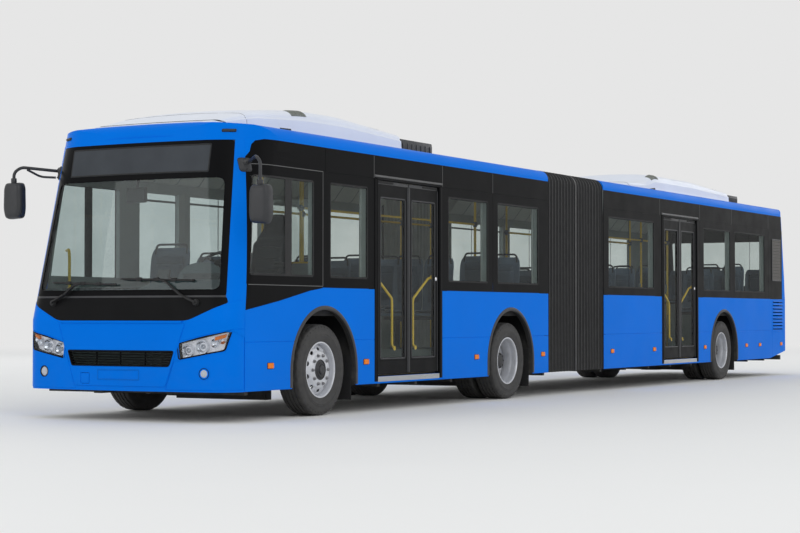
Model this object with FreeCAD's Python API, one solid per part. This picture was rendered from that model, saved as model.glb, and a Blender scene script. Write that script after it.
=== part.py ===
"""Articulated city bus: a front section on two axles and a rear section on one, joined by a
turntable and a bellows.  Millimetres, +Z up, front towards -Y, left-hand side towards +X,
origin on the ground under the middle of the bus."""

import FreeCAD, Part
import math
import os

# ---- overall sizes --------------------------------------------------------------------------
BODY_WIDTH = 2550.0
FRONT_OVERHANG = 1843.0
FRONT_WHEELBASE = 4519.0
MIDDLE_AXLE_TO_PIVOT = 2068.0
PIVOT_TO_REAR_AXLE = 6033.0
REAR_OVERHANG = 3537.0
BELLOWS_LENGTH = 1870.0

# ---- heights above the ground ---------------------------------------------------------------
SKIRT_Z = 300.0
FLOOR_Z = 390.0
GLASS_BOTTOM_Z = 1438.0
GLASS_TOP_Z = 2447.0
RAIL_Z = 2804.0
ROOF_EDGE_Z = 2945.0
ROOF_CROWN = 40.0
ROOF_EDGE_RADIUS = 110.0
ROOF_EDGE_EASE = 3.0
LINTEL_Z = 2540.0
SILL_Z = 376.0

# ---- panels ---------------------------------------------------------------------------------
WALL = 60.0
FLOOR_THICKNESS = 50.0
PANE_THICKNESS = 8.0
PANE_RECESS = 3.0
PANE_GAP = 2.0
REBATE_LIP = 22.0
# how far a cutting shape runs past the face that it opens
PAST = 10.0

# ---- wheels and axles -----------------------------------------------------------------------
TYRE_DIAMETER = 957.0
TYRE_WIDTH = 276.0
TREAD_WIDTH = 240.0
BEAD_WIDTH = 210.0
RIM_RADIUS = 285.0
RIM_LIP = 13.5
RIM_WALL = 12.0
TWIN_SPACING = 310.0
WHEEL_INSET = 30.0
HUB_SHAFT_RADIUS = 38.0
SHAFT_GAP = 0.08
KINGPIN_INSET = 177.0
KINGPIN_RADIUS = 18.0
AXLE_BEAM_Z = 150.0
AXLE_BEAM_HEIGHT = 100.0
AXLE_BEAM_WIDTH = 120.0
RIM_CHAMFER = 4.0
RIM_FLANGE_OUT = 14.0
RIM_FLANGE_IN = 8.0
RIM_SEAT_EDGE = 2.0
TYRE_FLANK_LOW = 47.0
TYRE_FLANK_HIGH = 49.0
TYRE_FLANK_INSET = 6.0
TYRE_SHOULDER = 16.0
HAND_HOLES = 10
HAND_HOLE_RADIUS = 17.0
HAND_HOLE_CIRCLE = 212.0
HUB_RADIUS = 105.0
UPRIGHT_WIDTH = 60.0
STEER_UPRIGHT_GAP = 15.0
STEER_UPRIGHT_RISE = 50.0
TWIN_UPRIGHT_GAP = 12.0
TWIN_UPRIGHT_RISE = 60.0
EYE_RADIUS = 34.0
EYE_HALF = 90.0
EYE_ARM_HALF = 45.0
YOKE_GAP = 5.0
YOKE_THICKNESS = 28.0
YOKE_WIDTH = 64.0
YOKE_PLATE_X = 52.0
YOKE_PLATE = 28.0
KINGPIN_HEAD = 8.0
BRAKE_RADIUS = 190.0
BRAKE_WIDTH = 62.0
STUB_REACH = 138.0
TWIN_STUB_REACH = 180.0
DIFFERENTIAL_RADIUS = 170.0
DIFFERENTIAL_RISE = 5.0

# ---- wheel housings -------------------------------------------------------------------------
ARCH_RADIUS = 640.0
ARCH_RISE = 10.0
BOX_HALF_LENGTH = 620.0
BOX_TOP_CLEARANCE = 85.0
BOX_SHEET = 15.0
STEER_BOX_X = 500.0
TWIN_BOX_X = 550.0

# ---- underframe, podests and towing ---------------------------------------------------------
RAIL_X = 430.0
RAIL_WIDTH = 80.0
FRAME_BOTTOM_Z = 262.0
CROSS_WIDTH = 60.0
CROSS_SPACING = 900.0
FLOOR_START = 200.0
FRONT_FRAME_START = 420.0
REAR_FRAME_GAP = 330.0
JACK_PAD = 50.0
JACK_PAD_HEIGHT = 12.0
FRONT_JACK_OFFSET = 1757.0
REAR_JACK_OFFSET = 1500.0
PODEST_Z = 650.0
PODEST_X = 360.0
TAIL_PODEST_Z = 800.0
DRIVER_PODEST_Z = 950.0
DRIVER_PODEST_X = 110.0
DRIVER_PODEST_START = 560.0
DOOR_1_PODEST_GAP = 40.0
DOOR_2_PODEST_GAP = 60.0
BELLOWS_PODEST_GAP = 100.0
ENGINE_WALL = 1250.0
ENGINE_TOP_Z = 1250.0
BULKHEAD = 30.0
TOW_X = 420.0
TOW_RADIUS = 20.0
TOW_DEPTH = 120.0
TOW_START = 215.0
TOW_END = 460.0
TOW_BLOCK = 50.0
TOW_ACCESS = 110.0
TOW_ACCESS_DEPTH = 200.0
FRONT_TOW_Z = 420.0
REAR_TOW_Z = 505.0

# ---- articulation ---------------------------------------------------------------------------
DISC_RADIUS = 900.0
DISC_GAP = 12.0
DISC_THICKNESS = 55.0
NECK_HALF = 480.0
BEARING_RADIUS = 420.0
BEARING_WIDTH = 60.0
BEARING_GAP = 5.0
INNER_RING_WIDTH = 50.0
TRAY_HALF = 620.0
TRAY_LOW_Z = 205.0
TRAY_THICKNESS = 45.0
TRAY_REACH = 400.0
TRAY_MOUNT = 100.0
BELLOWS_INSET = 12.0
BELLOWS_WALL = 75.0
BELLOWS_BOTTOM_Z = 290.0
BELLOWS_TOP_Z = 2955.0

# ---- doors ----------------------------------------------------------------------------------
DOOR_OPENING = 1450.0
DOOR_JAMB_GAP = 12.0
DOOR_CENTRE_GAP = 10.0
DOOR_FOOT_GAP = 22.0
DOOR_THICKNESS = 36.0
DOOR_RECESS = 15.0
DOOR_STILE = 62.0
DOOR_PIVOT_INSET = 48.0
DOOR_GUIDE_INSET = 40.0
DOOR_TOP_GAP = 45.0
DOOR_ARM_HEIGHT = 22.0
DOOR_ARM_WIDTH = 50.0
DOOR_PIN_RADIUS = 10.0
LINTEL_PIN = 40.0
LEAF_PIN = 45.0
PIN_END_GAP = 5.0
DOOR_GLASS_BOTTOM = 560.0
DOOR_GLASS_TOP = 2360.0

# ---- ends of the body -----------------------------------------------------------------------
# knee: height where the face starts to lean; lean: how far it has moved inwards at the cap;
# seam: where the end panel meets the side walls below the knee; seam_lean: the same at the cap
CAP_Z = 3050.0
FRONT_END = dict(face_radius=7500.0, corner_low=250.0, corner_high=640.0, knee=1000.0, lean=360.0,
                 seam=330.0, seam_lean=250.0)
TAIL_END = dict(face_radius=9000.0, corner_low=200.0, corner_high=300.0, knee=1334.0, lean=200.0,
                seam=260.0, seam_lean=200.0)
NOSE_LENGTH = 1110.0
TAIL_LENGTH = 620.0
BROW_RADIUS = 150.0
BROW_SHIFT = 20.0
TAIL_RISE_START = 1120.0
TAIL_RISE = 150.0

# ---- windscreen, lamps and openings of the front face ---------------------------------------
SCREEN_INSET_LOW = 110.0
SCREEN_INSET_HIGH = 215.0
SCREEN_BOTTOM_Z = 1240.0
SCREEN_SPLIT_Z = 2440.0
SCREEN_TOP_Z = 2785.0
SCREEN_LIP = 30.0
SCREEN_GAP = 4.0
SCREEN_CUT = 700.0
SIGN_CASE_FOOT = 15.0
SIGN_CASE_HEAD = 10.0
SIGN_CASE_MARGIN = 20.0
SIGN_CASE_BACK = 480.0
LAMP_GAP = 3.0
LAMP_RECESS = 4.0
LAMP_BACK = 5.0
# corners of a headlamp: how far inwards from the body's side, height
HEADLAMP = [(555.0, 615.0), (570.0, 780.0), (40.0, 905.0), (85.0, 700.0)]
HEADLAMP_DEPTH = 300.0
HEADLAMP_BACK_GAP = 40.0
FOG_X = 985.0
FOG_Z = 480.0
FOG_RADIUS = 48.0
# corners of the grille: x, height
GRILLE = [(-660.0, 698.0), (660.0, 698.0), (600.0, 545.0), (-600.0, 545.0)]
GRILLE_DEPTH = 300.0
PLATE_Z = 460.0
PLATE_HOLE_SPACING = 300.0
PLATE_HOLE_RADIUS = 3.5
PLATE_HOLE_DEPTH = 150.0

# ---- openings and lamps of the tail ---------------------------------------------------------
REAR_GLASS_HALF = 900.0
REAR_GLASS_BOTTOM = 1560.0
REAR_GLASS_TOP = 2400.0
ENGINE_DOOR_HALF = 760.0
ENGINE_DOOR_BOTTOM = 560.0
ENGINE_DOOR_TOP = 1255.0
ENGINE_DOOR_GAP = 6.0
ENGINE_DOOR_THICKNESS = 40.0
TAIL_CUT = 450.0
TAIL_LAMP_INNER = 290.0
TAIL_LAMP_OUTER = 60.0
TAIL_LAMP_LOW_Z = 560.0
TAIL_LAMP_HIGH_Z = 1120.0
TAIL_LAMP_DEPTH = 240.0
TAIL_LAMP_BACK_GAP = 20.0
LOUVRE_START = 950.0
LOUVRE_END = 400.0
LOUVRE_SLOT = 22.0
# height of the lowest slot, height of the highest, number of slots
LOUVRES = [(800.0, 1270.0, 9), (1680.0, 2350.0, 13)]
# x0, x1, start and end ahead of the tail, top
ENGINE = (-450.0, 600.0, 1200.0, 480.0, 1120.0)

# ---- roof pods ------------------------------------------------------------------------------
# distance behind the pod's front tip, height of its back line above the roof edge
FRONT_POD = [(0.0, 20.0), (1030.0, 225.0), (2030.0, 285.0), (3730.0, 265.0), (4680.0, 130.0)]
REAR_POD = [(0.0, 20.0), (400.0, 130.0), (1200.0, 150.0), (1320.0, 265.0), (3200.0, 275.0), (5500.0, 120.0)]
FRONT_POD_START = 470.0
REAR_POD_BEHIND_PIVOT = 2670.0
POD_HALF = 830.0
POD_SHOULDER = 130.0
POD_SIDE_HEIGHT = 60.0
POD_HEIGHT = 300.0
POD_SINK = 20.0
FAN_BOX_HALF = 420.0
FAN_BOX_GAP = 60.0
FAN_BOX_HEIGHT = 125.0
FRONT_FAN_BOX_REACH = 750.0
REAR_FAN_BOX_REACH = 700.0

# ---- passengers' seats and poles ------------------------------------------------------------
SEAT_PITCH = 720.0
SEAT_DEPTH = 420.0
SEAT_CUSHION = 60.0
SEAT_RISE = 450.0
SEAT_BACK = 45.0
SEAT_BACK_HEIGHT = 680.0
SEAT_EDGE = 10.0
WALL_GAP = 25.0
PEDESTAL_SIDE = 60.0
PEDESTAL_FRONT = 120.0
PEDESTAL_BACK = 60.0
PODEST_ROW = 600.0
DOOR_1_ROW = 545.0
FAR_ROWS = 4
REAR_NEAR_ROWS = 2
REAR_FAR_ROWS = 5
BOX_SEAT_RISE = 110.0
BOX_ROW_FRONT = 560.0
BOX_ROW_BACK = 20.0
SINGLE_SEAT_OFFSET = 250.0
TAIL_ROW = 700.0
BENCH_DEPTH = 450.0
BENCH_BACK = 50.0
BENCH_CUSHION = 80.0
BENCH_HEIGHT = 620.0
POLE_RADIUS = 17.0
POLE_X = 330.0
HANDRAIL_RADIUS = 14.0
HANDRAIL_Z = 2250.0

# ---- driver's place -------------------------------------------------------------------------
DRIVER_X = 640.0
PARTITION_OFFSET = 130.0
PARTITION_THICKNESS = 30.0
PARTITION_POLE_GAP = 60.0
PARTITION_CLEAR = 2.0
PARTITION_HEAD = 120.0
DRIVER_SEAT_OFFSET = 130.0
# half width, start and end ahead of the seat's rear edge, low and high above the housing
DRIVER_BASE = (160.0, 420.0, 60.0, 0.0, 260.0)
DRIVER_CUSHION = (250.0, 480.0, 0.0, 250.0, 360.0)
# distance behind the cushion's rear edge, height above the housing
DRIVER_BACK = [(-60.0, 300.0), (60.0, 300.0), (190.0, 1080.0), (90.0, 1100.0)]
DRIVER_BACK_HALF = 240.0
# station, height
DASH_SHELF = [(0.0, 1240.0), (380.0, 1330.0), (470.0, 1290.0), (470.0, 950.0), (0.0, 950.0)]
DASH_DESK = [(0.0, 1240.0), (420.0, 1390.0), (640.0, 1430.0), (760.0, 1270.0), (620.0, 950.0), (0.0, 950.0)]
STEERING_STATION = 830.0
STEERING_Z = 1600.0
STEERING_TILT = 28.0
STEERING_RADIUS = 225.0
STEERING_TUBE = 16.0
STEERING_SPOKE = (430.0, 44.0, 18.0)
STEERING_SPOKE_LOW = 30.0
STEERING_HUB = (52.0, 50.0)
STEERING_HUB_LOW = 45.0
STEERING_COLUMN = (32.0, 240.0)
STEERING_COLUMN_LOW = 270.0

# ---- mirrors and wipers ---------------------------------------------------------------------
# x beyond the body's side (two values), station (two values), height (two values)
MIRROR_BRACKET = (-215.0, -50.0, 470.0, 560.0, 2470.0, 2600.0)
MIRROR_HEAD = (165.0, 405.0, 120.0, 220.0, 1925.0, 2305.0)
MIRROR_HEAD_ROUND = 35.0
MIRROR_TUBE = 14.0
# x beyond the body's side, station, height
MIRROR_ARM = [(-70.0, 515.0, 2560.0), (225.0, 200.0, 2560.0), (285.0, 170.0, 2480.0), (285.0, 170.0, 2300.0)]
WIPER_PIVOT_X = 880.0
WIPER_PIVOT_Z = 1170.0
WIPER_THICKNESS = 18.0
WIPER_ARM_LOW = 16.0
WIPER_ARM_HIGH = 12.0
WIPER_ARM_RISE = 130.0
WIPER_BLADE_RISE = 105.0
WIPER_BLADE_SLOPE = 15.0
WIPER_BLADE_WIDTH = 20.0
WIPER_BLADE_HALF = 400.0
WIPER_CAP_RADIUS = 24.0
WIPER_CAP_HEIGHT = 26.0
WIPER_CUT = 400.0
# side of the pivot, x of the blade's middle
WIPERS = [(1, 420.0), (-1, -480.0)]

# ---- derived --------------------------------------------------------------------------------
SIDE = BODY_WIDTH / 2.0
FRONT_AXLE = FRONT_OVERHANG
MIDDLE_AXLE = FRONT_AXLE + FRONT_WHEELBASE
PIVOT = MIDDLE_AXLE + MIDDLE_AXLE_TO_PIVOT
REAR_AXLE = PIVOT + PIVOT_TO_REAR_AXLE
LENGTH = REAR_AXLE + REAR_OVERHANG
FRONT_STOP = PIVOT - BELLOWS_LENGTH / 2.0
REAR_START = PIVOT + BELLOWS_LENGTH / 2.0
AXLE_Z = TYRE_DIAMETER / 2.0
TYRE_RADIUS = TYRE_DIAMETER / 2.0
WHEEL_X = SIDE - WHEEL_INSET - TYRE_WIDTH / 2.0
KINGPIN_X = WHEEL_X - KINGPIN_INSET
ARCH_TOP = AXLE_Z + ARCH_RADIUS - ARCH_RISE
BOX_TOP = TYRE_DIAMETER + BOX_TOP_CLEARANCE
CEILING_Z = ROOF_EDGE_Z - WALL
FLOOR_UNDERSIDE = FLOOR_Z - FLOOR_THICKNESS
INNER = SIDE - WALL
DOOR_LINE = SIDE - DOOR_RECESS - DOOR_THICKNESS / 2.0
LEAF_WIDTH = (DOOR_OPENING - 2 * DOOR_JAMB_GAP - DOOR_CENTRE_GAP) / 2.0
LEAF_TOP_Z = LINTEL_Z - DOOR_TOP_GAP
LEAF_BOTTOM_Z = SILL_Z + DOOR_FOOT_GAP
ARM_LENGTH = (LEAF_WIDTH - (DOOR_PIVOT_INSET - DOOR_JAMB_GAP) - DOOR_GUIDE_INSET) / 2.0
PANE_BACK = PANE_RECESS + PANE_THICKNESS
BULKHEAD_S = LENGTH - ENGINE_WALL
HOUSING_TOP = BOX_TOP + BOX_SHEET
PARTITION_S = FRONT_AXLE + PARTITION_OFFSET
STEER_WELLS = [(FRONT_AXLE, STEER_BOX_X), (MIDDLE_AXLE, TWIN_BOX_X)]
REAR_WELLS = [(REAR_AXLE, TWIN_BOX_X)]


def at(station):
    """Y of a station measured backwards from the front tip."""
    return station - LENGTH / 2.0


# ---- basic solids ---------------------------------------------------------------------------
def vec(x, y, z):
    return FreeCAD.Vector(x, y, z)


def box(x0, x1, s0, s1, z0, z1):
    """Box between two X, two stations and two heights."""
    low_x = min(x0, x1)
    return Part.makeBox(abs(x1 - x0), s1 - s0, z1 - z0, vec(low_x, at(s0), z0))


def mirrored(shape):
    return shape.mirror(vec(0, 0, 0), vec(1, 0, 0))


def fuse(shapes):
    result = shapes[0].multiFuse(shapes[1:]) if len(shapes) > 1 else shapes[0]
    return result.removeSplitter()


def rod(p, q, radius):
    """Round bar between two points."""
    start = vec(*p)
    axis = vec(*q) - start
    return Part.makeCylinder(radius, axis.Length, start, axis)


def bar_along(x, z, radius, s0, s1):
    """Round bar along the bus between two stations."""
    return Part.makeCylinder(radius, s1 - s0, vec(x, at(s0), z), vec(0, 1, 0))


def disc(x, station, z, radius, width):
    """Disc about the X direction, from x to x + width."""
    return Part.makeCylinder(radius, width, vec(x, at(station), z), vec(1, 0, 0))


def post(x, station, z0, z1, radius):
    return Part.makeCylinder(radius, z1 - z0, vec(x, at(station), z0))


def arc(start, middle, end):
    return Part.Arc(vec(*start), vec(*middle), vec(*end)).toShape()


def line(start, end):
    return Part.makeLine(vec(*start), vec(*end))


def polygon(points):
    corners = [vec(*p) for p in points]
    return Part.Face(Part.makePolygon(corners + corners[:1]))


def side_prism(points, x0, x1):
    """Outline of (station, z) points, swept from x0 to x1."""
    return polygon([(x0, at(s), z) for s, z in points]).extrude(vec(x1 - x0, 0, 0))


def front_prism(points, s0, s1):
    """Outline of (x, z) points, swept between two stations."""
    return polygon([(x, at(s0), z) for x, z in points]).extrude(vec(0, s1 - s0, 0))


def plan_prism(points, z0, z1):
    """Outline of (x, station) points, swept between two heights."""
    return polygon([(x, at(s), z0) for x, s in points]).extrude(vec(0, 0, z1 - z0))


def turned(points, x, station, z, side=1):
    """Solid of revolution about X; points are (offset along X, radius), mirrored for side -1."""
    outline = [(side * a, 0.0, r) for a, r in points]
    solid = polygon(outline).revolve(vec(0, 0, 0), vec(1, 0, 0), 360)
    solid.translate(vec(x, at(station), z))
    return solid


# ---- outer form of the body -----------------------------------------------------------------
def end_outline(end, tip, inward, depth, z, inset):
    """Plan outline of one rounded end of the body at height z, as a closed wire."""
    rise = max(0.0, z - end["knee"]) / (CAP_Z - end["knee"])
    corner = end["corner_low"] + (end["corner_high"] - end["corner_low"]) * rise
    face = end["face_radius"]
    lean = end["lean"] * rise
    corner_x = SIDE - corner
    reach = math.sqrt((face - corner) ** 2 - corner_x ** 2)
    corner_s = face - reach
    tangent = math.atan2(corner_x, reach)
    middle = (tangent + math.pi / 2.0) / 2.0
    radius = corner - inset

    def point(x, s):
        return vec(x, at(tip + inward * (s + lean)), z)

    def on_corner(angle, side):
        return point(side * (corner_x + radius * math.sin(angle)), corner_s - radius * math.cos(angle))

    nose = point(0.0, inset)
    back = depth - lean
    half = SIDE - inset
    edges = [
        Part.Arc(on_corner(tangent, -1), nose, on_corner(tangent, 1)).toShape(),
        Part.Arc(on_corner(tangent, 1), on_corner(middle, 1), point(half, corner_s)).toShape(),
        Part.makeLine(point(half, corner_s), point(half, back)),
        Part.makeLine(point(half, back), point(-half, back)),
        Part.makeLine(point(-half, back), point(-half, corner_s)),
        Part.Arc(point(-half, corner_s), on_corner(middle, -1), on_corner(tangent, -1)).toShape(),
    ]
    return Part.Wire(edges)


def end_volume(end, tip, inward, depth, inset):
    """Rounded end of the body, upright below the knee and leaning above it."""
    foot = end_outline(end, tip, inward, depth, end["knee"], inset)
    lower = Part.Face(foot).extrude(vec(0, 0, SKIRT_Z - WALL - end["knee"]))
    upper = Part.makeLoft([foot, end_outline(end, tip, inward, depth, CAP_Z, inset)], True, True)
    return lower.fuse(upper)


def front_volume(inset, extra=0.0):
    """Front section as one block, inset all round except at its open rear end, which may run on."""
    nose = end_volume(FRONT_END, 0.0, 1, NOSE_LENGTH, inset)
    half = SIDE - inset
    body = box(-half, half, NOSE_LENGTH, FRONT_STOP + extra, SKIRT_Z - WALL, CAP_Z)
    return nose.fuse(body)


def rear_volume(inset, extra=0.0):
    tail = end_volume(TAIL_END, LENGTH, -1, TAIL_LENGTH, inset)
    half = SIDE - inset
    body = box(-half, half, REAR_START - extra, LENGTH - TAIL_LENGTH, SKIRT_Z - WALL, CAP_Z)
    return tail.fuse(body)


def roof_bar(inset, s0, s1):
    """Roof cross-section above the cant rail: crowned outside, flat ceiling inside."""
    y = at(s0)
    half = SIDE - inset
    top = ROOF_EDGE_Z - inset
    low = RAIL_Z if inset == 0 else RAIL_Z - PAST
    shoulder = SIDE - ROOF_EDGE_RADIUS
    spring = ROOF_EDGE_Z - ROOF_EDGE_RADIUS
    turn = ROOF_EDGE_RADIUS - (ROOF_EDGE_RADIUS - inset) * math.sqrt(0.5) + ROOF_EDGE_EASE
    turn_x = SIDE - turn
    turn_z = ROOF_EDGE_Z - turn
    if inset == 0:
        cap = arc((shoulder, y, top), (0, y, top + ROOF_CROWN), (-shoulder, y, top))
    else:
        cap = line((shoulder, y, top), (-shoulder, y, top))
    edges = [
        line((half, y, low), (half, y, spring)),
        arc((half, y, spring), (turn_x, y, turn_z), (shoulder, y, top)),
        cap,
        arc((-shoulder, y, top), (-turn_x, y, turn_z), (-half, y, spring)),
        line((-half, y, spring), (-half, y, low)),
        line((-half, y, low), (half, y, low)),
    ]
    return Part.Face(Part.Wire(edges)).extrude(vec(0, s1 - s0, 0))


def lean_at(end, z):
    return end["lean"] * max(0.0, z - end["knee"]) / (CAP_Z - end["knee"])


def seam_points(end, s_far, sign, tip):
    """(station, z) outline of everything beyond the leaning seam of an end panel."""
    knee = end["knee"]
    low = tip + sign * end["seam"]
    high = low + sign * end["seam_lean"]
    return [(low, 0.0), (low, knee), (high, CAP_Z), (s_far, CAP_Z), (s_far, 0.0)]


# ---- glazing --------------------------------------------------------------------------------
def window_cut(side, s0, s1):
    """Opening through a side wall with a rebate that the pane is bonded into."""
    lip = REBATE_LIP
    outside = side * (SIDE + PAST)
    rebate = box(outside, side * (SIDE - PANE_BACK), s0, s1, GLASS_BOTTOM_Z, GLASS_TOP_Z)
    through = box(outside, side * (INNER - PAST), s0 + lip, s1 - lip, GLASS_BOTTOM_Z + lip, GLASS_TOP_Z - lip)
    return [rebate, through]


def pane(side, s0, s1):
    gap = PANE_GAP
    face = side * (SIDE - PANE_RECESS)
    back = side * (SIDE - PANE_BACK)
    return box(face, back, s0 + gap, s1 - gap, GLASS_BOTTOM_Z + gap, GLASS_TOP_Z - gap)


def driver_window(side, margin):
    """Prism through the driver's window, whose front edge leans with the pillar."""
    s_low, s_high, s_end = DRIVER_GLASS
    low = GLASS_BOTTOM_Z + margin
    high = GLASS_TOP_Z - margin
    outline = [(s_low + margin, low), (s_high + margin, high), (s_end - margin, high), (s_end - margin, low)]
    return side_prism(outline, side * DRIVER_GLASS_X, side * (SIDE + PAST))


# ---- bays of the body: stations of windows and doors, tied to the axles and ends -------------
# driver's window: station of the front edge at its foot and head, station of the rear edge
DRIVER_GLASS = (415.0, 550.0, FRONT_AXLE - 217.0)
DRIVER_GLASS_X = SIDE - 675.0
DOOR_1_START = FRONT_AXLE + 1122.0
DOOR_2_START = REAR_AXLE - 2763.0
DOOR_1_END = DOOR_1_START + DOOR_OPENING
DOOR_2_END = DOOR_2_START + DOOR_OPENING
PODEST_1_START = DOOR_1_END + DOOR_1_PODEST_GAP
REAR_PODEST_START = REAR_START + BELLOWS_PODEST_GAP

# front and rear edge of each window
FRONT_LEFT_BAYS = [
    (FRONT_AXLE + 100.0, DOOR_1_START - 222.0),
    (DOOR_1_END + 225.0, MIDDLE_AXLE - 652.0),
    (MIDDLE_AXLE - 392.0, FRONT_STOP - 305.0),
]
FRONT_RIGHT_BAYS = [
    (FRONT_AXLE + 100.0, DOOR_1_START - 222.0),
    (DOOR_1_START - 52.0, DOOR_1_END + 55.0),
    (DOOR_1_END + 225.0, MIDDLE_AXLE - 652.0),
    (MIDDLE_AXLE - 392.0, FRONT_STOP - 305.0),
]
REAR_LEFT_BAYS = [
    (REAR_START + 175.0, DOOR_2_START - 380.0),
    (DOOR_2_END + 320.0, REAR_AXLE + 327.0),
    (REAR_AXLE + 537.0, LENGTH - 1400.0),
]
REAR_RIGHT_BAYS = [
    (REAR_START + 175.0, DOOR_2_START - 380.0),
    (DOOR_2_START - 170.0, DOOR_2_END + 110.0),
    (DOOR_2_END + 320.0, REAR_AXLE + 327.0),
    (REAR_AXLE + 537.0, LENGTH - 1400.0),
]


# ---- side walls -----------------------------------------------------------------------------
def arch_cut(axle, side):
    """Wheel arch: a round opening in the skirt, open downwards."""
    inside = side * (INNER - PAST)
    outside = side * (SIDE + PAST)
    spring = ARCH_TOP - ARCH_RADIUS
    top = disc(min(inside, outside), axle, spring, ARCH_RADIUS, abs(outside - inside))
    foot = box(inside, outside, axle - ARCH_RADIUS, axle + ARCH_RADIUS, 0.0, spring)
    return top.fuse(foot)


def doorway_cut(side, start):
    """Doorway, with bores in the lintel for the pins that carry the door arms."""
    end = start + DOOR_OPENING
    hole = box(side * (SIDE + PAST), side * (INNER - PAST), start, end, SILL_Z, LINTEL_Z)
    top = LINTEL_Z + LINTEL_PIN + PIN_END_GAP
    bores = [
        post(side * DOOR_LINE, s, LINTEL_Z - PAST, top, DOOR_PIN_RADIUS + SHAFT_GAP)
        for s in (start + DOOR_PIVOT_INSET, end - DOOR_PIVOT_INSET)
    ]
    return fuse([hole] + bores)


def wall_shell(outer, inner, side):
    slab = box(0, side * (SIDE + PAST), 0, LENGTH, SKIRT_Z, RAIL_Z)
    return outer.cut(inner).common(slab)


def front_wall(side):
    """Side wall of the front section from the mask seam to the bellows."""
    shell = wall_shell(front_volume(0), front_volume(WALL, PAST), side)
    behind = side_prism(seam_points(FRONT_END, FRONT_STOP, 1, 0.0), 0, side * (SIDE + PAST))
    bays = FRONT_LEFT_BAYS if side > 0 else FRONT_RIGHT_BAYS
    cuts = [cut for s0, s1 in bays for cut in window_cut(side, s0, s1)]
    cuts += [arch_cut(axle, side) for axle in (FRONT_AXLE, MIDDLE_AXLE)]
    cuts += [driver_window(side, 0.0).cut(front_volume(PANE_BACK)), driver_window(side, REBATE_LIP)]
    if side > 0:
        cuts.append(doorway_cut(side, DOOR_1_START))
    return shell.common(behind).cut(cuts)


def driver_pane(side):
    sheet = front_volume(PANE_RECESS).cut(front_volume(PANE_BACK))
    return driver_window(side, PANE_GAP).common(sheet)


def front_windows():
    panes = [pane(1, s0, s1) for s0, s1 in FRONT_LEFT_BAYS]
    panes += [pane(-1, s0, s1) for s0, s1 in FRONT_RIGHT_BAYS]
    panes += [driver_pane(1), driver_pane(-1)]
    return Part.makeCompound(panes)


def rear_wall_side(side):
    """Side wall of the rear section, its skirt rising behind the engine bay."""
    shell = wall_shell(rear_volume(0), rear_volume(WALL, PAST), side)
    ahead = side_prism(seam_points(TAIL_END, REAR_START, -1, LENGTH), 0, side * (SIDE + PAST))
    bays = REAR_LEFT_BAYS if side > 0 else REAR_RIGHT_BAYS
    cuts = [cut for s0, s1 in bays for cut in window_cut(side, s0, s1)]
    cuts += [arch_cut(REAR_AXLE, side), tail_rise()]
    if side > 0:
        cuts.append(doorway_cut(side, DOOR_2_START))
        cuts += grille_cuts()
    return shell.common(ahead).cut(cuts)


def rear_windows():
    panes = [pane(1, s0, s1) for s0, s1 in REAR_LEFT_BAYS]
    panes += [pane(-1, s0, s1) for s0, s1 in REAR_RIGHT_BAYS]
    panes.append(rear_pane())
    return Part.makeCompound(panes)


# ---- louvres of the engine bay and the rise below the tail -----------------------------------
def grille_cuts():
    """Slots through the left wall: a low row for the engine bay, a high row for the radiator."""
    s0 = LENGTH - LOUVRE_START
    s1 = LENGTH - LOUVRE_END
    slots = []
    for low, high, count in LOUVRES:
        for i in range(count):
            z = low + (high - low) * i / (count - 1)
            slots.append(box(INNER - PAST, SIDE + PAST, s0, s1, z, z + LOUVRE_SLOT))
    return slots


def tail_rise():
    """Wedge below the tail, for the departure angle."""
    start = LENGTH - TAIL_RISE_START
    end = LENGTH + PAST
    rise = TAIL_RISE * (end - start) / TAIL_RISE_START
    outline = [(start, SKIRT_Z), (end, SKIRT_Z + rise), (end, 0), (start, 0)]
    return side_prism(outline, -SIDE - PAST, SIDE + PAST)


# ---- front mask, windscreen and destination display ------------------------------------------
def screen_half(z):
    share = (z - SCREEN_BOTTOM_Z) / (SCREEN_TOP_Z - SCREEN_BOTTOM_Z)
    return SIDE - SCREEN_INSET_LOW - (SCREEN_INSET_HIGH - SCREEN_INSET_LOW) * share


def screen_prism(z0, z1, margin):
    low = screen_half(z0) - margin
    high = screen_half(z1) - margin
    points = [(-low, z0 + margin), (low, z0 + margin), (high, z1 - margin), (-high, z1 - margin)]
    return front_prism(points, -PAST, SCREEN_CUT)


def headlamp_outline():
    return [(SIDE - inset, z) for inset, z in HEADLAMP]


def scaled_outline(points, margin):
    """Outline shrunk by a margin towards its middle."""
    middle_x = sum(x for x, z in points) / len(points)
    middle_z = sum(z for x, z in points) / len(points)
    moved = []
    for x, z in points:
        in_x = math.copysign(margin, x - middle_x)
        in_z = math.copysign(margin, z - middle_z)
        moved.append((x - in_x, z - in_z))
    return moved


def plate_holes():
    half = PLATE_HOLE_SPACING / 2.0
    return [bar_along(x, PLATE_Z, PLATE_HOLE_RADIUS, -PAST, PLATE_HOLE_DEPTH) for x in (-half, half)]


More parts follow.
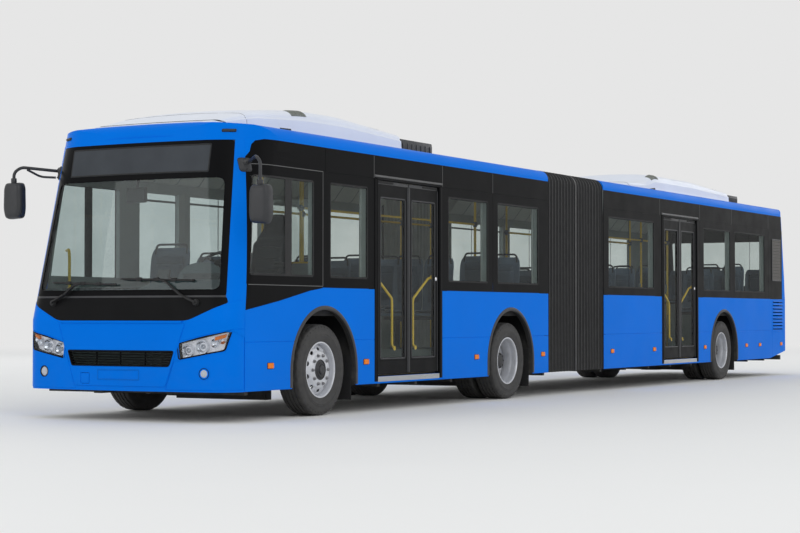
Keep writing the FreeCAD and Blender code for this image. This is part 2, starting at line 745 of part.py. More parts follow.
def front_mask():
    """Front panel with its pillars, screen aperture, lamp pockets and grille slot."""
    slab = box(-SIDE - PAST, SIDE + PAST, -PAST, NOSE_LENGTH, SKIRT_Z, RAIL_Z)
    seam = seam_points(FRONT_END, NOSE_LENGTH + PAST, 1, 0.0)
    behind = side_prism(seam, -SIDE - PAST, SIDE + PAST)
    shell = front_volume(0).cut(front_volume(WALL)).common(slab).cut(behind)
    rebate = screen_prism(SCREEN_BOTTOM_Z, SCREEN_TOP_Z, 0.0).cut(front_volume(PANE_BACK))
    lamp = front_prism(headlamp_outline(), -PAST, HEADLAMP_DEPTH)
    fog = bar_along(FOG_X, FOG_Z, FOG_RADIUS, -PAST, HEADLAMP_DEPTH)
    cuts = [rebate, screen_prism(SCREEN_BOTTOM_Z, SCREEN_TOP_Z, SCREEN_LIP)]
    cuts += [lamp, mirrored(lamp), fog, mirrored(fog), front_prism(GRILLE, -PAST, GRILLE_DEPTH)]
    cuts.append(tow_access(-PAST, TOW_ACCESS_DEPTH, FRONT_TOW_Z))
    cuts += plate_holes()
    return shell.cut(cuts)


def windscreen():
    sheet = front_volume(PANE_RECESS).cut(front_volume(PANE_BACK))
    return sheet.common(screen_prism(SCREEN_BOTTOM_Z, SCREEN_SPLIT_Z, SCREEN_GAP))


def destination_display():
    """Glazed header above the windscreen with the sign case behind it."""
    sheet = front_volume(PANE_RECESS).cut(front_volume(PANE_BACK))
    glass = sheet.common(screen_prism(SCREEN_SPLIT_Z, SCREEN_TOP_Z, SCREEN_GAP))
    foot = SCREEN_SPLIT_Z + SIGN_CASE_FOOT
    head = SCREEN_TOP_Z - SIGN_CASE_HEAD
    case = screen_prism(foot, head, SCREEN_LIP + SIGN_CASE_MARGIN)
    keep = box(-SIDE, SIDE, 0, SIGN_CASE_BACK, 0, CAP_Z)
    return fuse([glass, case.common(front_volume(PANE_BACK)).common(keep)])


def headlamps():
    """Lamp units and fog lamps, set in the pockets of the mask."""
    outline = scaled_outline(headlamp_outline(), LAMP_GAP)
    skin = front_volume(LAMP_RECESS).cut(front_volume(WALL - LAMP_BACK))
    unit = front_prism(outline, -PAST, HEADLAMP_DEPTH - HEADLAMP_BACK_GAP).common(skin)
    fog = bar_along(FOG_X, FOG_Z, FOG_RADIUS - LAMP_GAP, -PAST, HEADLAMP_DEPTH).common(skin)
    return Part.makeCompound([unit, mirrored(unit), fog, mirrored(fog)])


# ---- roof -----------------------------------------------------------------------------------
def front_roof():
    """Roof of the front section; its leading edge is rounded over the windscreen."""
    outer = roof_bar(0, -PAST, FRONT_STOP).common(front_volume(0))
    inner = roof_bar(WALL, -PAST, FRONT_STOP + PAST).common(front_volume(WALL, PAST))
    centre = lean_at(FRONT_END, RAIL_Z) + BROW_RADIUS
    low = ROOF_EDGE_Z + ROOF_CROWN - BROW_RADIUS
    brow = box(-SIDE - PAST, SIDE + PAST, -PAST, centre, low, CAP_Z)
    start = vec(-SIDE - PAST, at(centre + BROW_SHIFT), low)
    round_edge = Part.makeCylinder(BROW_RADIUS, BODY_WIDTH + 2 * PAST, start, vec(1, 0, 0))
    return outer.cut([inner, brow.cut(round_edge)])


def rear_roof():
    outer = roof_bar(0, REAR_START, LENGTH + PAST).common(rear_volume(0))
    inner = roof_bar(WALL, REAR_START - PAST, LENGTH + PAST).common(rear_volume(WALL, PAST))
    return outer.cut(inner)


def roof_unit(line, start, reach):
    """Air-conditioning pod: a long tapered fairing with a small unit behind it."""
    end = start + line[-1][0]
    base = ROOF_EDGE_Z - POD_SINK
    side = ROOF_EDGE_Z + POD_SIDE_HEIGHT
    high = ROOF_EDGE_Z + POD_HEIGHT
    shoulder = POD_HALF - POD_SHOULDER
    points = [(start + s, ROOF_EDGE_Z + h) for s, h in line] + [(end, base), (start, base)]
    section = [(-POD_HALF, base), (-POD_HALF, side), (-shoulder, high),
               (shoulder, high), (POD_HALF, side), (POD_HALF, base)]
    body = side_prism(points, -POD_HALF, POD_HALF).common(front_prism(section, start - PAST, end + PAST))
    top = ROOF_EDGE_Z + FAN_BOX_HEIGHT
    unit = box(-FAN_BOX_HALF, FAN_BOX_HALF, end + FAN_BOX_GAP, end + reach, base, top)
    bar = roof_bar(0, start - PAST, end + reach + PAST)
    return Part.makeCompound([body.cut(bar), unit.cut(bar)])


# ---- floors with wheel housings, podests and underframe --------------------------------------
def housing(axle, inner_x, side):
    """Sheet box over a wheel, closed towards the cabin and open to the arch."""
    half = BOX_HALF_LENGTH + BOX_SHEET
    near = side * (inner_x - BOX_SHEET)
    outer = box(near, side * INNER, axle - half, axle + half, FLOOR_UNDERSIDE, HOUSING_TOP)
    return outer.cut(housing_hollow(axle, inner_x, side))


def housing_hollow(axle, inner_x, side, margin=0.0):
    """Space over a wheel; the margin makes room for the housing's sheet in the floor."""
    half = BOX_HALF_LENGTH + margin
    return box(side * (inner_x - margin), side * (INNER + PAST), axle - half, axle + half, 0, BOX_TOP)


def well_hollows(wells, margin=0.0):
    """Hollows on both sides of each (axle station, inner x)."""
    return [housing_hollow(axle, x, side, margin) for axle, x in wells for side in (-1, 1)]


def floor_frame(s0, s1, wells):
    """Two rails, and cross members that stop at the rails beside a wheel well."""
    low = FRAME_BOTTOM_Z
    high = FLOOR_UNDERSIDE
    half_rail = RAIL_WIDTH / 2.0
    parts = [box(x - half_rail, x + half_rail, s0, s1, low, high) for x in (-RAIL_X, RAIL_X)]
    count = max(2, round((s1 - s0) / CROSS_SPACING))
    reach = BOX_HALF_LENGTH + CROSS_WIDTH
    for i in range(count + 1):
        s = s0 + (s1 - s0 - CROSS_WIDTH) * i / count
        near = any(abs(s + CROSS_WIDTH / 2.0 - axle) < reach for axle, x in wells)
        half = RAIL_X if near else INNER
        parts.append(box(-half, half, s, s + CROSS_WIDTH, low, high))
    return parts


def jacking_pads(station):
    """Flat pads below the rails for a workshop jack."""
    s0 = station - JACK_PAD
    s1 = station + JACK_PAD
    high = FRAME_BOTTOM_Z
    low = high - JACK_PAD_HEIGHT
    return [box(x - JACK_PAD, x + JACK_PAD, s0, s1, low, high) for x in (-RAIL_X, RAIL_X)]


def tow_block(s0, s1, z):
    """Block on the frame rail that takes the screw-in towing eye."""
    return box(-TOW_X - TOW_BLOCK, -TOW_X + TOW_BLOCK, s0, s1, FRAME_BOTTOM_Z, z + TOW_BLOCK)


def tow_bore(s0, z):
    return bar_along(-TOW_X, z, TOW_RADIUS, s0, s0 + TOW_DEPTH)


def tow_access(s0, s1, z):
    """Square opening through the body panel in front of the towing block."""
    half = TOW_ACCESS / 2.0
    return box(-TOW_X - half, -TOW_X + half, s0, s1, z - half, z + half)


def front_floor():
    """Low floor of the front section, welded to its underframe."""
    slab = box(-INNER, INNER, FLOOR_START, FRONT_STOP, FLOOR_UNDERSIDE, FLOOR_Z)
    frame = floor_frame(FRONT_FRAME_START, FRONT_STOP, STEER_WELLS)
    whole = fuse([slab] + frame + jacking_pads(FRONT_AXLE + FRONT_JACK_OFFSET))
    whole = whole.cut(well_hollows(STEER_WELLS, BOX_SHEET)).common(front_volume(WALL, PAST))
    return whole.fuse(tow_block(TOW_START, TOW_END, FRONT_TOW_Z)).cut(tow_bore(TOW_START, FRONT_TOW_Z))


def front_podests():
    """Wheel housings and seat podests: driver's side, left side behind the door, right side."""
    driver_end = FRONT_AXLE - BOX_HALF_LENGTH
    podest_end = MIDDLE_AXLE - BOX_HALF_LENGTH
    right_start = FRONT_AXLE + BOX_HALF_LENGTH
    driver = fuse([
        box(DRIVER_PODEST_X, INNER, DRIVER_PODEST_START, driver_end, FLOOR_Z, DRIVER_PODEST_Z),
        housing(FRONT_AXLE, STEER_BOX_X, 1),
    ])
    left = fuse([
        box(PODEST_X, INNER, PODEST_1_START, podest_end, FLOOR_Z, PODEST_Z),
        housing(MIDDLE_AXLE, TWIN_BOX_X, 1),
    ])
    right = fuse([
        housing(FRONT_AXLE, STEER_BOX_X, -1),
        box(-INNER, -PODEST_X, right_start, podest_end, FLOOR_Z, PODEST_Z),
        housing(MIDDLE_AXLE, TWIN_BOX_X, -1),
    ])
    hollows = well_hollows(STEER_WELLS)
    inside = front_volume(WALL, PAST)
    return Part.makeCompound([solid.cut(hollows).common(inside) for solid in (driver, left, right)])


def rear_floor():
    """Low floor of the rear section, welded to its underframe."""
    slab = box(-INNER, INNER, REAR_START, BULKHEAD_S, FLOOR_UNDERSIDE, FLOOR_Z)
    frame = floor_frame(REAR_START, LENGTH - REAR_FRAME_GAP, REAR_WELLS)
    whole = fuse([slab] + frame + jacking_pads(REAR_AXLE - REAR_JACK_OFFSET))
    whole = whole.cut(well_hollows(REAR_WELLS, BOX_SHEET)).common(rear_volume(WALL, PAST))
    block = tow_block(LENGTH - TOW_END, LENGTH - TOW_START, REAR_TOW_Z)
    return whole.fuse(block).cut(tow_bore(LENGTH - TOW_START - TOW_DEPTH, REAR_TOW_Z))


def rear_podests():
    """Seat podests, wheel housings, the raised tail floor and the engine compartment's walls."""
    start = REAR_PODEST_START
    step = REAR_AXLE + BOX_HALF_LENGTH
    wall_end = BULKHEAD_S + BULKHEAD
    left = box(PODEST_X, INNER, start, DOOR_2_START - DOOR_2_PODEST_GAP, FLOOR_Z, PODEST_Z)
    tail = fuse([
        housing(REAR_AXLE, TWIN_BOX_X, 1),
        housing(REAR_AXLE, TWIN_BOX_X, -1),
        box(-INNER, -PODEST_X, start, REAR_AXLE - BOX_HALF_LENGTH, FLOOR_Z, PODEST_Z),
        box(-INNER, INNER, step, BULKHEAD_S, FLOOR_Z, TAIL_PODEST_Z),
        box(-INNER, INNER, BULKHEAD_S, wall_end, FLOOR_UNDERSIDE, ENGINE_TOP_Z),
        box(-INNER, INNER, BULKHEAD_S, LENGTH, ENGINE_TOP_Z - BULKHEAD, ENGINE_TOP_Z),
    ])
    inside = rear_volume(WALL, PAST)
    return Part.makeCompound([left.common(inside), tail.cut(well_hollows(REAR_WELLS)).common(inside)])


# ---- wheels ---------------------------------------------------------------------------------
def tyre(x, station):
    """Tyre with bulging side walls; the tread blocks are left to the finish."""
    half = TYRE_WIDTH / 2.0
    tread = TREAD_WIDTH / 2.0
    low = RIM_RADIUS + TYRE_FLANK_LOW
    high = TYRE_RADIUS - TYRE_FLANK_HIGH
    # offset outwards, radius
    outline = [
        (BEAD_WIDTH / 2.0, RIM_RADIUS), (half - TYRE_FLANK_INSET, low), (half, (low + high) / 2.0),
        (half - TYRE_FLANK_INSET, high), (tread, TYRE_RADIUS - TYRE_SHOULDER),
        (tread - TYRE_SHOULDER, TYRE_RADIUS),
    ]
    return turned(both_sides(outline), x, station, AXLE_Z)


def both_sides(outline):
    """Turning profile from its outer half, mirrored to the inner side."""
    return [(-offset, radius) for offset, radius in outline] + outline[::-1]


def rim_barrel(x, station, side):
    """Rim barrel with a lip at each side of the tyre's beads."""
    half = BEAD_WIDTH / 2.0
    lip = RIM_RADIUS + RIM_LIP - RIM_CHAMFER
    # offset outwards, radius
    outline = [
        (half + RIM_CHAMFER, RIM_RADIUS - RIM_WALL), (half + RIM_FLANGE_OUT, RIM_RADIUS - RIM_CHAMFER),
        (half + RIM_FLANGE_OUT, lip), (half + RIM_FLANGE_IN, lip), (half + RIM_SEAT_EDGE, RIM_RADIUS),
    ]
    return turned(both_sides(outline), x, station, AXLE_Z, side)


def hand_holes(x, station, width):
    holes = []
    for i in range(HAND_HOLES):
        angle = 2.0 * math.pi * (i + 0.5) / HAND_HOLES
        y = at(station) + HAND_HOLE_CIRCLE * math.cos(angle)
        z = AXLE_Z + HAND_HOLE_CIRCLE * math.sin(angle)
        holes.append(Part.makeCylinder(HAND_HOLE_RADIUS, width, vec(x, y, z), vec(1, 0, 0)))
    return holes


def steer_rim(side):
    """Front wheel: a convex disc near the outer edge of the barrel, with its hub cap."""
    well = RIM_RADIUS - RIM_WALL + RIM_SEAT_EDGE
    bore = HUB_SHAFT_RADIUS + SHAFT_GAP
    hub = HUB_RADIUS
    width = 150.0
    # offset outwards, radius: outer face of the disc to the hub cap, then back along the inside
    dish = [
        (45, well), (70, 240), (100, 190), (112, 165), (112, hub), (122, hub - 6), (122, bore + 20),
        (140, bore + 18), (140, bore), (60, bore), (60, hub), (98, hub + 2), (98, 160), (86, 186),
        (56, 234), (33, well),
    ]
    x = side * WHEEL_X
    solid = fuse([rim_barrel(x, FRONT_AXLE, side), turned(dish, x, FRONT_AXLE, AXLE_Z, side)])
    return solid.cut(hand_holes(min(x, x + side * width), FRONT_AXLE, width))


def twin_rims(side, axle):
    """Twin wheels: two barrels bolted disc to disc on one hub."""
    outer_x = side * WHEEL_X
    inner_x = side * (WHEEL_X - TWIN_SPACING)
    middle = side * (WHEEL_X - TWIN_SPACING / 2.0)
    well = RIM_RADIUS - RIM_WALL + RIM_SEAT_EDGE
    bore = HUB_SHAFT_RADIUS + SHAFT_GAP
    half_width = 60.0
    # offset outwards from between the wheels, radius: the outer disc with the hub cap, the inner disc
    outer_disc = [
        (78, well), (32, 238), (12, 205), (12, 140), (75, 128), (175, 108), (185, 96), (185, bore),
        (0, bore), (0, 220), (20, 246), (64, well),
    ]
    inner_disc = [
        (-78, well), (-32, 238), (-12, 205), (-12, 140), (-70, 130), (-70, bore),
        (0, bore), (0, 220), (-20, 246), (-64, well),
    ]
    discs = [turned(points, middle, axle, AXLE_Z, side) for points in (outer_disc, inner_disc)]
    solid = fuse([rim_barrel(outer_x, axle, side), rim_barrel(inner_x, axle, side)] + discs)
    return solid.cut(hand_holes(middle - half_width, axle, 2 * half_width))


def twin_tyres(side, axle):
    return Part.makeCompound([tyre(side * WHEEL_X, axle), tyre(side * (WHEEL_X - TWIN_SPACING), axle)])


# ---- axles and knuckles ---------------------------------------------------------------------
def drop_beam(axle, upright_x, top_z):
    """Low centre beam with an upright in each wheel well."""
    y0 = axle - AXLE_BEAM_WIDTH / 2.0
    y1 = axle + AXLE_BEAM_WIDTH / 2.0
    reach = upright_x + UPRIGHT_WIDTH
    parts = [box(-reach, reach, y0, y1, AXLE_BEAM_Z, AXLE_BEAM_Z + AXLE_BEAM_HEIGHT)]
    for side in (-1, 1):
        parts.append(box(side * upright_x, side * reach, y0, y1, AXLE_BEAM_Z, top_z))
    return parts


def front_axle():
    """Drop-centre beam with an eye at each end for the kingpins."""
    upright = STEER_BOX_X + STEER_UPRIGHT_GAP
    parts = drop_beam(FRONT_AXLE, upright, AXLE_Z + STEER_UPRIGHT_RISE)
    s0 = FRONT_AXLE - EYE_RADIUS
    s1 = FRONT_AXLE + EYE_RADIUS
    low = AXLE_Z - EYE_HALF
    high = AXLE_Z + EYE_HALF
    bores = []
    for side in (-1, 1):
        x = side * KINGPIN_X
        parts.append(box(side * upright, x, s0, s1, AXLE_Z - EYE_ARM_HALF, AXLE_Z + EYE_ARM_HALF))
        parts.append(post(x, FRONT_AXLE, low, high, EYE_RADIUS))
        bores.append(post(x, FRONT_AXLE, low - PAST, high + PAST, KINGPIN_RADIUS + SHAFT_GAP))
    return fuse(parts).cut(bores)


def knuckle(side):
    """Yoke about the axle eye, with its kingpin, brake drum and stub shaft."""
    half = YOKE_WIDTH / 2.0
    near = side * (KINGPIN_X - half)
    plate = side * (KINGPIN_X + YOKE_PLATE_X)
    drum = side * (KINGPIN_X + YOKE_PLATE_X + YOKE_PLATE)
    drum_end = drum + side * BRAKE_WIDTH
    stub_end = side * (WHEEL_X + STUB_REACH)
    low = AXLE_Z - EYE_HALF - YOKE_GAP
    high = AXLE_Z + EYE_HALF + YOKE_GAP
    foot = low - YOKE_THICKNESS
    head = high + YOKE_THICKNESS
    s0 = FRONT_AXLE - half
    s1 = FRONT_AXLE + half
    return fuse([
        box(near, drum, s0, s1, high, head),
        box(near, drum, s0, s1, foot, low),
        box(plate, drum, s0, s1, foot, head),
        post(side * KINGPIN_X, FRONT_AXLE, foot - KINGPIN_HEAD, head + KINGPIN_HEAD, KINGPIN_RADIUS),
        disc(min(drum, drum_end), FRONT_AXLE, AXLE_Z, BRAKE_RADIUS, BRAKE_WIDTH),
        disc(min(drum, stub_end), FRONT_AXLE, AXLE_Z, HUB_SHAFT_RADIUS, abs(stub_end - drum)),
    ])


def rigid_axle(axle, drive):
    """Portal axle: low centre beam, uprights and a stub shaft into each twin hub."""
    upright = TWIN_BOX_X + TWIN_UPRIGHT_GAP
    parts = drop_beam(axle, upright, AXLE_Z + TWIN_UPRIGHT_RISE)
    for side in (-1, 1):
        start = side * (upright + UPRIGHT_WIDTH)
        end = side * (WHEEL_X - TWIN_SPACING / 2.0 + TWIN_STUB_REACH)
        parts.append(disc(min(start, end), axle, AXLE_Z, HUB_SHAFT_RADIUS, abs(end - start)))
    if drive:
        low = AXLE_BEAM_Z - DIFFERENTIAL_RISE
        high = AXLE_BEAM_Z + AXLE_BEAM_HEIGHT + DIFFERENTIAL_RISE
        parts.append(post(0, axle, low, high, DIFFERENTIAL_RADIUS))
    return fuse(parts)


# ---- turntable and bellows ------------------------------------------------------------------
def ring(radius, width, z0, z1):
    """Ring about the articulation's pivot."""
    outer = post(0, PIVOT, z0, z1, radius)
    return outer.cut(post(0, PIVOT, z0, z1, radius - width))


def turntable_base():
    """Fixed half: a tray bolted to the front underframe with the outer bearing ring on it."""
    low = TRAY_LOW_Z
    high = TRAY_LOW_Z + TRAY_THICKNESS
    start = FRONT_STOP - TRAY_REACH
    tray = plan_prism([
        (-TRAY_HALF, start), (TRAY_HALF, start), (TRAY_HALF, FRONT_STOP),
        (BEARING_RADIUS, PIVOT), (-BEARING_RADIUS, PIVOT), (-TRAY_HALF, FRONT_STOP),
    ], low, high)
    pad = post(0, PIVOT, low, high, BEARING_RADIUS)
    bearing = ring(BEARING_RADIUS, BEARING_WIDTH, high, FLOOR_Z - DISC_THICKNESS - DISC_GAP)
    mount = box(-TRAY_HALF, TRAY_HALF, start, start + TRAY_MOUNT, high, FRAME_BOTTOM_Z)
    return fuse([tray, pad, bearing, mount])


def turntable_yoke():
    """Turning half: the round platform with its inner ring and neck to the rear section."""
    low = FLOOR_Z - DISC_THICKNESS
    platform = post(0, PIVOT, low, FLOOR_Z, DISC_RADIUS)
    neck = box(-NECK_HALF, NECK_HALF, PIVOT, REAR_START, low, FLOOR_Z)
    inner = BEARING_RADIUS - BEARING_WIDTH - BEARING_GAP
    bearing = ring(inner, INNER_RING_WIDTH, TRAY_LOW_Z + TRAY_THICKNESS + BEARING_GAP, low)
    return fuse([platform, neck, bearing])


def bellows():
    """Concertina tunnel between the sections: two sides and a roof, open over the turntable."""
    half = SIDE - BELLOWS_INSET
    clear = half - BELLOWS_WALL
    outer = box(-half, half, FRONT_STOP, REAR_START, BELLOWS_BOTTOM_Z, BELLOWS_TOP_Z)
    inner = box(-clear, clear, FRONT_STOP - PAST, REAR_START + PAST, 0, BELLOWS_TOP_Z - BELLOWS_WALL)
    return outer.cut(inner)


# ---- doors ----------------------------------------------------------------------------------
def leaf_hinge_station(start, hand):
    """Station of the pivot in the lintel; hand +1 is the front leaf, -1 the rear leaf."""
    jamb = start if hand > 0 else start + DOOR_OPENING
    return jamb + hand * DOOR_PIVOT_INSET


def door_leaf(start, hand):
    """Framed leaf with one tall pane, hung from a pin in the middle of its top rail."""
    jamb = start if hand > 0 else start + DOOR_OPENING
    s0 = jamb + hand * DOOR_JAMB_GAP
    s1 = s0 + hand * LEAF_WIDTH
    low, high = min(s0, s1), max(s0, s1)
    x0 = DOOR_LINE - DOOR_THICKNESS / 2.0
    x1 = DOOR_LINE + DOOR_THICKNESS / 2.0
    g0, g1 = low + DOOR_STILE, high - DOOR_STILE
    z0, z1 = DOOR_GLASS_BOTTOM, DOOR_GLASS_TOP
    lip = REBATE_LIP
    gap = PANE_GAP
    rebate = box(x1 - PANE_BACK, x1 + PAST, g0, g1, z0, z1)
    through = box(x0 - PAST, x1 + PAST, g0 + lip, g1 - lip, z0 + lip, z1 - lip)
    pin_s = leaf_hinge_station(start, hand) + hand * ARM_LENGTH
    pin_low = LEAF_TOP_Z - LEAF_PIN - PIN_END_GAP
    bore = post(DOOR_LINE, pin_s, pin_low, LEAF_TOP_Z + PAST, DOOR_PIN_RADIUS + SHAFT_GAP)
    frame = box(x0, x1, low, high, LEAF_BOTTOM_Z, LEAF_TOP_Z).cut([rebate, through, bore])
    glass = box(x1 - PANE_BACK, x1 - PANE_RECESS, g0 + gap, g1 - gap, z0 + gap, z1 - gap)
    return Part.makeCompound([frame, glass])


def door_arm(start, hand):
    """Arm between the lintel pivot and the middle of the leaf, with a pin at each end."""
    s0 = leaf_hinge_station(start, hand)
    s1 = s0 + hand * ARM_LENGTH
    z0 = LEAF_TOP_Z + (DOOR_TOP_GAP - DOOR_ARM_HEIGHT) / 2.0
    z1 = z0 + DOOR_ARM_HEIGHT
    half = DOOR_ARM_WIDTH / 2.0
    return fuse([
        box(DOOR_LINE - half, DOOR_LINE + half, min(s0, s1), max(s0, s1), z0, z1),
        post(DOOR_LINE, s0, z0, z1, half),
        post(DOOR_LINE, s1, z0, z1, half),
        post(DOOR_LINE, s0, z0, LINTEL_Z + LINTEL_PIN, DOOR_PIN_RADIUS),
        post(DOOR_LINE, s1, LEAF_TOP_Z - LEAF_PIN, z1, DOOR_PIN_RADIUS),
    ])


# ---- tail -----------------------------------------------------------------------------------
def tail_window(margin):
    half = REAR_GLASS_HALF - margin
    low = REAR_GLASS_BOTTOM + margin
    high = REAR_GLASS_TOP - margin
    return box(-half, half, LENGTH - TAIL_CUT, LENGTH + PAST, low, high)


def rear_pane():
    sheet = rear_volume(PANE_RECESS).cut(rear_volume(PANE_BACK))
    return sheet.common(tail_window(PANE_GAP))


def engine_hatch(margin):
    half = ENGINE_DOOR_HALF - margin
    low = ENGINE_DOOR_BOTTOM + margin
    high = ENGINE_DOOR_TOP - margin
    return box(-half, half, LENGTH - TAIL_CUT, LENGTH + PAST, low, high)


def tail_lamp_block(margin, depth):
    inner = SIDE - TAIL_LAMP_INNER + margin
    outer = SIDE - TAIL_LAMP_OUTER - margin
    low = TAIL_LAMP_LOW_Z + margin
    high = TAIL_LAMP_HIGH_Z - margin
    return box(inner, outer, LENGTH - depth, LENGTH + PAST, low, high)


def rear_panel():
    """Tail of the body with the rear window, engine hatch and lamp pockets."""
    start = LENGTH - TAIL_LENGTH
    slab = box(-SIDE - PAST, SIDE + PAST, start, LENGTH + PAST, SKIRT_Z, RAIL_Z)
    ahead = side_prism(seam_points(TAIL_END, start - PAST, -1, LENGTH), -SIDE - PAST, SIDE + PAST)
    shell = rear_volume(0).cut(rear_volume(WALL)).common(slab).cut(ahead)
    lamp = tail_lamp_block(0.0, TAIL_LAMP_DEPTH)
    return shell.cut([
        tail_window(0.0).cut(rear_volume(PANE_BACK)),
        tail_window(REBATE_LIP),
        engine_hatch(0.0),
        lamp,
        mirrored(lamp),
        tail_rise(),
        tow_access(LENGTH - TOW_ACCESS_DEPTH, LENGTH + PAST, REAR_TOW_Z),
    ])


def engine_door():
    return rear_volume(0).cut(rear_volume(ENGINE_DOOR_THICKNESS)).common(engine_hatch(ENGINE_DOOR_GAP))


def tail_lamps():
    body = tail_lamp_block(LAMP_GAP, TAIL_LAMP_DEPTH - TAIL_LAMP_BACK_GAP)
    unit = body.common(rear_volume(LAMP_RECESS)).cut(rear_volume(WALL - LAMP_BACK))
    return Part.makeCompound([unit, mirrored(unit)])


def engine_block():
    """Engine and gearbox as one plain block on the tail rails."""
    x0, x1, start, end, top = ENGINE
    return box(x0, x1, LENGTH - start, LENGTH - end, FLOOR_UNDERSIDE, top)


# ---- inside ---------------------------------------------------------------------------------
def seat(side, x_in, station, base_z, rise):
    """Moulded seat on a pedestal; station is the back face of its backrest."""
    x0 = side * x_in
    x1 = side * (INNER - WALL_GAP)
    edge = side * PEDESTAL_SIDE
    top = base_z + rise
    low = top - SEAT_CUSHION
    front = station - SEAT_DEPTH - SEAT_BACK
    return fuse([
        box(x0, x1, front, station, low, top),
        box(x0, x1, station - SEAT_BACK, station, low, top + SEAT_BACK_HEIGHT),
        box(x0 + edge, x1 - edge, front + PEDESTAL_FRONT, station - PEDESTAL_BACK, base_z, low),
    ])


def podest_rows(side, first, count):
    """Seats on a side podest: side, inner x, station, height of what it stands on, seat rise."""
    return [(side, PODEST_X + SEAT_EDGE, first + SEAT_PITCH * i, PODEST_Z, SEAT_RISE) for i in range(count)]


def box_rows(side, axle):
    """Seats on a wheel housing, with the same columns."""
    stations = (axle - BOX_HALF_LENGTH + BOX_ROW_FRONT, axle + BOX_HALF_LENGTH - BOX_ROW_BACK)
    return [(side, TWIN_BOX_X + SEAT_EDGE, s, HOUSING_TOP, BOX_SEAT_RISE) for s in stations]


def front_seat_table():
    rows = podest_rows(1, PODEST_1_START + DOOR_1_ROW, 1)
    rows += box_rows(1, MIDDLE_AXLE)
    rows += podest_rows(-1, FRONT_AXLE + BOX_HALF_LENGTH + PODEST_ROW, FAR_ROWS)
    rows += box_rows(-1, MIDDLE_AXLE)
    single = FRONT_AXLE + SINGLE_SEAT_OFFSET
    rows.append((-1, STEER_BOX_X + SEAT_EDGE, single, HOUSING_TOP, BOX_SEAT_RISE))
    return rows


def rear_seat_table():
    rows = []
    for side, count in ((1, REAR_NEAR_ROWS), (-1, REAR_FAR_ROWS)):
        rows += podest_rows(side, REAR_PODEST_START + PODEST_ROW, count)
        rows += box_rows(side, REAR_AXLE)
        tail = REAR_AXLE + BOX_HALF_LENGTH + TAIL_ROW
        rows.append((side, PODEST_X + SEAT_EDGE, tail, TAIL_PODEST_Z, SEAT_RISE))
    return rows


def bench_seat():
    """Bench across the engine compartment."""
    s0 = BULKHEAD_S
    s1 = s0 + BENCH_DEPTH
    low = ENGINE_TOP_Z
    half = INNER - WALL_GAP
    cushion = box(-half, half, s0, s1, low, low + BENCH_CUSHION)
    back = box(-half, half, s1, s1 + BENCH_BACK, low, low + BENCH_HEIGHT)
    return fuse([cushion, back])


def seats(table, extra=()):
    return Part.makeCompound([seat(*row) for row in table] + list(extra))


def pole_row(side, stations):
    """Stanchions from floor to ceiling, joined by a handrail."""
    x = side * POLE_X
    parts = [post(x, s, FLOOR_Z, CEILING_Z, POLE_RADIUS) for s in stations]
    parts.append(bar_along(x, HANDRAIL_Z, HANDRAIL_RADIUS, stations[0], stations[-1]))
    return fuse(parts)


def front_grab_poles():
    last = FRONT_STOP - 250
    near = [DOOR_1_START - 80, DOOR_1_END + 20, MIDDLE_AXLE - 60, last]
    far = [FRONT_AXLE + 700, FRONT_AXLE + 2140, MIDDLE_AXLE - BOX_HALF_LENGTH - 220, MIDDLE_AXLE + 60, last]
    return Part.makeCompound([pole_row(1, near), pole_row(-1, far)])


def rear_grab_poles():
    first = REAR_START + 220
    last = REAR_AXLE - 100
    near = [first, DOOR_2_START - 40, DOOR_2_END + 40, last]
    far = [first, first + 2 * SEAT_PITCH, first + 4 * SEAT_PITCH, last]
    return Part.makeCompound([pole_row(1, near), pole_row(-1, far)])


def driver_partition():
    """Screen behind the driver's place: a panel on the wheel housing and one beside it."""
    x0 = POLE_X + PARTITION_POLE_GAP
    s0 = PARTITION_S
    s1 = PARTITION_S + PARTITION_THICKNESS
    panel = box(x0, INNER - PARTITION_CLEAR, s0, s1, HOUSING_TOP, CEILING_Z - PARTITION_HEAD)
    foot = box(x0, STEER_BOX_X - BOX_SHEET - PARTITION_CLEAR, s0, s1, FLOOR_Z, HOUSING_TOP)
    return fuse([panel, foot])


def driver_seat():
    """High-backed driver's seat on its base over the wheel housing."""
    s = FRONT_AXLE - DRIVER_SEAT_OFFSET
    z = HOUSING_TOP
    parts = []
    for half, start, end, low, high in (DRIVER_BASE, DRIVER_CUSHION):
        parts.append(box(DRIVER_X - half, DRIVER_X + half, s - start, s - end, z + low, z + high))
    back = [(s + behind, z + height) for behind, height in DRIVER_BACK]
    parts.append(side_prism(back, DRIVER_X - DRIVER_BACK_HALF, DRIVER_X + DRIVER_BACK_HALF))
    return fuse(parts)


def dashboard():
    """Shelf under the windscreen and the driver's console."""
    shelf = side_prism(DASH_SHELF, -SIDE, DRIVER_PODEST_X)
    desk = side_prism(DASH_DESK, DRIVER_PODEST_X, SIDE)
    return fuse([shelf, desk]).common(front_volume(WALL))


def steering_wheel():
    """Rim, spokes and column, tipped towards the driver."""
    length, width, height = STEERING_SPOKE
    hub_radius, hub_height = STEERING_HUB
    column_radius, column_length = STEERING_COLUMN
    whole = fuse([
        Part.makeTorus(STEERING_RADIUS, STEERING_TUBE, vec(0, 0, 0), vec(0, 0, 1)),
        Part.makeBox(length, width, height, vec(-length / 2.0, -width / 2.0, -STEERING_SPOKE_LOW)),
        Part.makeCylinder(hub_radius, hub_height, vec(0, 0, -STEERING_HUB_LOW)),
        Part.makeCylinder(column_radius, column_length, vec(0, 0, -STEERING_COLUMN_LOW)),
    ])
    whole.rotate(vec(0, 0, 0), vec(1, 0, 0), STEERING_TILT)
    whole.translate(vec(DRIVER_X, at(STEERING_STATION), STEERING_Z))
    return whole.cut(dashboard())


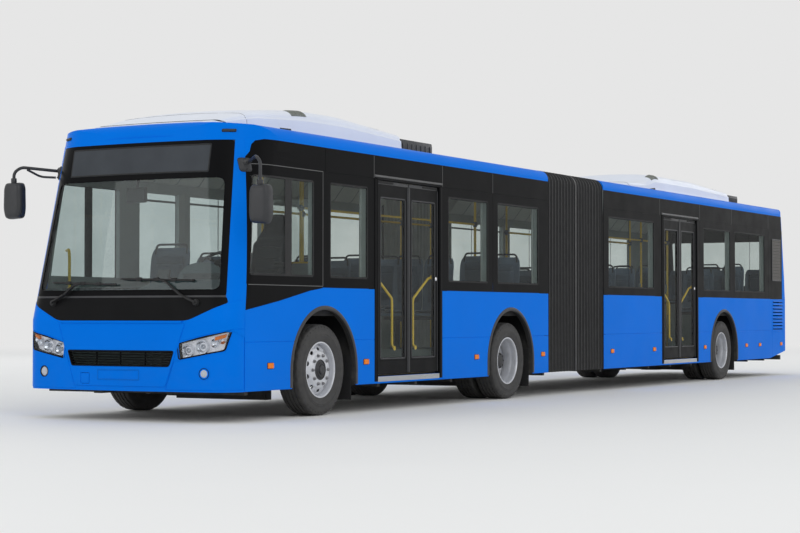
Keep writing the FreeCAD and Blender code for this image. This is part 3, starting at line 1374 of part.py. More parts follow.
# ---- mirrors and wipers ---------------------------------------------------------------------
def beside(side, sizes):
    """Box whose x values count outwards from the body's side."""
    x0, x1, s0, s1, z0, z1 = sizes
    return box(side * (SIDE + x0), side * (SIDE + x1), s0, s1, z0, z1)


def mirror(side):
    """Door mirror on a hooped tube arm clamped to the corner pillar."""
    body = front_volume(0)
    route = [(side * (SIDE + x), at(s), z) for x, s, z in MIRROR_ARM]
    head = beside(side, MIRROR_HEAD)
    head = head.makeFillet(MIRROR_HEAD_ROUND, head.Edges)
    pieces = [beside(side, MIRROR_BRACKET).cut(body)]
    pieces += [rod(p, q, MIRROR_TUBE).cut(body) for p, q in zip(route, route[1:])]
    pieces += [Part.makeSphere(MIRROR_TUBE, vec(*p)) for p in route[1:3]]
    return fuse(pieces + [head])


def mirrors():
    return Part.makeCompound([mirror(1), mirror(-1)])


def wiper(side, reach_x):
    """Parked wiper: spindle, arm and blade lying along the foot of the screen."""
    pivot = side * WIPER_PIVOT_X
    head_z = SCREEN_BOTTOM_Z + WIPER_ARM_RISE
    low_z = SCREEN_BOTTOM_Z + WIPER_BLADE_RISE
    high_z = low_z + WIPER_BLADE_SLOPE
    foot_z = WIPER_PIVOT_Z - WIPER_ARM_LOW
    arm = [
        (pivot - WIPER_ARM_LOW, foot_z), (pivot + WIPER_ARM_LOW, foot_z),
        (reach_x + WIPER_ARM_HIGH, head_z), (reach_x - WIPER_ARM_HIGH, head_z),
    ]
    left_x = reach_x - WIPER_BLADE_HALF
    right_x = reach_x + WIPER_BLADE_HALF
    blade = [
        (left_x, low_z), (right_x, high_z),
        (right_x, high_z + WIPER_BLADE_WIDTH), (left_x, low_z + WIPER_BLADE_WIDTH),
    ]
    skin = front_volume(-WIPER_THICKNESS).cut(front_volume(0))
    start = -WIPER_THICKNESS - PAST
    cap = bar_along(pivot, WIPER_PIVOT_Z, WIPER_CAP_RADIUS, -WIPER_CAP_HEIGHT - PAST, WIPER_CUT)
    return fuse([
        skin.common(front_prism(arm, start, WIPER_CUT)),
        skin.common(front_prism(blade, start, WIPER_CUT)),
        cap.common(front_volume(-WIPER_CAP_HEIGHT).cut(front_volume(0))),
    ])


def wipers():
    return Part.makeCompound([wiper(side, reach_x) for side, reach_x in WIPERS])


# ---- the model ------------------------------------------------------------------------------
def parts():
    model = {
        "front_floor": front_floor(),
        "front_podests": front_podests(),
        "front_left_wall": front_wall(1),
        "front_right_wall": front_wall(-1),
        "front_roof": front_roof(),
        "front_mask": front_mask(),
        "windscreen": windscreen(),
        "destination_display": destination_display(),
        "front_windows": front_windows(),
        "headlamps": headlamps(),
        "dashboard": dashboard(),
        "steering_wheel": steering_wheel(),
        "driver_seat": driver_seat(),
        "driver_partition": driver_partition(),
        "front_seats": seats(front_seat_table()),
        "front_grab_poles": front_grab_poles(),
        "front_roof_unit": roof_unit(FRONT_POD, FRONT_POD_START, FRONT_FAN_BOX_REACH),
        "mirrors": mirrors(),
        "wipers": wipers(),
        "front_axle": front_axle(),
        "middle_axle": rigid_axle(MIDDLE_AXLE, False),
        "turntable_base": turntable_base(),
        "bellows": bellows(),
        "rear_floor": rear_floor(),
        "rear_podests": rear_podests(),
        "rear_left_wall": rear_wall_side(1),
        "rear_right_wall": rear_wall_side(-1),
        "rear_roof": rear_roof(),
        "rear_panel": rear_panel(),
        "rear_windows": rear_windows(),
        "rear_seats": seats(rear_seat_table(), [bench_seat()]),
        "rear_grab_poles": rear_grab_poles(),
        "rear_roof_unit": roof_unit(REAR_POD, PIVOT + REAR_POD_BEHIND_PIVOT, REAR_FAN_BOX_REACH),
        "engine_block": engine_block(),
        "rear_axle": rigid_axle(REAR_AXLE, True),
        "tail_lamps": tail_lamps(),
        "turntable_yoke": turntable_yoke(),
        "engine_door": engine_door(),
    }
    for name, side in (("left", 1), ("right", -1)):
        model[f"steering_knuckle_{name}"] = knuckle(side)
        model[f"front_{name}_tyre"] = tyre(side * WHEEL_X, FRONT_AXLE)
        model[f"front_{name}_rim"] = steer_rim(side)
        for place, axle in (("middle", MIDDLE_AXLE), ("rear", REAR_AXLE)):
            model[f"{place}_{name}_tyres"] = twin_tyres(side, axle)
            model[f"{place}_{name}_rims"] = twin_rims(side, axle)
    for door, start in (("door_1", DOOR_1_START), ("door_2", DOOR_2_START)):
        for leaf, hand in (("front", 1), ("back", -1)):
            model[f"{door}_{leaf}_leaf"] = door_leaf(start, hand)
            model[f"{door}_{leaf}_arm"] = door_arm(start, hand)
    return model


os.makedirs("parts", exist_ok=True)
for node, shape in parts().items():
    shape.exportStep(f"parts/{node}.step")
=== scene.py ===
"""Looks of an articulated city bus, built round its CAD frame.

Metres, front towards -Y, left-hand side towards +X.  A station is measured back from the front tip.
"""

import bmesh
import bpy
import math
from mathutils import Matrix, Vector
from mathutils.bvhtree import BVHTree
from mathutils.geometry import tessellate_polygon


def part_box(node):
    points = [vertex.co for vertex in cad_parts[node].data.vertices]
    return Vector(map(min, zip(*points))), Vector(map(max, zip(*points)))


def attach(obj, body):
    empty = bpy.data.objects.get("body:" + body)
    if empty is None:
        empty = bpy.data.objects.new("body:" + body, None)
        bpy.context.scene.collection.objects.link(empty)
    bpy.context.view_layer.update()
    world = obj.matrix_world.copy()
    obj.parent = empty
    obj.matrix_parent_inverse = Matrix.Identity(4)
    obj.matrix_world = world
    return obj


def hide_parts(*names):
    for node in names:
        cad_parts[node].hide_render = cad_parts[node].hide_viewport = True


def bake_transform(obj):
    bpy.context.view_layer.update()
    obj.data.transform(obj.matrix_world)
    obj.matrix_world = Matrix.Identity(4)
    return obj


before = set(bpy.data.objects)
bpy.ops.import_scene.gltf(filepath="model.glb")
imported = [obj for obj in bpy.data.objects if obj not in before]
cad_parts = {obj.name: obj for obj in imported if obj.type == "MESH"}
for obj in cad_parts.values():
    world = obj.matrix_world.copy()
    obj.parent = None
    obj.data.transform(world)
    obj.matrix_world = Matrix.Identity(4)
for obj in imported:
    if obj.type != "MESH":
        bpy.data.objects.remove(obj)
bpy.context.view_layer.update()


# ---- places taken from the frame -------------------------------------------------------------
def middle(node):
    low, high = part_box(node)
    return (low + high) / 2


FRONT_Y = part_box("front_mask")[0].y
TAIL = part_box("rear_panel")[1].y - FRONT_Y
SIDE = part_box("rear_left_wall")[1].x
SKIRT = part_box("front_left_wall")[0].z
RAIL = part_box("front_left_wall")[1].z
BELLOWS_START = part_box("bellows")[0].y - FRONT_Y
BELLOWS_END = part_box("bellows")[1].y - FRONT_Y
AXLES = {
    "front": middle("front_left_tyre").y - FRONT_Y,
    "middle": middle("middle_left_tyres").y - FRONT_Y,
    "rear": middle("rear_left_tyres").y - FRONT_Y,
}
WHEEL_Z = middle("front_left_tyre").z
BELT = 1.334
SECTIONS = (("front", "front_section"), ("rear", "rear_section"))
SIDES = ((1, "left"), (-1, "right"))


def at(station):
    return FRONT_Y + station


def islands(node):
    """Boxes of the separate solids of a CAD node, in station order."""
    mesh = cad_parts[node].data
    places = {}
    index = [places.setdefault(tuple(round(c, 5) for c in v.co), len(places)) for v in mesh.vertices]
    parent = list(range(len(places)))

    def root(i):
        while parent[i] != i:
            parent[i] = parent[parent[i]]
            i = parent[i]
        return i

    for polygon in mesh.polygons:
        first = root(index[polygon.vertices[0]])
        for v in polygon.vertices[1:]:
            parent[root(index[v])] = first
    groups = {}
    for place, i in places.items():
        groups.setdefault(root(i), []).append(place)
    boxes = []
    for points in groups.values():
        low = Vector([min(p[k] for p in points) for k in range(3)])
        high = Vector([max(p[k] for p in points) for k in range(3)])
        boxes.append((low, high))
    return sorted(boxes, key=lambda b: (round(b[0].y, 4), b[0].x))


# ---- materials -------------------------------------------------------------------------------
def shader_nodes(name):
    material = bpy.data.materials.new(name)
    material.use_nodes = True
    tree = material.node_tree
    tree.nodes.clear()
    output = tree.nodes.new("ShaderNodeOutputMaterial")
    return material, tree, output


def noise(tree, coordinates, scale, detail=3.0, stretch=(1.0, 1.0, 1.0)):
    mapping = tree.nodes.new("ShaderNodeMapping")
    mapping.inputs["Scale"].default_value = stretch
    tree.links.new(coordinates, mapping.inputs["Vector"])
    texture = tree.nodes.new("ShaderNodeTexNoise")
    texture.inputs["Scale"].default_value = scale
    texture.inputs["Detail"].default_value = detail
    tree.links.new(mapping.outputs[0], texture.inputs["Vector"])
    return texture.outputs["Fac"]


def ranged(tree, value, low, high, start=0.3, end=0.7):
    node = tree.nodes.new("ShaderNodeMapRange")
    node.inputs["From Min"].default_value = start
    node.inputs["From Max"].default_value = end
    node.inputs["To Min"].default_value = low
    node.inputs["To Max"].default_value = high
    tree.links.new(value, node.inputs["Value"])
    return node.outputs["Result"]


def blended(tree, factor, first, second):
    node = tree.nodes.new("ShaderNodeMix")
    node.data_type = "RGBA"
    if isinstance(factor, float):
        node.inputs["Factor"].default_value = factor
    else:
        tree.links.new(factor, node.inputs["Factor"])
    for socket, colour in ((node.inputs["A"], first), (node.inputs["B"], second)):
        if isinstance(colour, (tuple, list)):
            socket.default_value = (*colour[:3], 1.0)
        else:
            tree.links.new(colour, socket)
    return node.outputs["Result"]


def arithmetic(tree, operation, first, second):
    """Sum, product and the like of two values; the second may be a plain number."""
    node = tree.nodes.new("ShaderNodeMath")
    node.operation = operation
    tree.links.new(first, node.inputs[0])
    if isinstance(second, float):
        node.inputs[1].default_value = second
    else:
        tree.links.new(second, node.inputs[1])
    return node.outputs[0]


def add_bump(tree, shader, height, strength, distance):
    bump = tree.nodes.new("ShaderNodeBump")
    bump.inputs["Strength"].default_value = strength
    bump.inputs["Distance"].default_value = distance
    tree.links.new(height, bump.inputs["Height"])
    tree.links.new(bump.outputs[0], shader.inputs["Normal"])


def principled(name, **values):
    """New material with its node tree, shader and object coordinates; values go to the shader's inputs."""
    material, tree, output = shader_nodes(name)
    shader = tree.nodes.new("ShaderNodeBsdfPrincipled")
    for key, value in values.items():
        shader.inputs[key.replace("_", " ")].default_value = value
    tree.links.new(shader.outputs[0], output.inputs["Surface"])
    return material, tree, shader, tree.nodes.new("ShaderNodeTexCoord").outputs["Object"]


def mixed(tree, share, first, second):
    """Output of a mix of two shaders."""
    mix = tree.nodes.new("ShaderNodeMixShader")
    for socket, source in zip(mix.inputs, (share, first, second)):
        tree.links.new(source, socket)
    return mix.outputs[0]


def wave_along(tree, place, axis, scale, distortion):
    wave = tree.nodes.new("ShaderNodeTexWave")
    wave.bands_direction = axis
    wave.inputs["Scale"].default_value = scale
    wave.inputs["Distortion"].default_value = distortion
    tree.links.new(place, wave.inputs["Vector"])
    return wave.outputs["Fac"]


def shaded(colour, share):
    return tuple(c * share for c in colour)


def linear(r, g, b):
    """Linear colour of an sRGB one from 0 to 255."""
    shares = []
    for c in (r, g, b):
        c /= 255.0
        shares.append(c / 12.92 if c <= 0.04045 else ((c + 0.055) / 1.055) ** 2.4)
    return tuple(shares)


def finish_of(name, colour, roughness=0.5, metallic=0.0, coat=0.0, vary=0.06, scale=3.0, grain=0.0,
              grain_scale=400.0, stretch=(1.0, 1.0, 1.0), dirt=0.0, spread=0.06, specular=0.5, glow=0.0):
    """Painted, moulded or metal finish: uneven colour, uneven gloss, grain, road dirt low down, and, where
    glow is set, an even painted glow that stands in for light.
    """
    material, tree, shader, place = principled(name, Metallic=metallic, Coat_Weight=coat, Coat_Roughness=0.06,
                                               Specular_IOR_Level=specular)
    cloud = noise(tree, place, scale, stretch=stretch)
    light = tuple(min(1.0, c) for c in shaded(colour, 1.0 + vary))
    tint = blended(tree, ranged(tree, cloud, 0.0, 1.0), shaded(colour, 1.0 - vary), light)
    rough = ranged(tree, noise(tree, place, scale * 2.7, stretch=stretch), max(0.03, roughness - spread),
                   min(1.0, roughness + spread))
    if dirt:
        parts = tree.nodes.new("ShaderNodeSeparateXYZ")
        tree.links.new(place, parts.inputs[0])
        low = ranged(tree, parts.outputs["Z"], dirt, 0.0, 0.28, 0.95)
        patches = ranged(tree, noise(tree, place, 9.0, 5.0, (1.0, 0.5, 1.6)), 0.2, 1.0)
        tint = blended(tree, arithmetic(tree, "MULTIPLY", low, patches), tint, (0.16, 0.15, 0.13))
    tree.links.new(tint, shader.inputs["Base Color"])
    tree.links.new(rough, shader.inputs["Roughness"])
    if grain:
        add_bump(tree, shader, noise(tree, place, grain_scale, 2.0, stretch), grain, 0.002)
    # glow is painted light: an even pale emission that brightens a part as if more light reached it
    if glow:
        shader.inputs["Emission Color"].default_value = (0.8, 0.79, 0.81, 1.0)
        shader.inputs["Emission Strength"].default_value = glow
    return material


def woven(name, colour, second, thread=260.0):
    """Upholstery cloth: two thread directions, flecks, and a soft sheen."""
    material, tree, shader, place = principled(name, Roughness=0.9, Sheen_Weight=0.25)
    weave = arithmetic(tree, "MULTIPLY", *[wave_along(tree, place, axis, thread, 0.6) for axis in ("X", "Z")])
    flecks = ranged(tree, noise(tree, place, 90.0, 4.0), 0.0, 1.0, 0.45, 0.65)
    base = blended(tree, flecks, colour, second)
    tree.links.new(blended(tree, weave, shaded(colour, 0.6), base), shader.inputs["Base Color"])
    add_bump(tree, shader, weave, 0.35, 0.001)
    return material


def clear_glass(name, tint, second=None, gloss=0.03):
    """Flat glass: a tinted see-through sheet with a mirror-like film that grows at low angles."""
    material, tree, output = shader_nodes(name)
    place = tree.nodes.new("ShaderNodeTexCoord").outputs["Object"]
    haze = ranged(tree, noise(tree, place, 1.3, 4.0, (1.0, 1.0, 1.8)), 0.0, 1.0)
    through = tree.nodes.new("ShaderNodeBsdfTransparent")
    tree.links.new(blended(tree, haze, tint, second or shaded(tint, 0.94)), through.inputs["Color"])
    film = tree.nodes.new("ShaderNodeBsdfGlossy")
    film.inputs["Roughness"].default_value = 0.02
    facing = tree.nodes.new("ShaderNodeLayerWeight")
    facing.inputs["Blend"].default_value = 0.5
    share = ranged(tree, arithmetic(tree, "POWER", facing.outputs["Facing"], 5.0), gloss, 1.0)
    tree.links.new(mixed(tree, share, through.outputs[0], film.outputs[0]), output.inputs["Surface"])
    return material


def lens(name, colour, glow=0.0, ribs=0.0):
    """Coloured moulded lens with optic ribs under a glossy face."""
    material, tree, shader, place = principled(
        name, Coat_Weight=0.12, Specular_IOR_Level=0.12, Coat_Roughness=0.04, Emission_Color=(*colour, 1.0),
        Emission_Strength=glow)
    wave = wave_along(tree, place, "Z", 60.0, 0.2)
    tree.links.new(blended(tree, wave, shaded(colour, 0.55), colour), shader.inputs["Base Color"])
    tree.links.new(ranged(tree, noise(tree, place, 14.0), 0.15, 0.3), shader.inputs["Roughness"])
    add_bump(tree, shader, wave, ribs, 0.002)
    return material


BLUE = linear(0, 114, 223)
MATERIALS = {
    "blue": finish_of("body_blue_paint", BLUE, 0.36, specular=0.02, vary=0.03, scale=0.8, grain=0.03,
                      grain_scale=90.0, dirt=0.03),
    # A darker copy of the body's blue for the front: painted shade.
    "mask_blue": finish_of("front_blue_painted_shade", linear(0, 105, 203), 0.34, coat=0.01, specular=0.03, vary=0.03,
                           scale=0.8, grain=0.03, grain_scale=90.0, dirt=0.04),
    "band": finish_of("black_band", linear(19, 19, 20), 0.36, specular=0.03, vary=0.08, scale=1.2, grain=0.02,
                      grain_scale=60.0),
    "satin_black": finish_of("satin_black_panel", linear(19, 19, 20), 0.42, specular=0.06, vary=0.12,
                             scale=2.0, grain=0.05, grain_scale=200.0),
    "rubber": finish_of("seal_rubber", linear(24, 24, 25), 0.7, vary=0.15, scale=12.0, grain=0.25,
                        grain_scale=260.0),
    "arch": finish_of("arch_rubber", linear(46, 46, 48), 0.5, vary=0.12, scale=6.0, grain=0.2,
                      grain_scale=240.0, dirt=0.2),
    "under": finish_of("underbody_black", linear(22, 22, 23), 0.8, vary=0.25, scale=4.0, grain=0.4,
                       grain_scale=60.0, dirt=0.35),
    "tyre": finish_of("tyre_rubber", linear(51, 50, 50), 0.72, vary=0.14, scale=7.0, grain=0.3,
                      grain_scale=180.0, dirt=0.12),
    "rim": finish_of("rim_silver", linear(204, 205, 209), 0.36, metallic=0.4, vary=0.07, scale=9.0,
                     grain=0.08, grain_scale=300.0, spread=0.08),
    "disc": finish_of("disc_grey", linear(186, 187, 191), 0.42, metallic=0.3, vary=0.1, scale=9.0, grain=0.1,
                      grain_scale=300.0, dirt=0.15),
    "nut": finish_of("zinc_nut", linear(150, 150, 152), 0.35, metallic=0.9, vary=0.15, scale=40.0, grain=0.1),
    "hub": finish_of("hub_black", linear(40, 40, 42), 0.45, vary=0.15, scale=20.0, grain=0.2,
                     grain_scale=150.0),
    "pod": finish_of("pod_white", linear(226, 229, 238), 0.38, coat=0.2, vary=0.03, scale=1.5, grain=0.05,
                     grain_scale=120.0),
    "mesh_grey": finish_of("vent_grey", linear(132, 134, 126), 0.6, vary=0.25, scale=60.0, grain=0.5,
                           grain_scale=500.0),
    "steel": finish_of("brushed_steel", linear(188, 190, 192), 0.33, metallic=0.9, vary=0.08, scale=8.0,
                       grain=0.12, grain_scale=500.0, stretch=(1.0, 0.06, 1.0)),
    "steel_dark": finish_of("weathered_steel", linear(98, 98, 98), 0.42, metallic=0.6, vary=0.1, scale=8.0,
                            grain=0.12, grain_scale=200.0),
    "pillar": finish_of("pillar_cover", linear(150, 156, 152), 0.55, vary=0.05, scale=3.0, grain=0.08,
                        grain_scale=300.0),
    "yellow": finish_of("pole_yellow", linear(250, 202, 52), 0.35, coat=0.2, vary=0.06, scale=6.0,
                        grain=0.04),
    "trim": finish_of("wall_trim", linear(140, 148, 145), 0.6, vary=0.06, scale=4.0, grain=0.12,
                      grain_scale=320.0),
    "ceiling": finish_of("ceiling_panel", linear(198, 200, 192), 0.6, vary=0.06, scale=2.5, grain=0.1,
                         grain_scale=220.0, stretch=(1.0, 0.3, 1.0)),
    "vinyl": finish_of("floor_vinyl", linear(92, 98, 100), 0.5, vary=0.22, scale=240.0, grain=0.15,
                       grain_scale=500.0),
    "shell": finish_of("seat_shell", linear(96, 112, 130), 0.5, vary=0.1, scale=8.0, grain=0.2,
                       grain_scale=380.0),
    "handle": finish_of("handle_black", linear(34, 36, 39), 0.45, vary=0.1, scale=10.0, grain=0.15,
                        grain_scale=300.0),
    "dash": finish_of("dash_plastic", linear(88, 96, 98), 0.6, vary=0.08, scale=5.0, grain=0.3,
                      grain_scale=420.0),
    "housing": finish_of("mirror_plastic", linear(40, 41, 44), 0.42, vary=0.08, scale=8.0, grain=0.25,
                         grain_scale=420.0),
    "bellows": finish_of("bellows_fabric", linear(29, 29, 30), 0.62, vary=0.16, scale=5.0, grain=0.35,
                         grain_scale=520.0, dirt=0.12),
    "lining": finish_of("bellows_lining", linear(208, 209, 205), 0.75, vary=0.1, scale=5.0, grain=0.3,
                        grain_scale=420.0),
    "louvre": finish_of("louvre_bronze", linear(66, 62, 57), 0.55, vary=0.15, scale=20.0, grain=0.2,
                        grain_scale=300.0),
    "seam": finish_of("seam_grey", linear(98, 98, 97), 0.6, vary=0.08, scale=10.0),
    "bellows_edge": finish_of("bellows_piping", linear(30, 30, 31), 0.5, vary=0.1, scale=8.0, grain=0.2),
    "iron": finish_of("turntable_iron", linear(62, 62, 62), 0.6, metallic=0.3, vary=0.2, scale=12.0,
                      grain=0.35, grain_scale=90.0),
    "engine": finish_of("engine_cast", linear(120, 120, 116), 0.6, metallic=0.5, vary=0.2, scale=10.0,
                        grain=0.4, grain_scale=120.0),
    # The headlamp bed glows a little: painted light that brightens its shaded recess behind the lamp glass.
    "lamp_bed": finish_of("lamp_bed", linear(226, 222, 224), 0.3, metallic=0.1, vary=0.12, scale=30.0,
                          glow=0.3),
    "chrome": finish_of("lamp_chrome", linear(225, 226, 230), 0.12, metallic=1.0, vary=0.05, scale=30.0,
                        spread=0.05),
    "mirror": finish_of("mirror_silver", linear(205, 210, 212), 0.05, metallic=1.0, vary=0.03, scale=2.0,
                        spread=0.02),
    "display": finish_of("display_face", linear(68, 71, 75), 0.4, specular=0.05, vary=0.1, scale=3.0,
                         grain=0.05, grain_scale=80.0),
    "white_light": finish_of("light_strip", linear(235, 238, 235), 0.4, vary=0.03, scale=4.0),
    "pad": woven("seat_cloth", linear(84, 100, 118), linear(118, 132, 150)),
    "driver_cloth": woven("driver_cloth", linear(50, 54, 57), linear(66, 72, 76), 200.0),
    "side_glass": clear_glass("tinted_glass", linear(238, 241, 240), linear(232, 236, 235)),
    "screen_glass": clear_glass("screen_glass", linear(230, 236, 236), linear(224, 231, 231)),
    "lamp_glass": clear_glass("lamp_glass", linear(246, 248, 250), gloss=0.04),
    "amber": lens("amber_lens", linear(255, 132, 0), 0.1, 0.4),
    "red": lens("red_lens", linear(190, 18, 22), 0.1, 0.4),
    "clear_lens": lens("clear_lens", linear(214, 216, 222), 0.0, 0.5),
}


# ---- skin of the body ------------------------------------------------------------------------
NOSE = dict(face=7.5, low=0.25, high=0.64, knee=1.0, lean=0.36)
TAIL_END = dict(face=9.0, low=0.2, high=0.3, knee=1.334, lean=0.2)
CAP = 3.05


def end_shape(end, z):
    """Corner radius, its centre, the angle where it leaves the face, and the lean, at height z."""
    rise = max(0.0, z - end["knee"]) / (CAP - end["knee"])
    corner = end["low"] + (end["high"] - end["low"]) * rise
    centre_x = SIDE - corner
    reach = math.sqrt((end["face"] - corner) ** 2 - centre_x ** 2)
    return corner, centre_x, end["face"] - reach, math.atan2(centre_x, reach), end["lean"] * rise


def end_point(end, u, z):
    """(x, depth) of the skin at a distance u round the end from its middle line."""
    corner, centre_x, centre_s, tangent, lean = end_shape(end, z)
    sign = -1.0 if u < 0 else 1.0
    run = abs(u)
    on_face = end["face"] * tangent
    on_corner = corner * (math.pi / 2 - tangent)
    if run <= on_face:
        angle = run / end["face"]
        x, depth = end["face"] * math.sin(angle), end["face"] * (1 - math.cos(angle))
    elif run <= on_face + on_corner:
        angle = tangent + (run - on_face) / corner
        x, depth = centre_x + corner * math.sin(angle), centre_s - corner * math.cos(angle)
    else:
        x, depth = SIDE, centre_s + run - on_face - on_corner
    return sign * x, depth + lean


def run_to_x(end, x, z):
    """Distance round the end to where the skin reaches x."""
    corner, centre_x, _, tangent, _ = end_shape(end, z)
    sign = -1.0 if x < 0 else 1.0
    edge = end["face"] * math.sin(tangent)
    if abs(x) <= edge:
        return sign * end["face"] * math.asin(abs(x) / end["face"])
    angle = math.asin(min(1.0, (abs(x) - centre_x) / corner))
    return sign * (end["face"] * tangent + corner * (angle - tangent))


def run_to_depth(end, depth, z, sign):
    """Distance round the end to where the corner or side reaches a depth behind the tip."""
    corner, _, centre_s, tangent, lean = end_shape(end, z)
    inner = depth - lean
    on_face = end["face"] * tangent
    if inner >= centre_s:
        return sign * (on_face + corner * (math.pi / 2 - tangent) + inner - centre_s)
    angle = math.acos(max(-1.0, min(1.0, (centre_s - inner) / corner)))
    return sign * (on_face + corner * (angle - tangent))


def skin_tree(nodes):
    """Search tree of the outside of some CAD nodes."""
    points, triangles = [], []
    for node in nodes:
        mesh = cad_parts[node].data
        base = len(points)
        points += [v.co.copy() for v in mesh.vertices]
        triangles += [[base + v for v in p.vertices] for p in mesh.polygons]
    return BVHTree.FromPolygons(points, triangles)


FRONT_SKIN = skin_tree(["front_mask", "front_left_wall", "front_right_wall", "front_roof"])
SCREEN_SKIN = skin_tree(["windscreen", "destination_display"])
REAR_SKIN = skin_tree(["rear_panel", "rear_left_wall", "rear_right_wall"])
PANE_RECESS = 0.003
SKIN_REACH = 0.03
SKIN_SHIFT = 0.012
PROBE = 0.002


def settled(place, normal, tree, recess=0.0):
    """Place moved along the normal onto the CAD skin, where that is close by."""
    found = tree.find_nearest(place, SKIN_REACH)
    if found[0] is None:
        return place
    shift = (found[0] - place).dot(normal) + recess
    return place + normal * shift if abs(shift) < SKIN_SHIFT else place


def screen_half(z):
    return 1.165 - 0.105 * (z - 1.24) / 1.545


def wrap_front(u, z, height):
    """Point at a height above the skin of the nose, found on the CAD body."""
    x, depth = end_point(NOSE, u, z)
    x_before, depth_before = end_point(NOSE, u - PROBE, z)
    x_after, depth_after = end_point(NOSE, u + PROBE, z)
    x_up, depth_up = end_point(NOSE, u, z + PROBE)
    across = Vector((x_after - x_before, depth_after - depth_before, 0))
    up = Vector((x_up - x, depth_up - depth, PROBE))
    normal = across.cross(up).normalized()
    place = Vector((x, at(depth), z))
    if abs(x) < screen_half(z) - 0.002 and 1.242 < z < 2.783:
        return settled(place, normal, SCREEN_SKIN, PANE_RECESS) + normal * height
    return settled(place, normal, FRONT_SKIN) + normal * height


def flat_side(side):
    def place(station, z, height):
        return Vector((side * (SIDE + height), at(station), z))
    return place


def wrap_side(side):
    """Side of the front section, round its front corner, by station and height."""
    flat = flat_side(side)

    def place(station, z, height):
        run = run_to_depth(NOSE, station, z, side)
        if abs(end_point(NOSE, run, z)[0]) > SIDE - 1e-6:
            return flat(station, z, height)
        return wrap_front(run, z, height)
    return place


def wrap_tail(u, z, height):
    """Point at a height above the tail's skin."""
    x, depth = end_point(TAIL_END, u, z)
    x_before, depth_before = end_point(TAIL_END, u - PROBE, z)
    x_after, depth_after = end_point(TAIL_END, u + PROBE, z)
    along = Vector((x_after - x_before, depth_before - depth_after, 0)).normalized()
    normal = Vector((-along.y, along.x, 0))
    if abs(x) >= SIDE - 0.001:
        normal = Vector((1 if x > 0 else -1, 0, 0))
    elif normal.y < 0:
        normal = -normal
    return settled(Vector((x, at(TAIL - depth), z)), normal, REAR_SKIN) + normal * height


# ---- mesh building ---------------------------------------------------------------------------
def finish_mesh(mesh, angle):
    mesh.polygons.foreach_set("use_smooth", [True] * len(mesh.polygons))
    mesh.set_sharp_from_angle(angle=math.radians(angle))
    mesh.update()


def linked(name, data):
    obj = bpy.data.objects.new(name, data)
    bpy.context.scene.collection.objects.link(obj)
    return obj


def baked(name, bm, angle=32.0):
    """Mesh of a finished bmesh, its faces turned outwards and smooth up to an angle."""
    bmesh.ops.recalc_face_normals(bm, faces=bm.faces)
    mesh = bpy.data.meshes.new(name)
    bm.to_mesh(mesh)
    bm.free()
    finish_mesh(mesh, angle)
    return mesh


def piece(name, bm, finish, body, replaces=()):
    """A visible piece that rides on a body; finish may be one name or a list of them."""
    obj = linked(name, baked(name, bm))
    for one in (finish if isinstance(finish, list) else [finish]):
        obj.data.materials.append(MATERIALS[one])
    if body:
        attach(obj, body)
    if replaces:
        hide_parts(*replaces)
    return obj


def plate_piece(name, finish, body, slot, lay, *plate):
    """A piece that is one plate, laid by a function such as nose_plate."""
    bm = bmesh.new()
    lay(bm, *plate)
    return piece(name, bm, finish, body)


def bridge(bm, rings, closed=True, flip=False):
    """Faces between neighbouring rings of points, or between open rows of them."""
    made = []
    for here, after in zip(rings, rings[1:]):
        for k in range(len(here) if closed else len(here) - 1):
            n = (k + 1) % len(here)
            corners = (here[k], here[n], after[n], after[k])
            made.append(bm.faces.new(corners[::-1] if flip else corners))
    return made


def close_ends(bm, rings):
    """Faces that close the two ends of a stack of rings."""
    for ring in (rings[0], rings[-1]):
        bm.faces.new(ring)


def inset_loop(points, distance):
    """Closed outline moved inwards by a distance; a negative one moves it outwards."""
    count = len(points)
    area = sum(points[i - 1][0] * points[i][1] - points[i][0] * points[i - 1][1] for i in range(count))
    turn = 1.0 if area > 0 else -1.0
    moved = []
    for i in range(count):
        before, here, after = Vector(points[i - 1]), Vector(points[i]), Vector(points[(i + 1) % count])
        d1, d2 = (here - before).normalized(), (after - here).normalized()
        n1, n2 = Vector((-d1.y, d1.x)) * turn, Vector((-d2.y, d2.x)) * turn
        bisector = (n1 + n2).normalized()
        reach = distance / max(0.35, bisector.dot(n1))
        moved.append(tuple(here + bisector * reach))
    return moved


def bent_corner(before, here, after, reach, steps):
    """Points of a curve that starts and ends a reach away from a corner."""
    start, end = here + before.normalized() * reach, here + after.normalized() * reach
    shares = [k / steps for k in range(steps + 1)]
    return [start * (1 - t) ** 2 + here * 2 * t * (1 - t) + end * t ** 2 for t in shares]


def rounded(points, radius, steps=4):
    """Closed outline with its corners rounded; radius may be one value or one for each corner."""
    count = len(points)
    radii = radius if isinstance(radius, (list, tuple)) else [radius] * count
    result = []
    for i in range(count):
        here = Vector(points[i])
        before, after = Vector(points[i - 1]) - here, Vector(points[(i + 1) % count]) - here
        limit = min(radii[i], before.length * 0.45, after.length * 0.45)
        corner = bent_corner(before, here, after, limit, steps) if limit >= 1e-4 else [here]
        result += [tuple(p) for p in corner]
    return result


def rectangle(u0, u1, v0, v1):
    return [(u0, v0), (u1, v0), (u1, v1), (u0, v1)]


def trapezoid(half_first, v_first, half_second, v_second):
    """Outline symmetrical about u = 0, given by its half widths at two heights."""
    return [(-half_first, v_first), (half_first, v_first), (half_second, v_second), (-half_second, v_second)]


def circle(u, v, radius, steps):
    angles = [math.tau * i / steps for i in range(steps)]
    return [(u + radius * math.cos(a), v + radius * math.sin(a)) for a in angles]


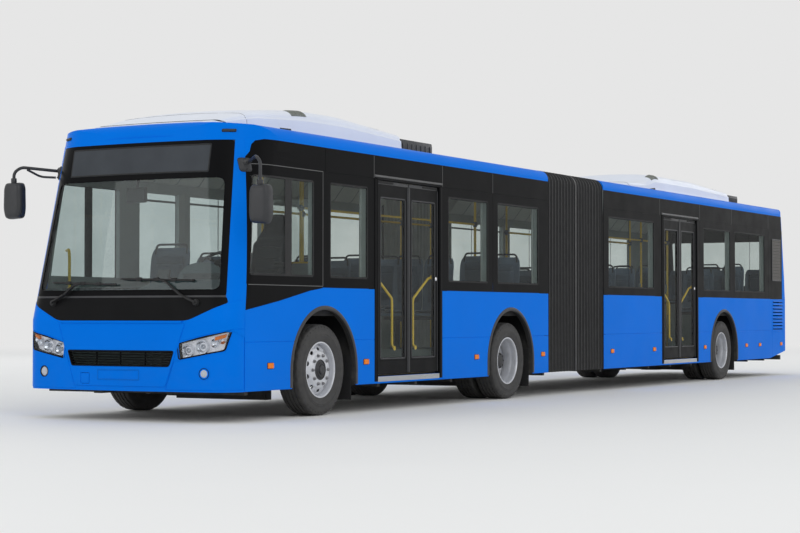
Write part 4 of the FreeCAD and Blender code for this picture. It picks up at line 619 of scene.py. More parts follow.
def add_plate(bm, outline, holes, low, high, chamfer, place, cut_u=(), cut_v=()):
    """A plate with chamfered rims, built flat in (u, v, height), cut to follow a curve, then laid on it."""
    flat = bmesh.new()
    loops = [outline] + list(holes)
    tops, bottoms = [], []
    for i, loop in enumerate(loops):
        inward = chamfer if i == 0 else -chamfer
        moved = inset_loop(loop, inward)
        bottom = [flat.verts.new((p[0], p[1], low)) for p in loop]
        shoulder = [flat.verts.new((p[0], p[1], high - chamfer)) for p in loop]
        top = [flat.verts.new((p[0], p[1], high)) for p in moved]
        bridge(flat, (bottom, shoulder, top))
        tops.append(top)
        bottoms.append(bottom)
    for rings in (tops, bottoms):
        every = [v for ring in rings for v in ring]
        for triangle in tessellate_polygon([[v.co for v in ring] for ring in rings]):
            corners = [every[k] for k in triangle]
            if len(set(corners)) == 3 and flat.faces.get(corners) is None:
                flat.faces.new(corners)
    for axis, cuts in ((0, cut_u), (1, cut_v)):
        values = [p[axis] for p in outline]
        for cut in cuts:
            if not min(values) + 0.002 < cut < max(values) - 0.002:
                continue
            point, normal = [0, 0, 0], [0, 0, 0]
            point[axis], normal[axis] = cut, 1
            geometry = flat.verts[:] + flat.edges[:] + flat.faces[:]
            bmesh.ops.bisect_plane(flat, geom=geometry, dist=1e-5, plane_co=point, plane_no=normal)
    bmesh.ops.recalc_face_normals(flat, faces=flat.faces)
    links = {v: bm.verts.new(place(*v.co)) for v in flat.verts}
    for face in flat.faces:
        bm.faces.new([links[v] for v in face.verts])
    flat.free()


def add_lathe(bm, profile, steps, place=None, start=0.0, radius_of=None):
    """Surface of revolution about X from (x, radius) points; closed where the profile closes."""
    rings = []
    for k in range(steps):
        angle = start + math.tau * k / steps
        ring = []
        for x, radius in profile:
            r = radius_of(k, x, radius) if radius_of else radius
            point = Vector((x, r * math.cos(angle), r * math.sin(angle)))
            ring.append(bm.verts.new(place @ point if place else point))
        rings.append(ring)
    for k in range(steps):
        here, after = rings[k], rings[(k + 1) % steps]
        for j in range(len(profile) - 1):
            if profile[j][1] < 1e-6 and profile[j + 1][1] < 1e-6:
                continue
            bm.faces.new((here[j], here[j + 1], after[j + 1], after[j]))
    bmesh.ops.remove_doubles(bm, verts=[v for ring in rings for v in ring], dist=1e-6)


def smooth_path(points, radius):
    """Open path with its inner corners rounded."""
    path = [Vector(p) for p in points]
    result = path[:1]
    for last, here, following in zip(path, path[1:], path[2:]):
        before, after = last - here, following - here
        reach = min(radius, before.length * 0.45, after.length * 0.45)
        result += bent_corner(before, here, after, reach, 5)
    return result + path[-1:]


def add_tube(bm, points, radius, sides=10, bend=0.0, section=None):
    """Bar along a path, with closed ends; a section gives (across, up) points instead of a circle."""
    path = smooth_path(points, bend) if bend else [Vector(p) for p in points]
    shape = section or [(radius * math.cos(math.tau * k / sides), radius * math.sin(math.tau * k / sides))
                        for k in range(sides)]
    first = (path[1] - path[0]).normalized()
    side = first.cross(Vector((0, 0, 1)))
    if side.length < 0.05:
        side = first.cross(Vector((1, 0, 0)))
    side.normalize()
    rings = []
    for i, point in enumerate(path):
        ahead = path[min(i + 1, len(path) - 1)] - path[max(i - 1, 0)]
        ahead.normalize()
        side = (side - ahead * side.dot(ahead)).normalized()
        up = side.cross(ahead)
        rings.append([bm.verts.new(point + side * a + up * b) for a, b in shape])
    bridge(bm, rings)
    close_ends(bm, [rings[0][::-1], rings[-1]])


def add_block(bm, low, high, chamfer, place=None, segments=2):
    """Box between two opposite corners, with chamfered edges unless the chamfer is 0."""
    low, high = [Vector([pick(pair) for pair in zip(low, high)]) for pick in (min, max)]
    points = bmesh.ops.create_cube(bm, size=1.0)["verts"]
    size, centre = high - low, (high + low) / 2
    for v in points:
        v.co = Vector((v.co.x * size.x, v.co.y * size.y, v.co.z * size.z)) + centre
    if chamfer:
        edges = list({e for v in points for e in v.link_edges})
        cut = min(chamfer, 0.45 * min(size))
        made = bmesh.ops.bevel(bm, geom=edges, offset=cut, segments=segments, profile=0.7, affect="EDGES")
        points = {v for f in made["faces"] for v in f.verts} | {v for v in points if v.is_valid}
    if place:
        for v in points:
            v.co = place @ v.co


def steps(low, high, step):
    count = max(1, math.ceil((high - low) / step))
    return [low + (high - low) * k / count for k in range(count + 1)]


def dense(points, step):
    """Closed outline with its long edges divided."""
    result = []
    for i, here in enumerate(points):
        after = points[(i + 1) % len(points)]
        count = max(1, math.ceil(math.dist(here, after) / step))
        result += [(here[0] + (after[0] - here[0]) * k / count, here[1] + (after[1] - here[1]) * k / count)
                   for k in range(count)]
    return result


def nose_outline(points, step=0.12):
    """Outline given in (x, z) turned into distances round the nose."""
    return [(run_to_x(NOSE, x, z), z) for x, z in dense(points, step)]


def tail_outline(points, step=0.12):
    return [(run_to_x(TAIL_END, x, z), z) for x, z in dense(points, step)]


def end_cuts(face, face_step, corner, corner_step):
    """Places where a plate round an end is cut: widely over its face and closely round its corners."""
    far = steps(*corner, corner_step)
    return [-u for u in reversed(far)] + steps(-face, face, face_step) + far


NOSE_CUTS = end_cuts(0.84, 0.12, (0.9, 1.7), 0.04)
TAIL_CUTS = end_cuts(0.9, 0.15, (0.95, 1.6), 0.035)
HEIGHT_CUTS = steps(0.3, 2.9, 0.13)
CORNER_CUTS = steps(0.26, 0.86, 0.035)


# ---- paint on the CAD pieces -----------------------------------------------------------------
def set_finishes(mesh, finishes, picks):
    """Give each face of a mesh the finish that its pick counts out."""
    mesh.materials.clear()
    for finish in finishes:
        mesh.materials.append(MATERIALS[finish])
    mesh.polygons.foreach_set("material_index", picks)
    mesh.update()


def paint(node, rule):
    """Give each face of a CAD piece the material that rule names, or that rule(middle, normal) names."""
    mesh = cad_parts[node].data
    chosen = [rule if isinstance(rule, str) else rule(p.center, p.normal) for p in mesh.polygons]
    names = list(dict.fromkeys(chosen))
    set_finishes(mesh, names, [names.index(finish) for finish in chosen])


def wall_paint(centre, normal):
    if centre.z < 1.15 and normal.z < -0.3 or abs(normal.y) > 0.5 and centre.z < 1.2:
        return "under"
    near_wheel = any(math.hypot(centre.y - at(s), centre.z - WHEEL_Z) < 0.67 for s in AXLES.values())
    if near_wheel and abs(normal.x) < 0.7:
        return "under"
    if normal.z < -0.7 and 2.4 < centre.z < 2.7:
        return "under"
    outside = abs(centre.x) > 0.95 and (normal.x * centre.x > 0.15 or centre.y < at(0.6) and normal.y < -0.2)
    if outside and abs(normal.z) < 0.9:
        return "blue" if centre.z < BELT else "band"
    if outside:
        return "band"
    return "trim"


def mask_paint(centre, normal):
    return "blue" if normal.y < -0.05 or abs(normal.x) > 0.9 and abs(centre.x) > 1.2 else "satin_black"


def tail_paint(centre, normal):
    return "blue" if normal.y > 0.05 or abs(normal.x) > 0.9 and abs(centre.x) > 1.2 else "satin_black"


def roof_paint(centre, normal):
    return "ceiling" if normal.z < -0.3 and centre.z < 2.93 else "blue"


def floor_paint(centre, normal):
    return "vinyl" if normal.z > 0.9 and centre.z > 0.38 else "under"


def podest_paint(centre, normal):
    if centre.z < 0.33 or abs(centre.x) > 1.19 and abs(normal.x) > 0.9:
        return "under"
    for station in AXLES.values():
        hub = Vector((math.copysign(1.1, centre.x), at(station), WHEEL_Z))
        if abs(centre.y - hub.y) < 0.63 and abs(centre.x) > 0.49 and centre.z < 1.07:
            if normal.dot(hub - centre) > 0:
                return "under"
    return "vinyl" if normal.z > 0.9 else "trim"


PAINTS = {
    "front_left_wall": wall_paint, "front_right_wall": wall_paint, "rear_left_wall": wall_paint,
    "rear_right_wall": wall_paint, "front_mask": mask_paint, "rear_panel": tail_paint,
    "engine_door": tail_paint,
    "front_roof": roof_paint, "rear_roof": roof_paint, "front_floor": floor_paint, "rear_floor": floor_paint,
    "front_podests": podest_paint, "rear_podests": podest_paint, "windscreen": "screen_glass",
    "destination_display": "display", "front_windows": "side_glass", "rear_windows": "side_glass",
    "front_axle": "iron", "middle_axle": "iron", "rear_axle": "iron", "turntable_base": "iron",
    "turntable_yoke": "iron", "steering_knuckle_left": "iron", "steering_knuckle_right": "iron",
    "engine_block": "engine", "wipers": "housing", "mirrors": "housing", "driver_partition": "trim",
    "dashboard": "dash", "steering_wheel": "handle", "front_grab_poles": "yellow",
    "rear_grab_poles": "yellow",
    "front_roof_unit": "pod", "rear_roof_unit": "pod", "tail_lamps": "red", "headlamps": "clear_lens",
    "bellows": "bellows", "driver_seat": "driver_cloth", "front_seats": "shell", "rear_seats": "shell",
}
for name, rule in PAINTS.items():
    paint(name, rule)
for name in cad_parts:
    if name.endswith(("tyre", "tyres")):
        paint(name, "tyre")
    elif name.endswith(("rim", "rims")):
        paint(name, "rim")
    elif name.startswith("door_") and name not in PAINTS:
        paint(name, "satin_black" if "leaf" in name else "under")


def paint_panes(node, base, glass):
    """Glass for the thin panes of a piece made of a frame and its panes."""
    panes = [b for b in islands(node) if (b[1] - b[0]).x < 0.0095]
    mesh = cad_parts[node].data
    picks = []
    for polygon in mesh.polygons:
        corners = [mesh.vertices[v].co for v in polygon.vertices]
        picks.append(any(all(low[k] - 1e-4 < c[k] < high[k] + 1e-4 for c in corners for k in range(3))
                         for low, high in panes))
    set_finishes(mesh, [base, glass], picks)


for name in [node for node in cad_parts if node.endswith("_leaf")]:
    paint_panes(name, "satin_black", "side_glass")


# ---- side panels -----------------------------------------------------------------------------
GAP = 0.004
PANEL = 0.004
BAND = 0.002
# layers of a plate: its underside and its outer face above the skin, and the chamfer of its rim
PANEL_LAYERS = (-0.004, PANEL, 0.003)
BAND_LAYERS = (-0.004, BAND, 0.0015)
SEAL_LAYERS = (-0.006, BAND + 0.001, 0.002)
BEAD_LAYERS = (-0.002, 0.0035, 0.001)
ARCH = 0.64
ARCH_Z = 0.4685
FOOT = SKIRT + 0.004
WAIST = 0.785
HEADER = 2.548
TOP = RAIL - 0.004
DOORWAYS = {"door_1": "front_section", "door_2": "rear_section"}


def door_span(door):
    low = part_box(door + "_front_leaf")[0].y - FRONT_Y - 0.012
    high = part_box(door + "_back_leaf")[1].y - FRONT_Y + 0.012
    return low, high


DOOR_1, DOOR_2 = door_span("door_1"), door_span("door_2")
POST = 0.075
TAIL_SEAM = 17.735
# ends of the blue side panels, and the joints between them on the right-hand side
FRONT_END = 0.334
REAR_END = 17.0
RIGHT_FRONT_JOINT = 4.45
RIGHT_WAIST_JOINT = 13.2
RIGHT_SKIRT_JOINT = 11.4


def arch_run(axle, base):
    """Points up and over a wheel arch at a base height, front to back."""
    first = math.asin(max(0.0, min(1.0, (base - ARCH_Z) / ARCH)))
    points = [(axle - ARCH, base)] if base < ARCH_Z else []
    count = 28
    for k in range(count + 1):
        angle = math.pi - first - (math.pi - 2 * first) * k / count
        points.append((axle + ARCH * math.cos(angle), ARCH_Z + ARCH * math.sin(angle)))
    if base < ARCH_Z:
        points.append((axle + ARCH, base))
    return points


def waist_outline(s0, s1, axles, top=None, front=None):
    """Panel between the waist seam and the belt, cut round the arches."""
    points = [(s0, WAIST)]
    for axle in axles:
        points += arch_run(axle, WAIST)
    points.append((s1, WAIST))
    points.append((s1, BELT - GAP / 2))
    points += top or []
    points.append((front or s0, BELT - GAP / 2) if not top else (front or s0, top[-1][1]))
    return points


DIP = [(1.95, 1.332), (1.75, 1.321), (1.55, 1.297), (1.3, 1.251), (0.97, 1.19), (0.6, 1.132), (0.338, 1.094)]
FRONT, MID, REAR = AXLES["front"], AXLES["middle"], AXLES["rear"]

# side, body, ends of the blue panels above the waist seam, arches inside them, and whether the top edge dips
# towards the windscreen
WAISTS = [
    (1, "front_section", FRONT_END, DOOR_1[0] - POST, [FRONT], True),
    (1, "front_section", DOOR_1[1] + POST, BELLOWS_START - GAP, [MID], False),
    (1, "rear_section", BELLOWS_END + GAP, DOOR_2[0] - POST, [], False),
    (1, "rear_section", DOOR_2[1] + POST, REAR_END, [REAR], False),
    (-1, "front_section", FRONT_END, RIGHT_FRONT_JOINT, [FRONT], True),
    (-1, "front_section", RIGHT_FRONT_JOINT + GAP, BELLOWS_START - GAP, [MID], False),
    (-1, "rear_section", BELLOWS_END + GAP, RIGHT_WAIST_JOINT, [], False),
    (-1, "rear_section", RIGHT_WAIST_JOINT + GAP, REAR_END, [REAR], False),
]
# side, body, ends of the blue panels below the waist seam
SKIRTS = [
    (1, "front_section", FRONT_END, FRONT - ARCH), (1, "front_section", FRONT + ARCH, DOOR_1[0] - POST),
    (1, "front_section", DOOR_1[1] + POST, MID - ARCH), (1, "front_section", MID + ARCH, BELLOWS_START - GAP),
    (1, "rear_section", BELLOWS_END + GAP, DOOR_2[0] - POST),
    (1, "rear_section", DOOR_2[1] + POST, REAR - ARCH), (1, "rear_section", REAR + ARCH, REAR_END),
    (-1, "front_section", FRONT_END, FRONT - ARCH), (-1, "front_section", FRONT + ARCH, RIGHT_FRONT_JOINT),
    (-1, "front_section", RIGHT_FRONT_JOINT + GAP, MID - ARCH),
    (-1, "front_section", MID + ARCH, BELLOWS_START - GAP),
    (-1, "rear_section", BELLOWS_END + GAP, RIGHT_SKIRT_JOINT),
    (-1, "rear_section", RIGHT_SKIRT_JOINT + GAP, REAR - ARCH),
    (-1, "rear_section", REAR + ARCH, REAR_END),
]


def skirt_outline(s0, s1):
    """Lower panel; beside an arch its upper corner follows the arch."""
    points = []
    lean_in = [(ARCH * math.cos(math.radians(a)), ARCH_Z + ARCH * math.sin(math.radians(a)))
               for a in (0, 8, 16, 24)]
    lift = math.asin((WAIST - GAP - ARCH_Z) / ARCH)
    last = (ARCH * math.cos(lift), WAIST - GAP)
    for axle in (FRONT, MID, REAR):
        if abs(s0 - axle - ARCH) < 1e-6:
            fall = [(axle + r, z) for r, z in reversed(lean_in)]
            points += [(axle + last[0], last[1])] + fall + [(s0, FOOT)]
    if not points:
        points = [(s0, WAIST - GAP), (s0, FOOT)]
    behind = []
    for axle in (FRONT, MID, REAR):
        if abs(s1 - axle + ARCH) < 1e-6:
            behind = [(s1, FOOT)] + [(axle - r, z) for r, z in lean_in] + [(axle - last[0], last[1])]
    if s1 == REAR_END:
        behind = [(16.88, FOOT), (s1, FOOT + 0.016), (s1, WAIST - GAP)]
    points += behind or [(s1, FOOT), (s1, WAIST - GAP)]
    return points


def reveal_paint(centre, normal):
    """Walls again, with dark door reveals and light window reveals."""
    for low, high in (DOOR_1, DOOR_2):
        if centre.x > 1.0 and at(low) - 0.002 < centre.y < at(high) + 0.002 and abs(normal.x) < 0.5:
            return "satin_black"
    return wall_paint(centre, normal)


for part in ("front", "rear"):
    paint(part + "_left_wall", reveal_paint)

for part, body in SECTIONS:
    for side, name in SIDES:
        bm = bmesh.new()
        for wall_side, owner, s0, s1, axles, dips in WAISTS:
            if (wall_side, owner) != (side, body):
                continue
            outline = waist_outline(s0, s1, axles, DIP if dips else None, 0.338 if dips else None)
            cuts = CORNER_CUTS if dips else ()
            add_plate(bm, outline, [], *PANEL_LAYERS, wrap_side(side) if dips else flat_side(side), cuts)
        for wall_side, owner, s0, s1 in SKIRTS:
            if (wall_side, owner) == (side, body):
                place = wrap_side(side) if s0 < 0.5 else flat_side(side)
                add_plate(bm, skirt_outline(s0, s1), [], *PANEL_LAYERS, place)
        piece(f"{part}_{name}_blue_panels", bm, "blue", body)


# ---- black window band -----------------------------------------------------------------------
def pane_boxes(node, side):
    """Stations and heights of the flat panes on a side."""
    found = []
    for low, high in islands(node):
        if (high - low).x < 0.02 and low.x * side > 0:
            found.append((low.y - FRONT_Y, high.y - FRONT_Y, low.z, high.z))
    return found


def window_hole(s0, s1, z0, z1):
    return rounded(rectangle(s0, s1, z0, z1), 0.035, 5)


DRIVER_WINDOW = [(0.425, 1.442), (1.618, 1.442), (1.618, 2.443), (0.56, 2.443)]
# rear ends of the panels round the front corner, and of the rear window next to the tail
CORNER_END = 1.8
CORNER_HEADER_END = 1.85
LAST_JOINT = 16.8
# side, body, ends of a panel of the band between the belt and the header seam
BANDS = [
    (1, "front_section", CORNER_END, DOOR_1[0] - POST), (1, "front_section", DOOR_1[1] + POST, 5.84),
    (1, "front_section", 5.84, BELLOWS_START), (1, "rear_section", BELLOWS_END, DOOR_2[0] - POST),
    (1, "rear_section", DOOR_2[1] + POST, LAST_JOINT), (1, "rear_section", LAST_JOINT, TAIL_SEAM - 0.15),
    (-1, "front_section", CORNER_END, 2.83), (-1, "front_section", 2.83, 4.555),
    (-1, "front_section", 4.555, 5.84),
    (-1, "front_section", 5.84, BELLOWS_START), (-1, "rear_section", BELLOWS_END, 11.43),
    (-1, "rear_section", 11.43, 13.37), (-1, "rear_section", 13.37, 14.9),
    (-1, "rear_section", 14.9, LAST_JOINT),
    (-1, "rear_section", LAST_JOINT, TAIL_SEAM - 0.15),
]
# side, body, ends of a panel of the header above the windows
HEADERS = [
    (1, "front_section", (CORNER_HEADER_END, 2.88, 4.5, 5.84, BELLOWS_START)),
    (1, "rear_section", (BELLOWS_END, 11.55, 13.3, 14.85, LAST_JOINT, TAIL_SEAM - 0.2)),
    (-1, "front_section", (CORNER_HEADER_END, 2.83, 4.5, 5.84, BELLOWS_START)),
    (-1, "rear_section", (BELLOWS_END, 11.43, 13.37, 14.85, LAST_JOINT, TAIL_SEAM - 0.2)),
]
LOUVRE_SPAN = (17.0, 17.53)
HIGH_LOUVRE = (1.655, 2.39)

SEAM_RUN = 0.332


def seam_depth(z):
    """Depth behind the front tip of the mask's rear edge, at a height."""
    return SEAM_RUN + 0.25 * max(0.0, z - 1.0) / (CAP - 1.0)


def seam_station(z):
    """Station where the side panels start behind the mask, at a height."""
    return seam_depth(z) + GAP


for part, body in SECTIONS:
    for side, name in SIDES:
        panes = pane_boxes(part + "_windows", side)
        bm = bmesh.new()
        seals = bmesh.new()
        for wall_side, owner, s0, s1 in BANDS:
            if (wall_side, owner) != (side, body):
                continue
            holes = [window_hole(*p) for p in panes if s0 < p[0] and p[1] < s1]
            if side > 0 and s0 > 16.7:
                holes.append(rounded(rectangle(*LOUVRE_SPAN, *HIGH_LOUVRE), 0.02))
            outline = rectangle(s0 + GAP / 2, s1 - GAP / 2, BELT + GAP / 2, HEADER - GAP / 2)
            add_plate(bm, outline, holes, *BAND_LAYERS, flat_side(side))
        for wall_side, owner, stations in HEADERS:
            if (wall_side, owner) != (side, body):
                continue
            for s0, s1 in zip(stations, stations[1:]):
                outline = rectangle(s0 + GAP / 2, s1 - GAP / 2, HEADER + GAP / 2, TOP)
                add_plate(bm, outline, [], *BAND_LAYERS, flat_side(side))
        if part == "front":
            place = wrap_side(side)
            low = [(seam_station(1.098), 1.098)]
            low += [(s, z + GAP) for s, z in DIP[-2:0:-1]] + [(CORNER_END - GAP / 2, 1.331)]
            front = [(seam_station(z), z) for z in (2.42, 2.1, 1.8, 1.5, 1.25)]
            outline = low + [(CORNER_END - GAP / 2, HEADER - GAP / 2), (0.552, HEADER - GAP / 2)] + front
            hole = rounded(DRIVER_WINDOW, 0.035, 5)
            add_plate(bm, outline, [hole], *BAND_LAYERS, place, CORNER_CUTS, HEIGHT_CUTS)
            header = [(0.556, HEADER + GAP / 2), (CORNER_HEADER_END - GAP / 2, HEADER + GAP / 2),
                      (CORNER_HEADER_END - GAP / 2, TOP), (0.74, TOP), (0.64, TOP - 0.02), (0.6, TOP - 0.06),
                      (0.575, TOP - 0.13)]
            add_plate(bm, header, [], *BAND_LAYERS, place, CORNER_CUTS, HEIGHT_CUTS)
            corner = bmesh.new()
            curve = [(0.571, TOP - 0.13), (0.596, TOP - 0.057), (0.637, TOP - 0.016), (0.74, TOP + 0.004)]
            tip = [(0.74, TOP + 0.012), (seam_station(TOP) - 0.006, TOP + 0.012),
                   (seam_station(TOP - 0.18) - 0.006, TOP - 0.18)]
            add_plate(corner, curve + tip, [], *BAND_LAYERS, place, CORNER_CUTS, HEIGHT_CUTS)
            piece(f"{name}_header_corner", corner, "blue", body)
            add_plate(seals, hole, [inset_loop(hole, 0.02)], *SEAL_LAYERS, place, CORNER_CUTS,
                      HEIGHT_CUTS)
            add_plate(seals, rectangle(1.066, 1.193, 1.452, 2.433), [], -0.006, 0.001, 0.002, place,
                      CORNER_CUTS)
        for s0, s1, z0, z1 in panes:
            if s1 - s0 < 2.5 and s0 > CORNER_END:
                hole = window_hole(s0, s1, z0, z1)
                add_plate(seals, hole, [inset_loop(hole, 0.016)], *SEAL_LAYERS, flat_side(side))
                if s1 - s0 > 1.5:
                    half = (s0 + s1) / 2 - 0.1 * (s0 < 10)
                    add_plate(seals, rectangle(half - 0.006, half + 0.006, z0 + 0.014, z1 - 0.014), [],
                              -0.005, -0.001, 0.001, flat_side(side))
                if side < 0:
                    vent = z1 - 0.1
                    add_plate(seals, rectangle(s0 + 0.014, s1 - 0.014, vent - 0.012, vent + 0.012), [],
                              -0.006, 0.001, 0.002, flat_side(side))
        piece(f"{part}_{name}_window_band", bm, "band", body)
        piece(f"{part}_{name}_window_seals", seals, "rubber", body)


# ---- front panels ----------------------------------------------------------------------------
def side_run(z):
    """Distance round the nose to the seam between the mask and the side, at height z."""
    return run_to_depth(NOSE, seam_depth(z), z, 1)


def sided(points, side):
    """Outline as it is for the left-hand side, mirrored for the right-hand side."""
    return points if side > 0 else [(-u, z) for u, z in reversed(points)]


def flap_edge(z):
    """Half width of the centre flap at a height."""
    return 0.558 + (z - 0.35) * 0.3496


def beside_flap(z):
    """Corner of a fender beside the centre flap."""
    return flap_edge(z) + 0.005, z


def nose_point(x, z):
    return run_to_x(NOSE, x, z), z


LAMP = [(0.7, 0.609), (0.683, 0.778), (1.238, 0.902), (1.19, 0.7)]
GLASS_HOLE = trapezoid(1.105, 1.30, 1.022, 2.405)
SIGN_HOLE = rectangle(-0.865, 0.865, 2.462, 2.75)
SURROUND = trapezoid(1.168, 1.236, 1.06, 2.784)


def nose_plate(bm, outline, holes, low, high, chamfer):
    add_plate(bm, outline, holes, low, high, chamfer, wrap_front, NOSE_CUTS, HEIGHT_CUTS)


plate_piece("screen_surround", "band", "front_section", "door_black", nose_plate,
            nose_outline(rounded(SURROUND, [0.03, 0.03, 0.04, 0.04], 6)),
            [nose_outline(rounded(GLASS_HOLE, 0.07, 6)), nose_outline(rounded(SIGN_HOLE, 0.02, 3))], -0.0035,
            0.0015, 0.001)
lower_black = rounded([(-0.8, 0.995), (0.8, 0.995), (1.19, 1.168), (1.172, 1.224), (-1.172, 1.224),
                       (-1.19, 1.168)], [0.06, 0.06, 0.02, 0.01, 0.01, 0.02], 5)
plate_piece("lower_black_panel", "satin_black", "front_section", "door_black", nose_plate,
            nose_outline(lower_black), [], -0.004, 0.002, 0.0015)
plate_piece("screen_foot_strip", "housing", "front_section", "wiper_black", nose_plate,
            nose_outline(rounded(rectangle(-1.167, 1.167, 1.2215, 1.2415), 0.002, 1)), [], -0.003, 0.005,
            0.0015)
ring = nose_outline(rounded(rectangle(-0.862, 0.862, 2.465, 2.747), 0.02, 3))
plate_piece("sign_frame", "rubber", "front_section", "wiper_black", nose_plate, ring,
            [inset_loop(ring, 0.012)], -0.0045, 0.0, 0.001)

# the centre flap with its slot, ledge and towing cover
SLOT = trapezoid(0.655, 0.7, 0.6, 0.543)
TOW = rectangle(-0.476, -0.364, 0.366, 0.474)
flap = rounded(trapezoid(flap_edge(0.345), 0.345, flap_edge(0.985), 0.985), [0.03, 0.03, 0.05, 0.05], 5)
bm = bmesh.new()
nose_plate(bm, nose_outline(flap), [nose_outline(list(reversed(rounded(SLOT, 0.025, 4)))),
                                    nose_outline(rounded(TOW, 0.012, 3))], -0.006, 0.007, 0.005)
nose_plate(bm, nose_outline(rounded(rectangle(-0.473, -0.367, 0.369, 0.471), 0.011, 3)),
           [], -0.006, 0.006, 0.002)
ledge = [wrap_front(run_to_x(NOSE, x, 0.981), 0.981, 0.008) for x in steps(-0.745, 0.745, 0.06)]
add_tube(bm, ledge, 0.0, section=[(0.011 * math.cos(a), 0.013 * math.sin(a))
                                 for a in [math.tau * k / 12 for k in range(12)]])
piece("centre_flap", bm, "blue", "front_section")
bm = bmesh.new()
rim = nose_outline(rounded(SLOT, 0.025, 4))
nose_plate(bm, rim, [inset_loop(rim, 0.012)], -0.03, 0.009, 0.002)
for k in range(6):
    z = 0.556 + 0.026 * k
    half = 0.6 + (z - 0.543) * 0.35 + 0.004
    path = [wrap_front(run_to_x(NOSE, x, z), z, -0.016) for x in steps(-half, half, 0.06)]
    add_tube(bm, path, 0.0, section=[(-0.012, -0.004), (0.012, -0.006), (0.012, 0.0), (-0.012, 0.005)])
for x in (-0.3, 0.0, 0.3):
    y_front, y_back = wrap_front(x, 0.62, -0.032).y, wrap_front(x, 0.62, -0.045).y
    add_block(bm, (x - 0.004, y_front, 0.55), (x + 0.004, y_back, 0.695), 0.0)
piece("grille_slats", bm, "satin_black", "front_section")
# The plate holder takes the darker copy of the body's blue: painted shade.
plate = rectangle(-0.26, 0.26, 0.405, 0.515)
plate_piece("plate_holder", "mask_blue", "front_section", "mask_blue", nose_plate,
            nose_outline(rounded(plate, 0.01, 3)),
            [nose_outline(rounded(rectangle(-0.245, 0.245, 0.42, 0.5), 0.008, 3))], 0.004, 0.010, 0.002)

# fenders round the headlamps
for side, name in SIDES:
    lamp_hole = nose_outline(rounded(LAMP, 0.03, 5), 0.05)
    low = [nose_point(*beside_flap(z)) for z in (0.318, 0.345, 0.6, 0.78)]
    low += [nose_point(0.95, 0.842), nose_point(1.238, 0.906)]
    low += [(side_run(z), z) for z in (0.912, 0.6, 0.318)]
    high = [nose_point(*beside_flap(z)) for z in (0.786, 0.97)]
    high += [nose_point(0.805, 0.991), nose_point(1.19, 1.161), nose_point(1.215, 1.185)]
    high += [(side_run(z), z) for z in (1.195, 1.0, 0.918)]
    high += [nose_point(1.238, 0.912), nose_point(0.95, 0.848)]
    fog = circle(run_to_x(NOSE, 0.985, 0.48), 0.48, 0.058, 28)
    bm = bmesh.new()
    outlines = [(dense(low, 0.1), [lamp_hole, fog]), (dense(high, 0.1), [])]
    for outline, holes in outlines:
        nose_plate(bm, sided(outline, side), [sided(h, side) for h in holes], *PANEL_LAYERS)
    piece(f"front_{name}_fender", bm, "blue", "front_section")


# ---- front lamps -----------------------------------------------------------------------------
def facing(point, normal):
    """Matrix with local X along a normal and local Z near up."""
    x = Vector(normal).normalized()
    y = Vector((0, 0, 1)).cross(x).normalized()
    z = x.cross(y)
    return Matrix.Translation(point) @ Matrix((x, y, z)).transposed().to_4x4()


def nose_frame(x, z, depth=0.0):
    """Local frame on the nose's skin, X outwards."""
    run = run_to_x(NOSE, x, z)
    place = wrap_front(run, z, -depth)
    return facing(place, wrap_front(run, z, 0.05) - wrap_front(run, z, -0.05))


def bowl(radius, depth, steps_in=7):
    points = []
    for k in range(steps_in + 1):
        r = radius * k / steps_in
        points.append((-depth + depth * (r / radius) ** 2, r))
    return points


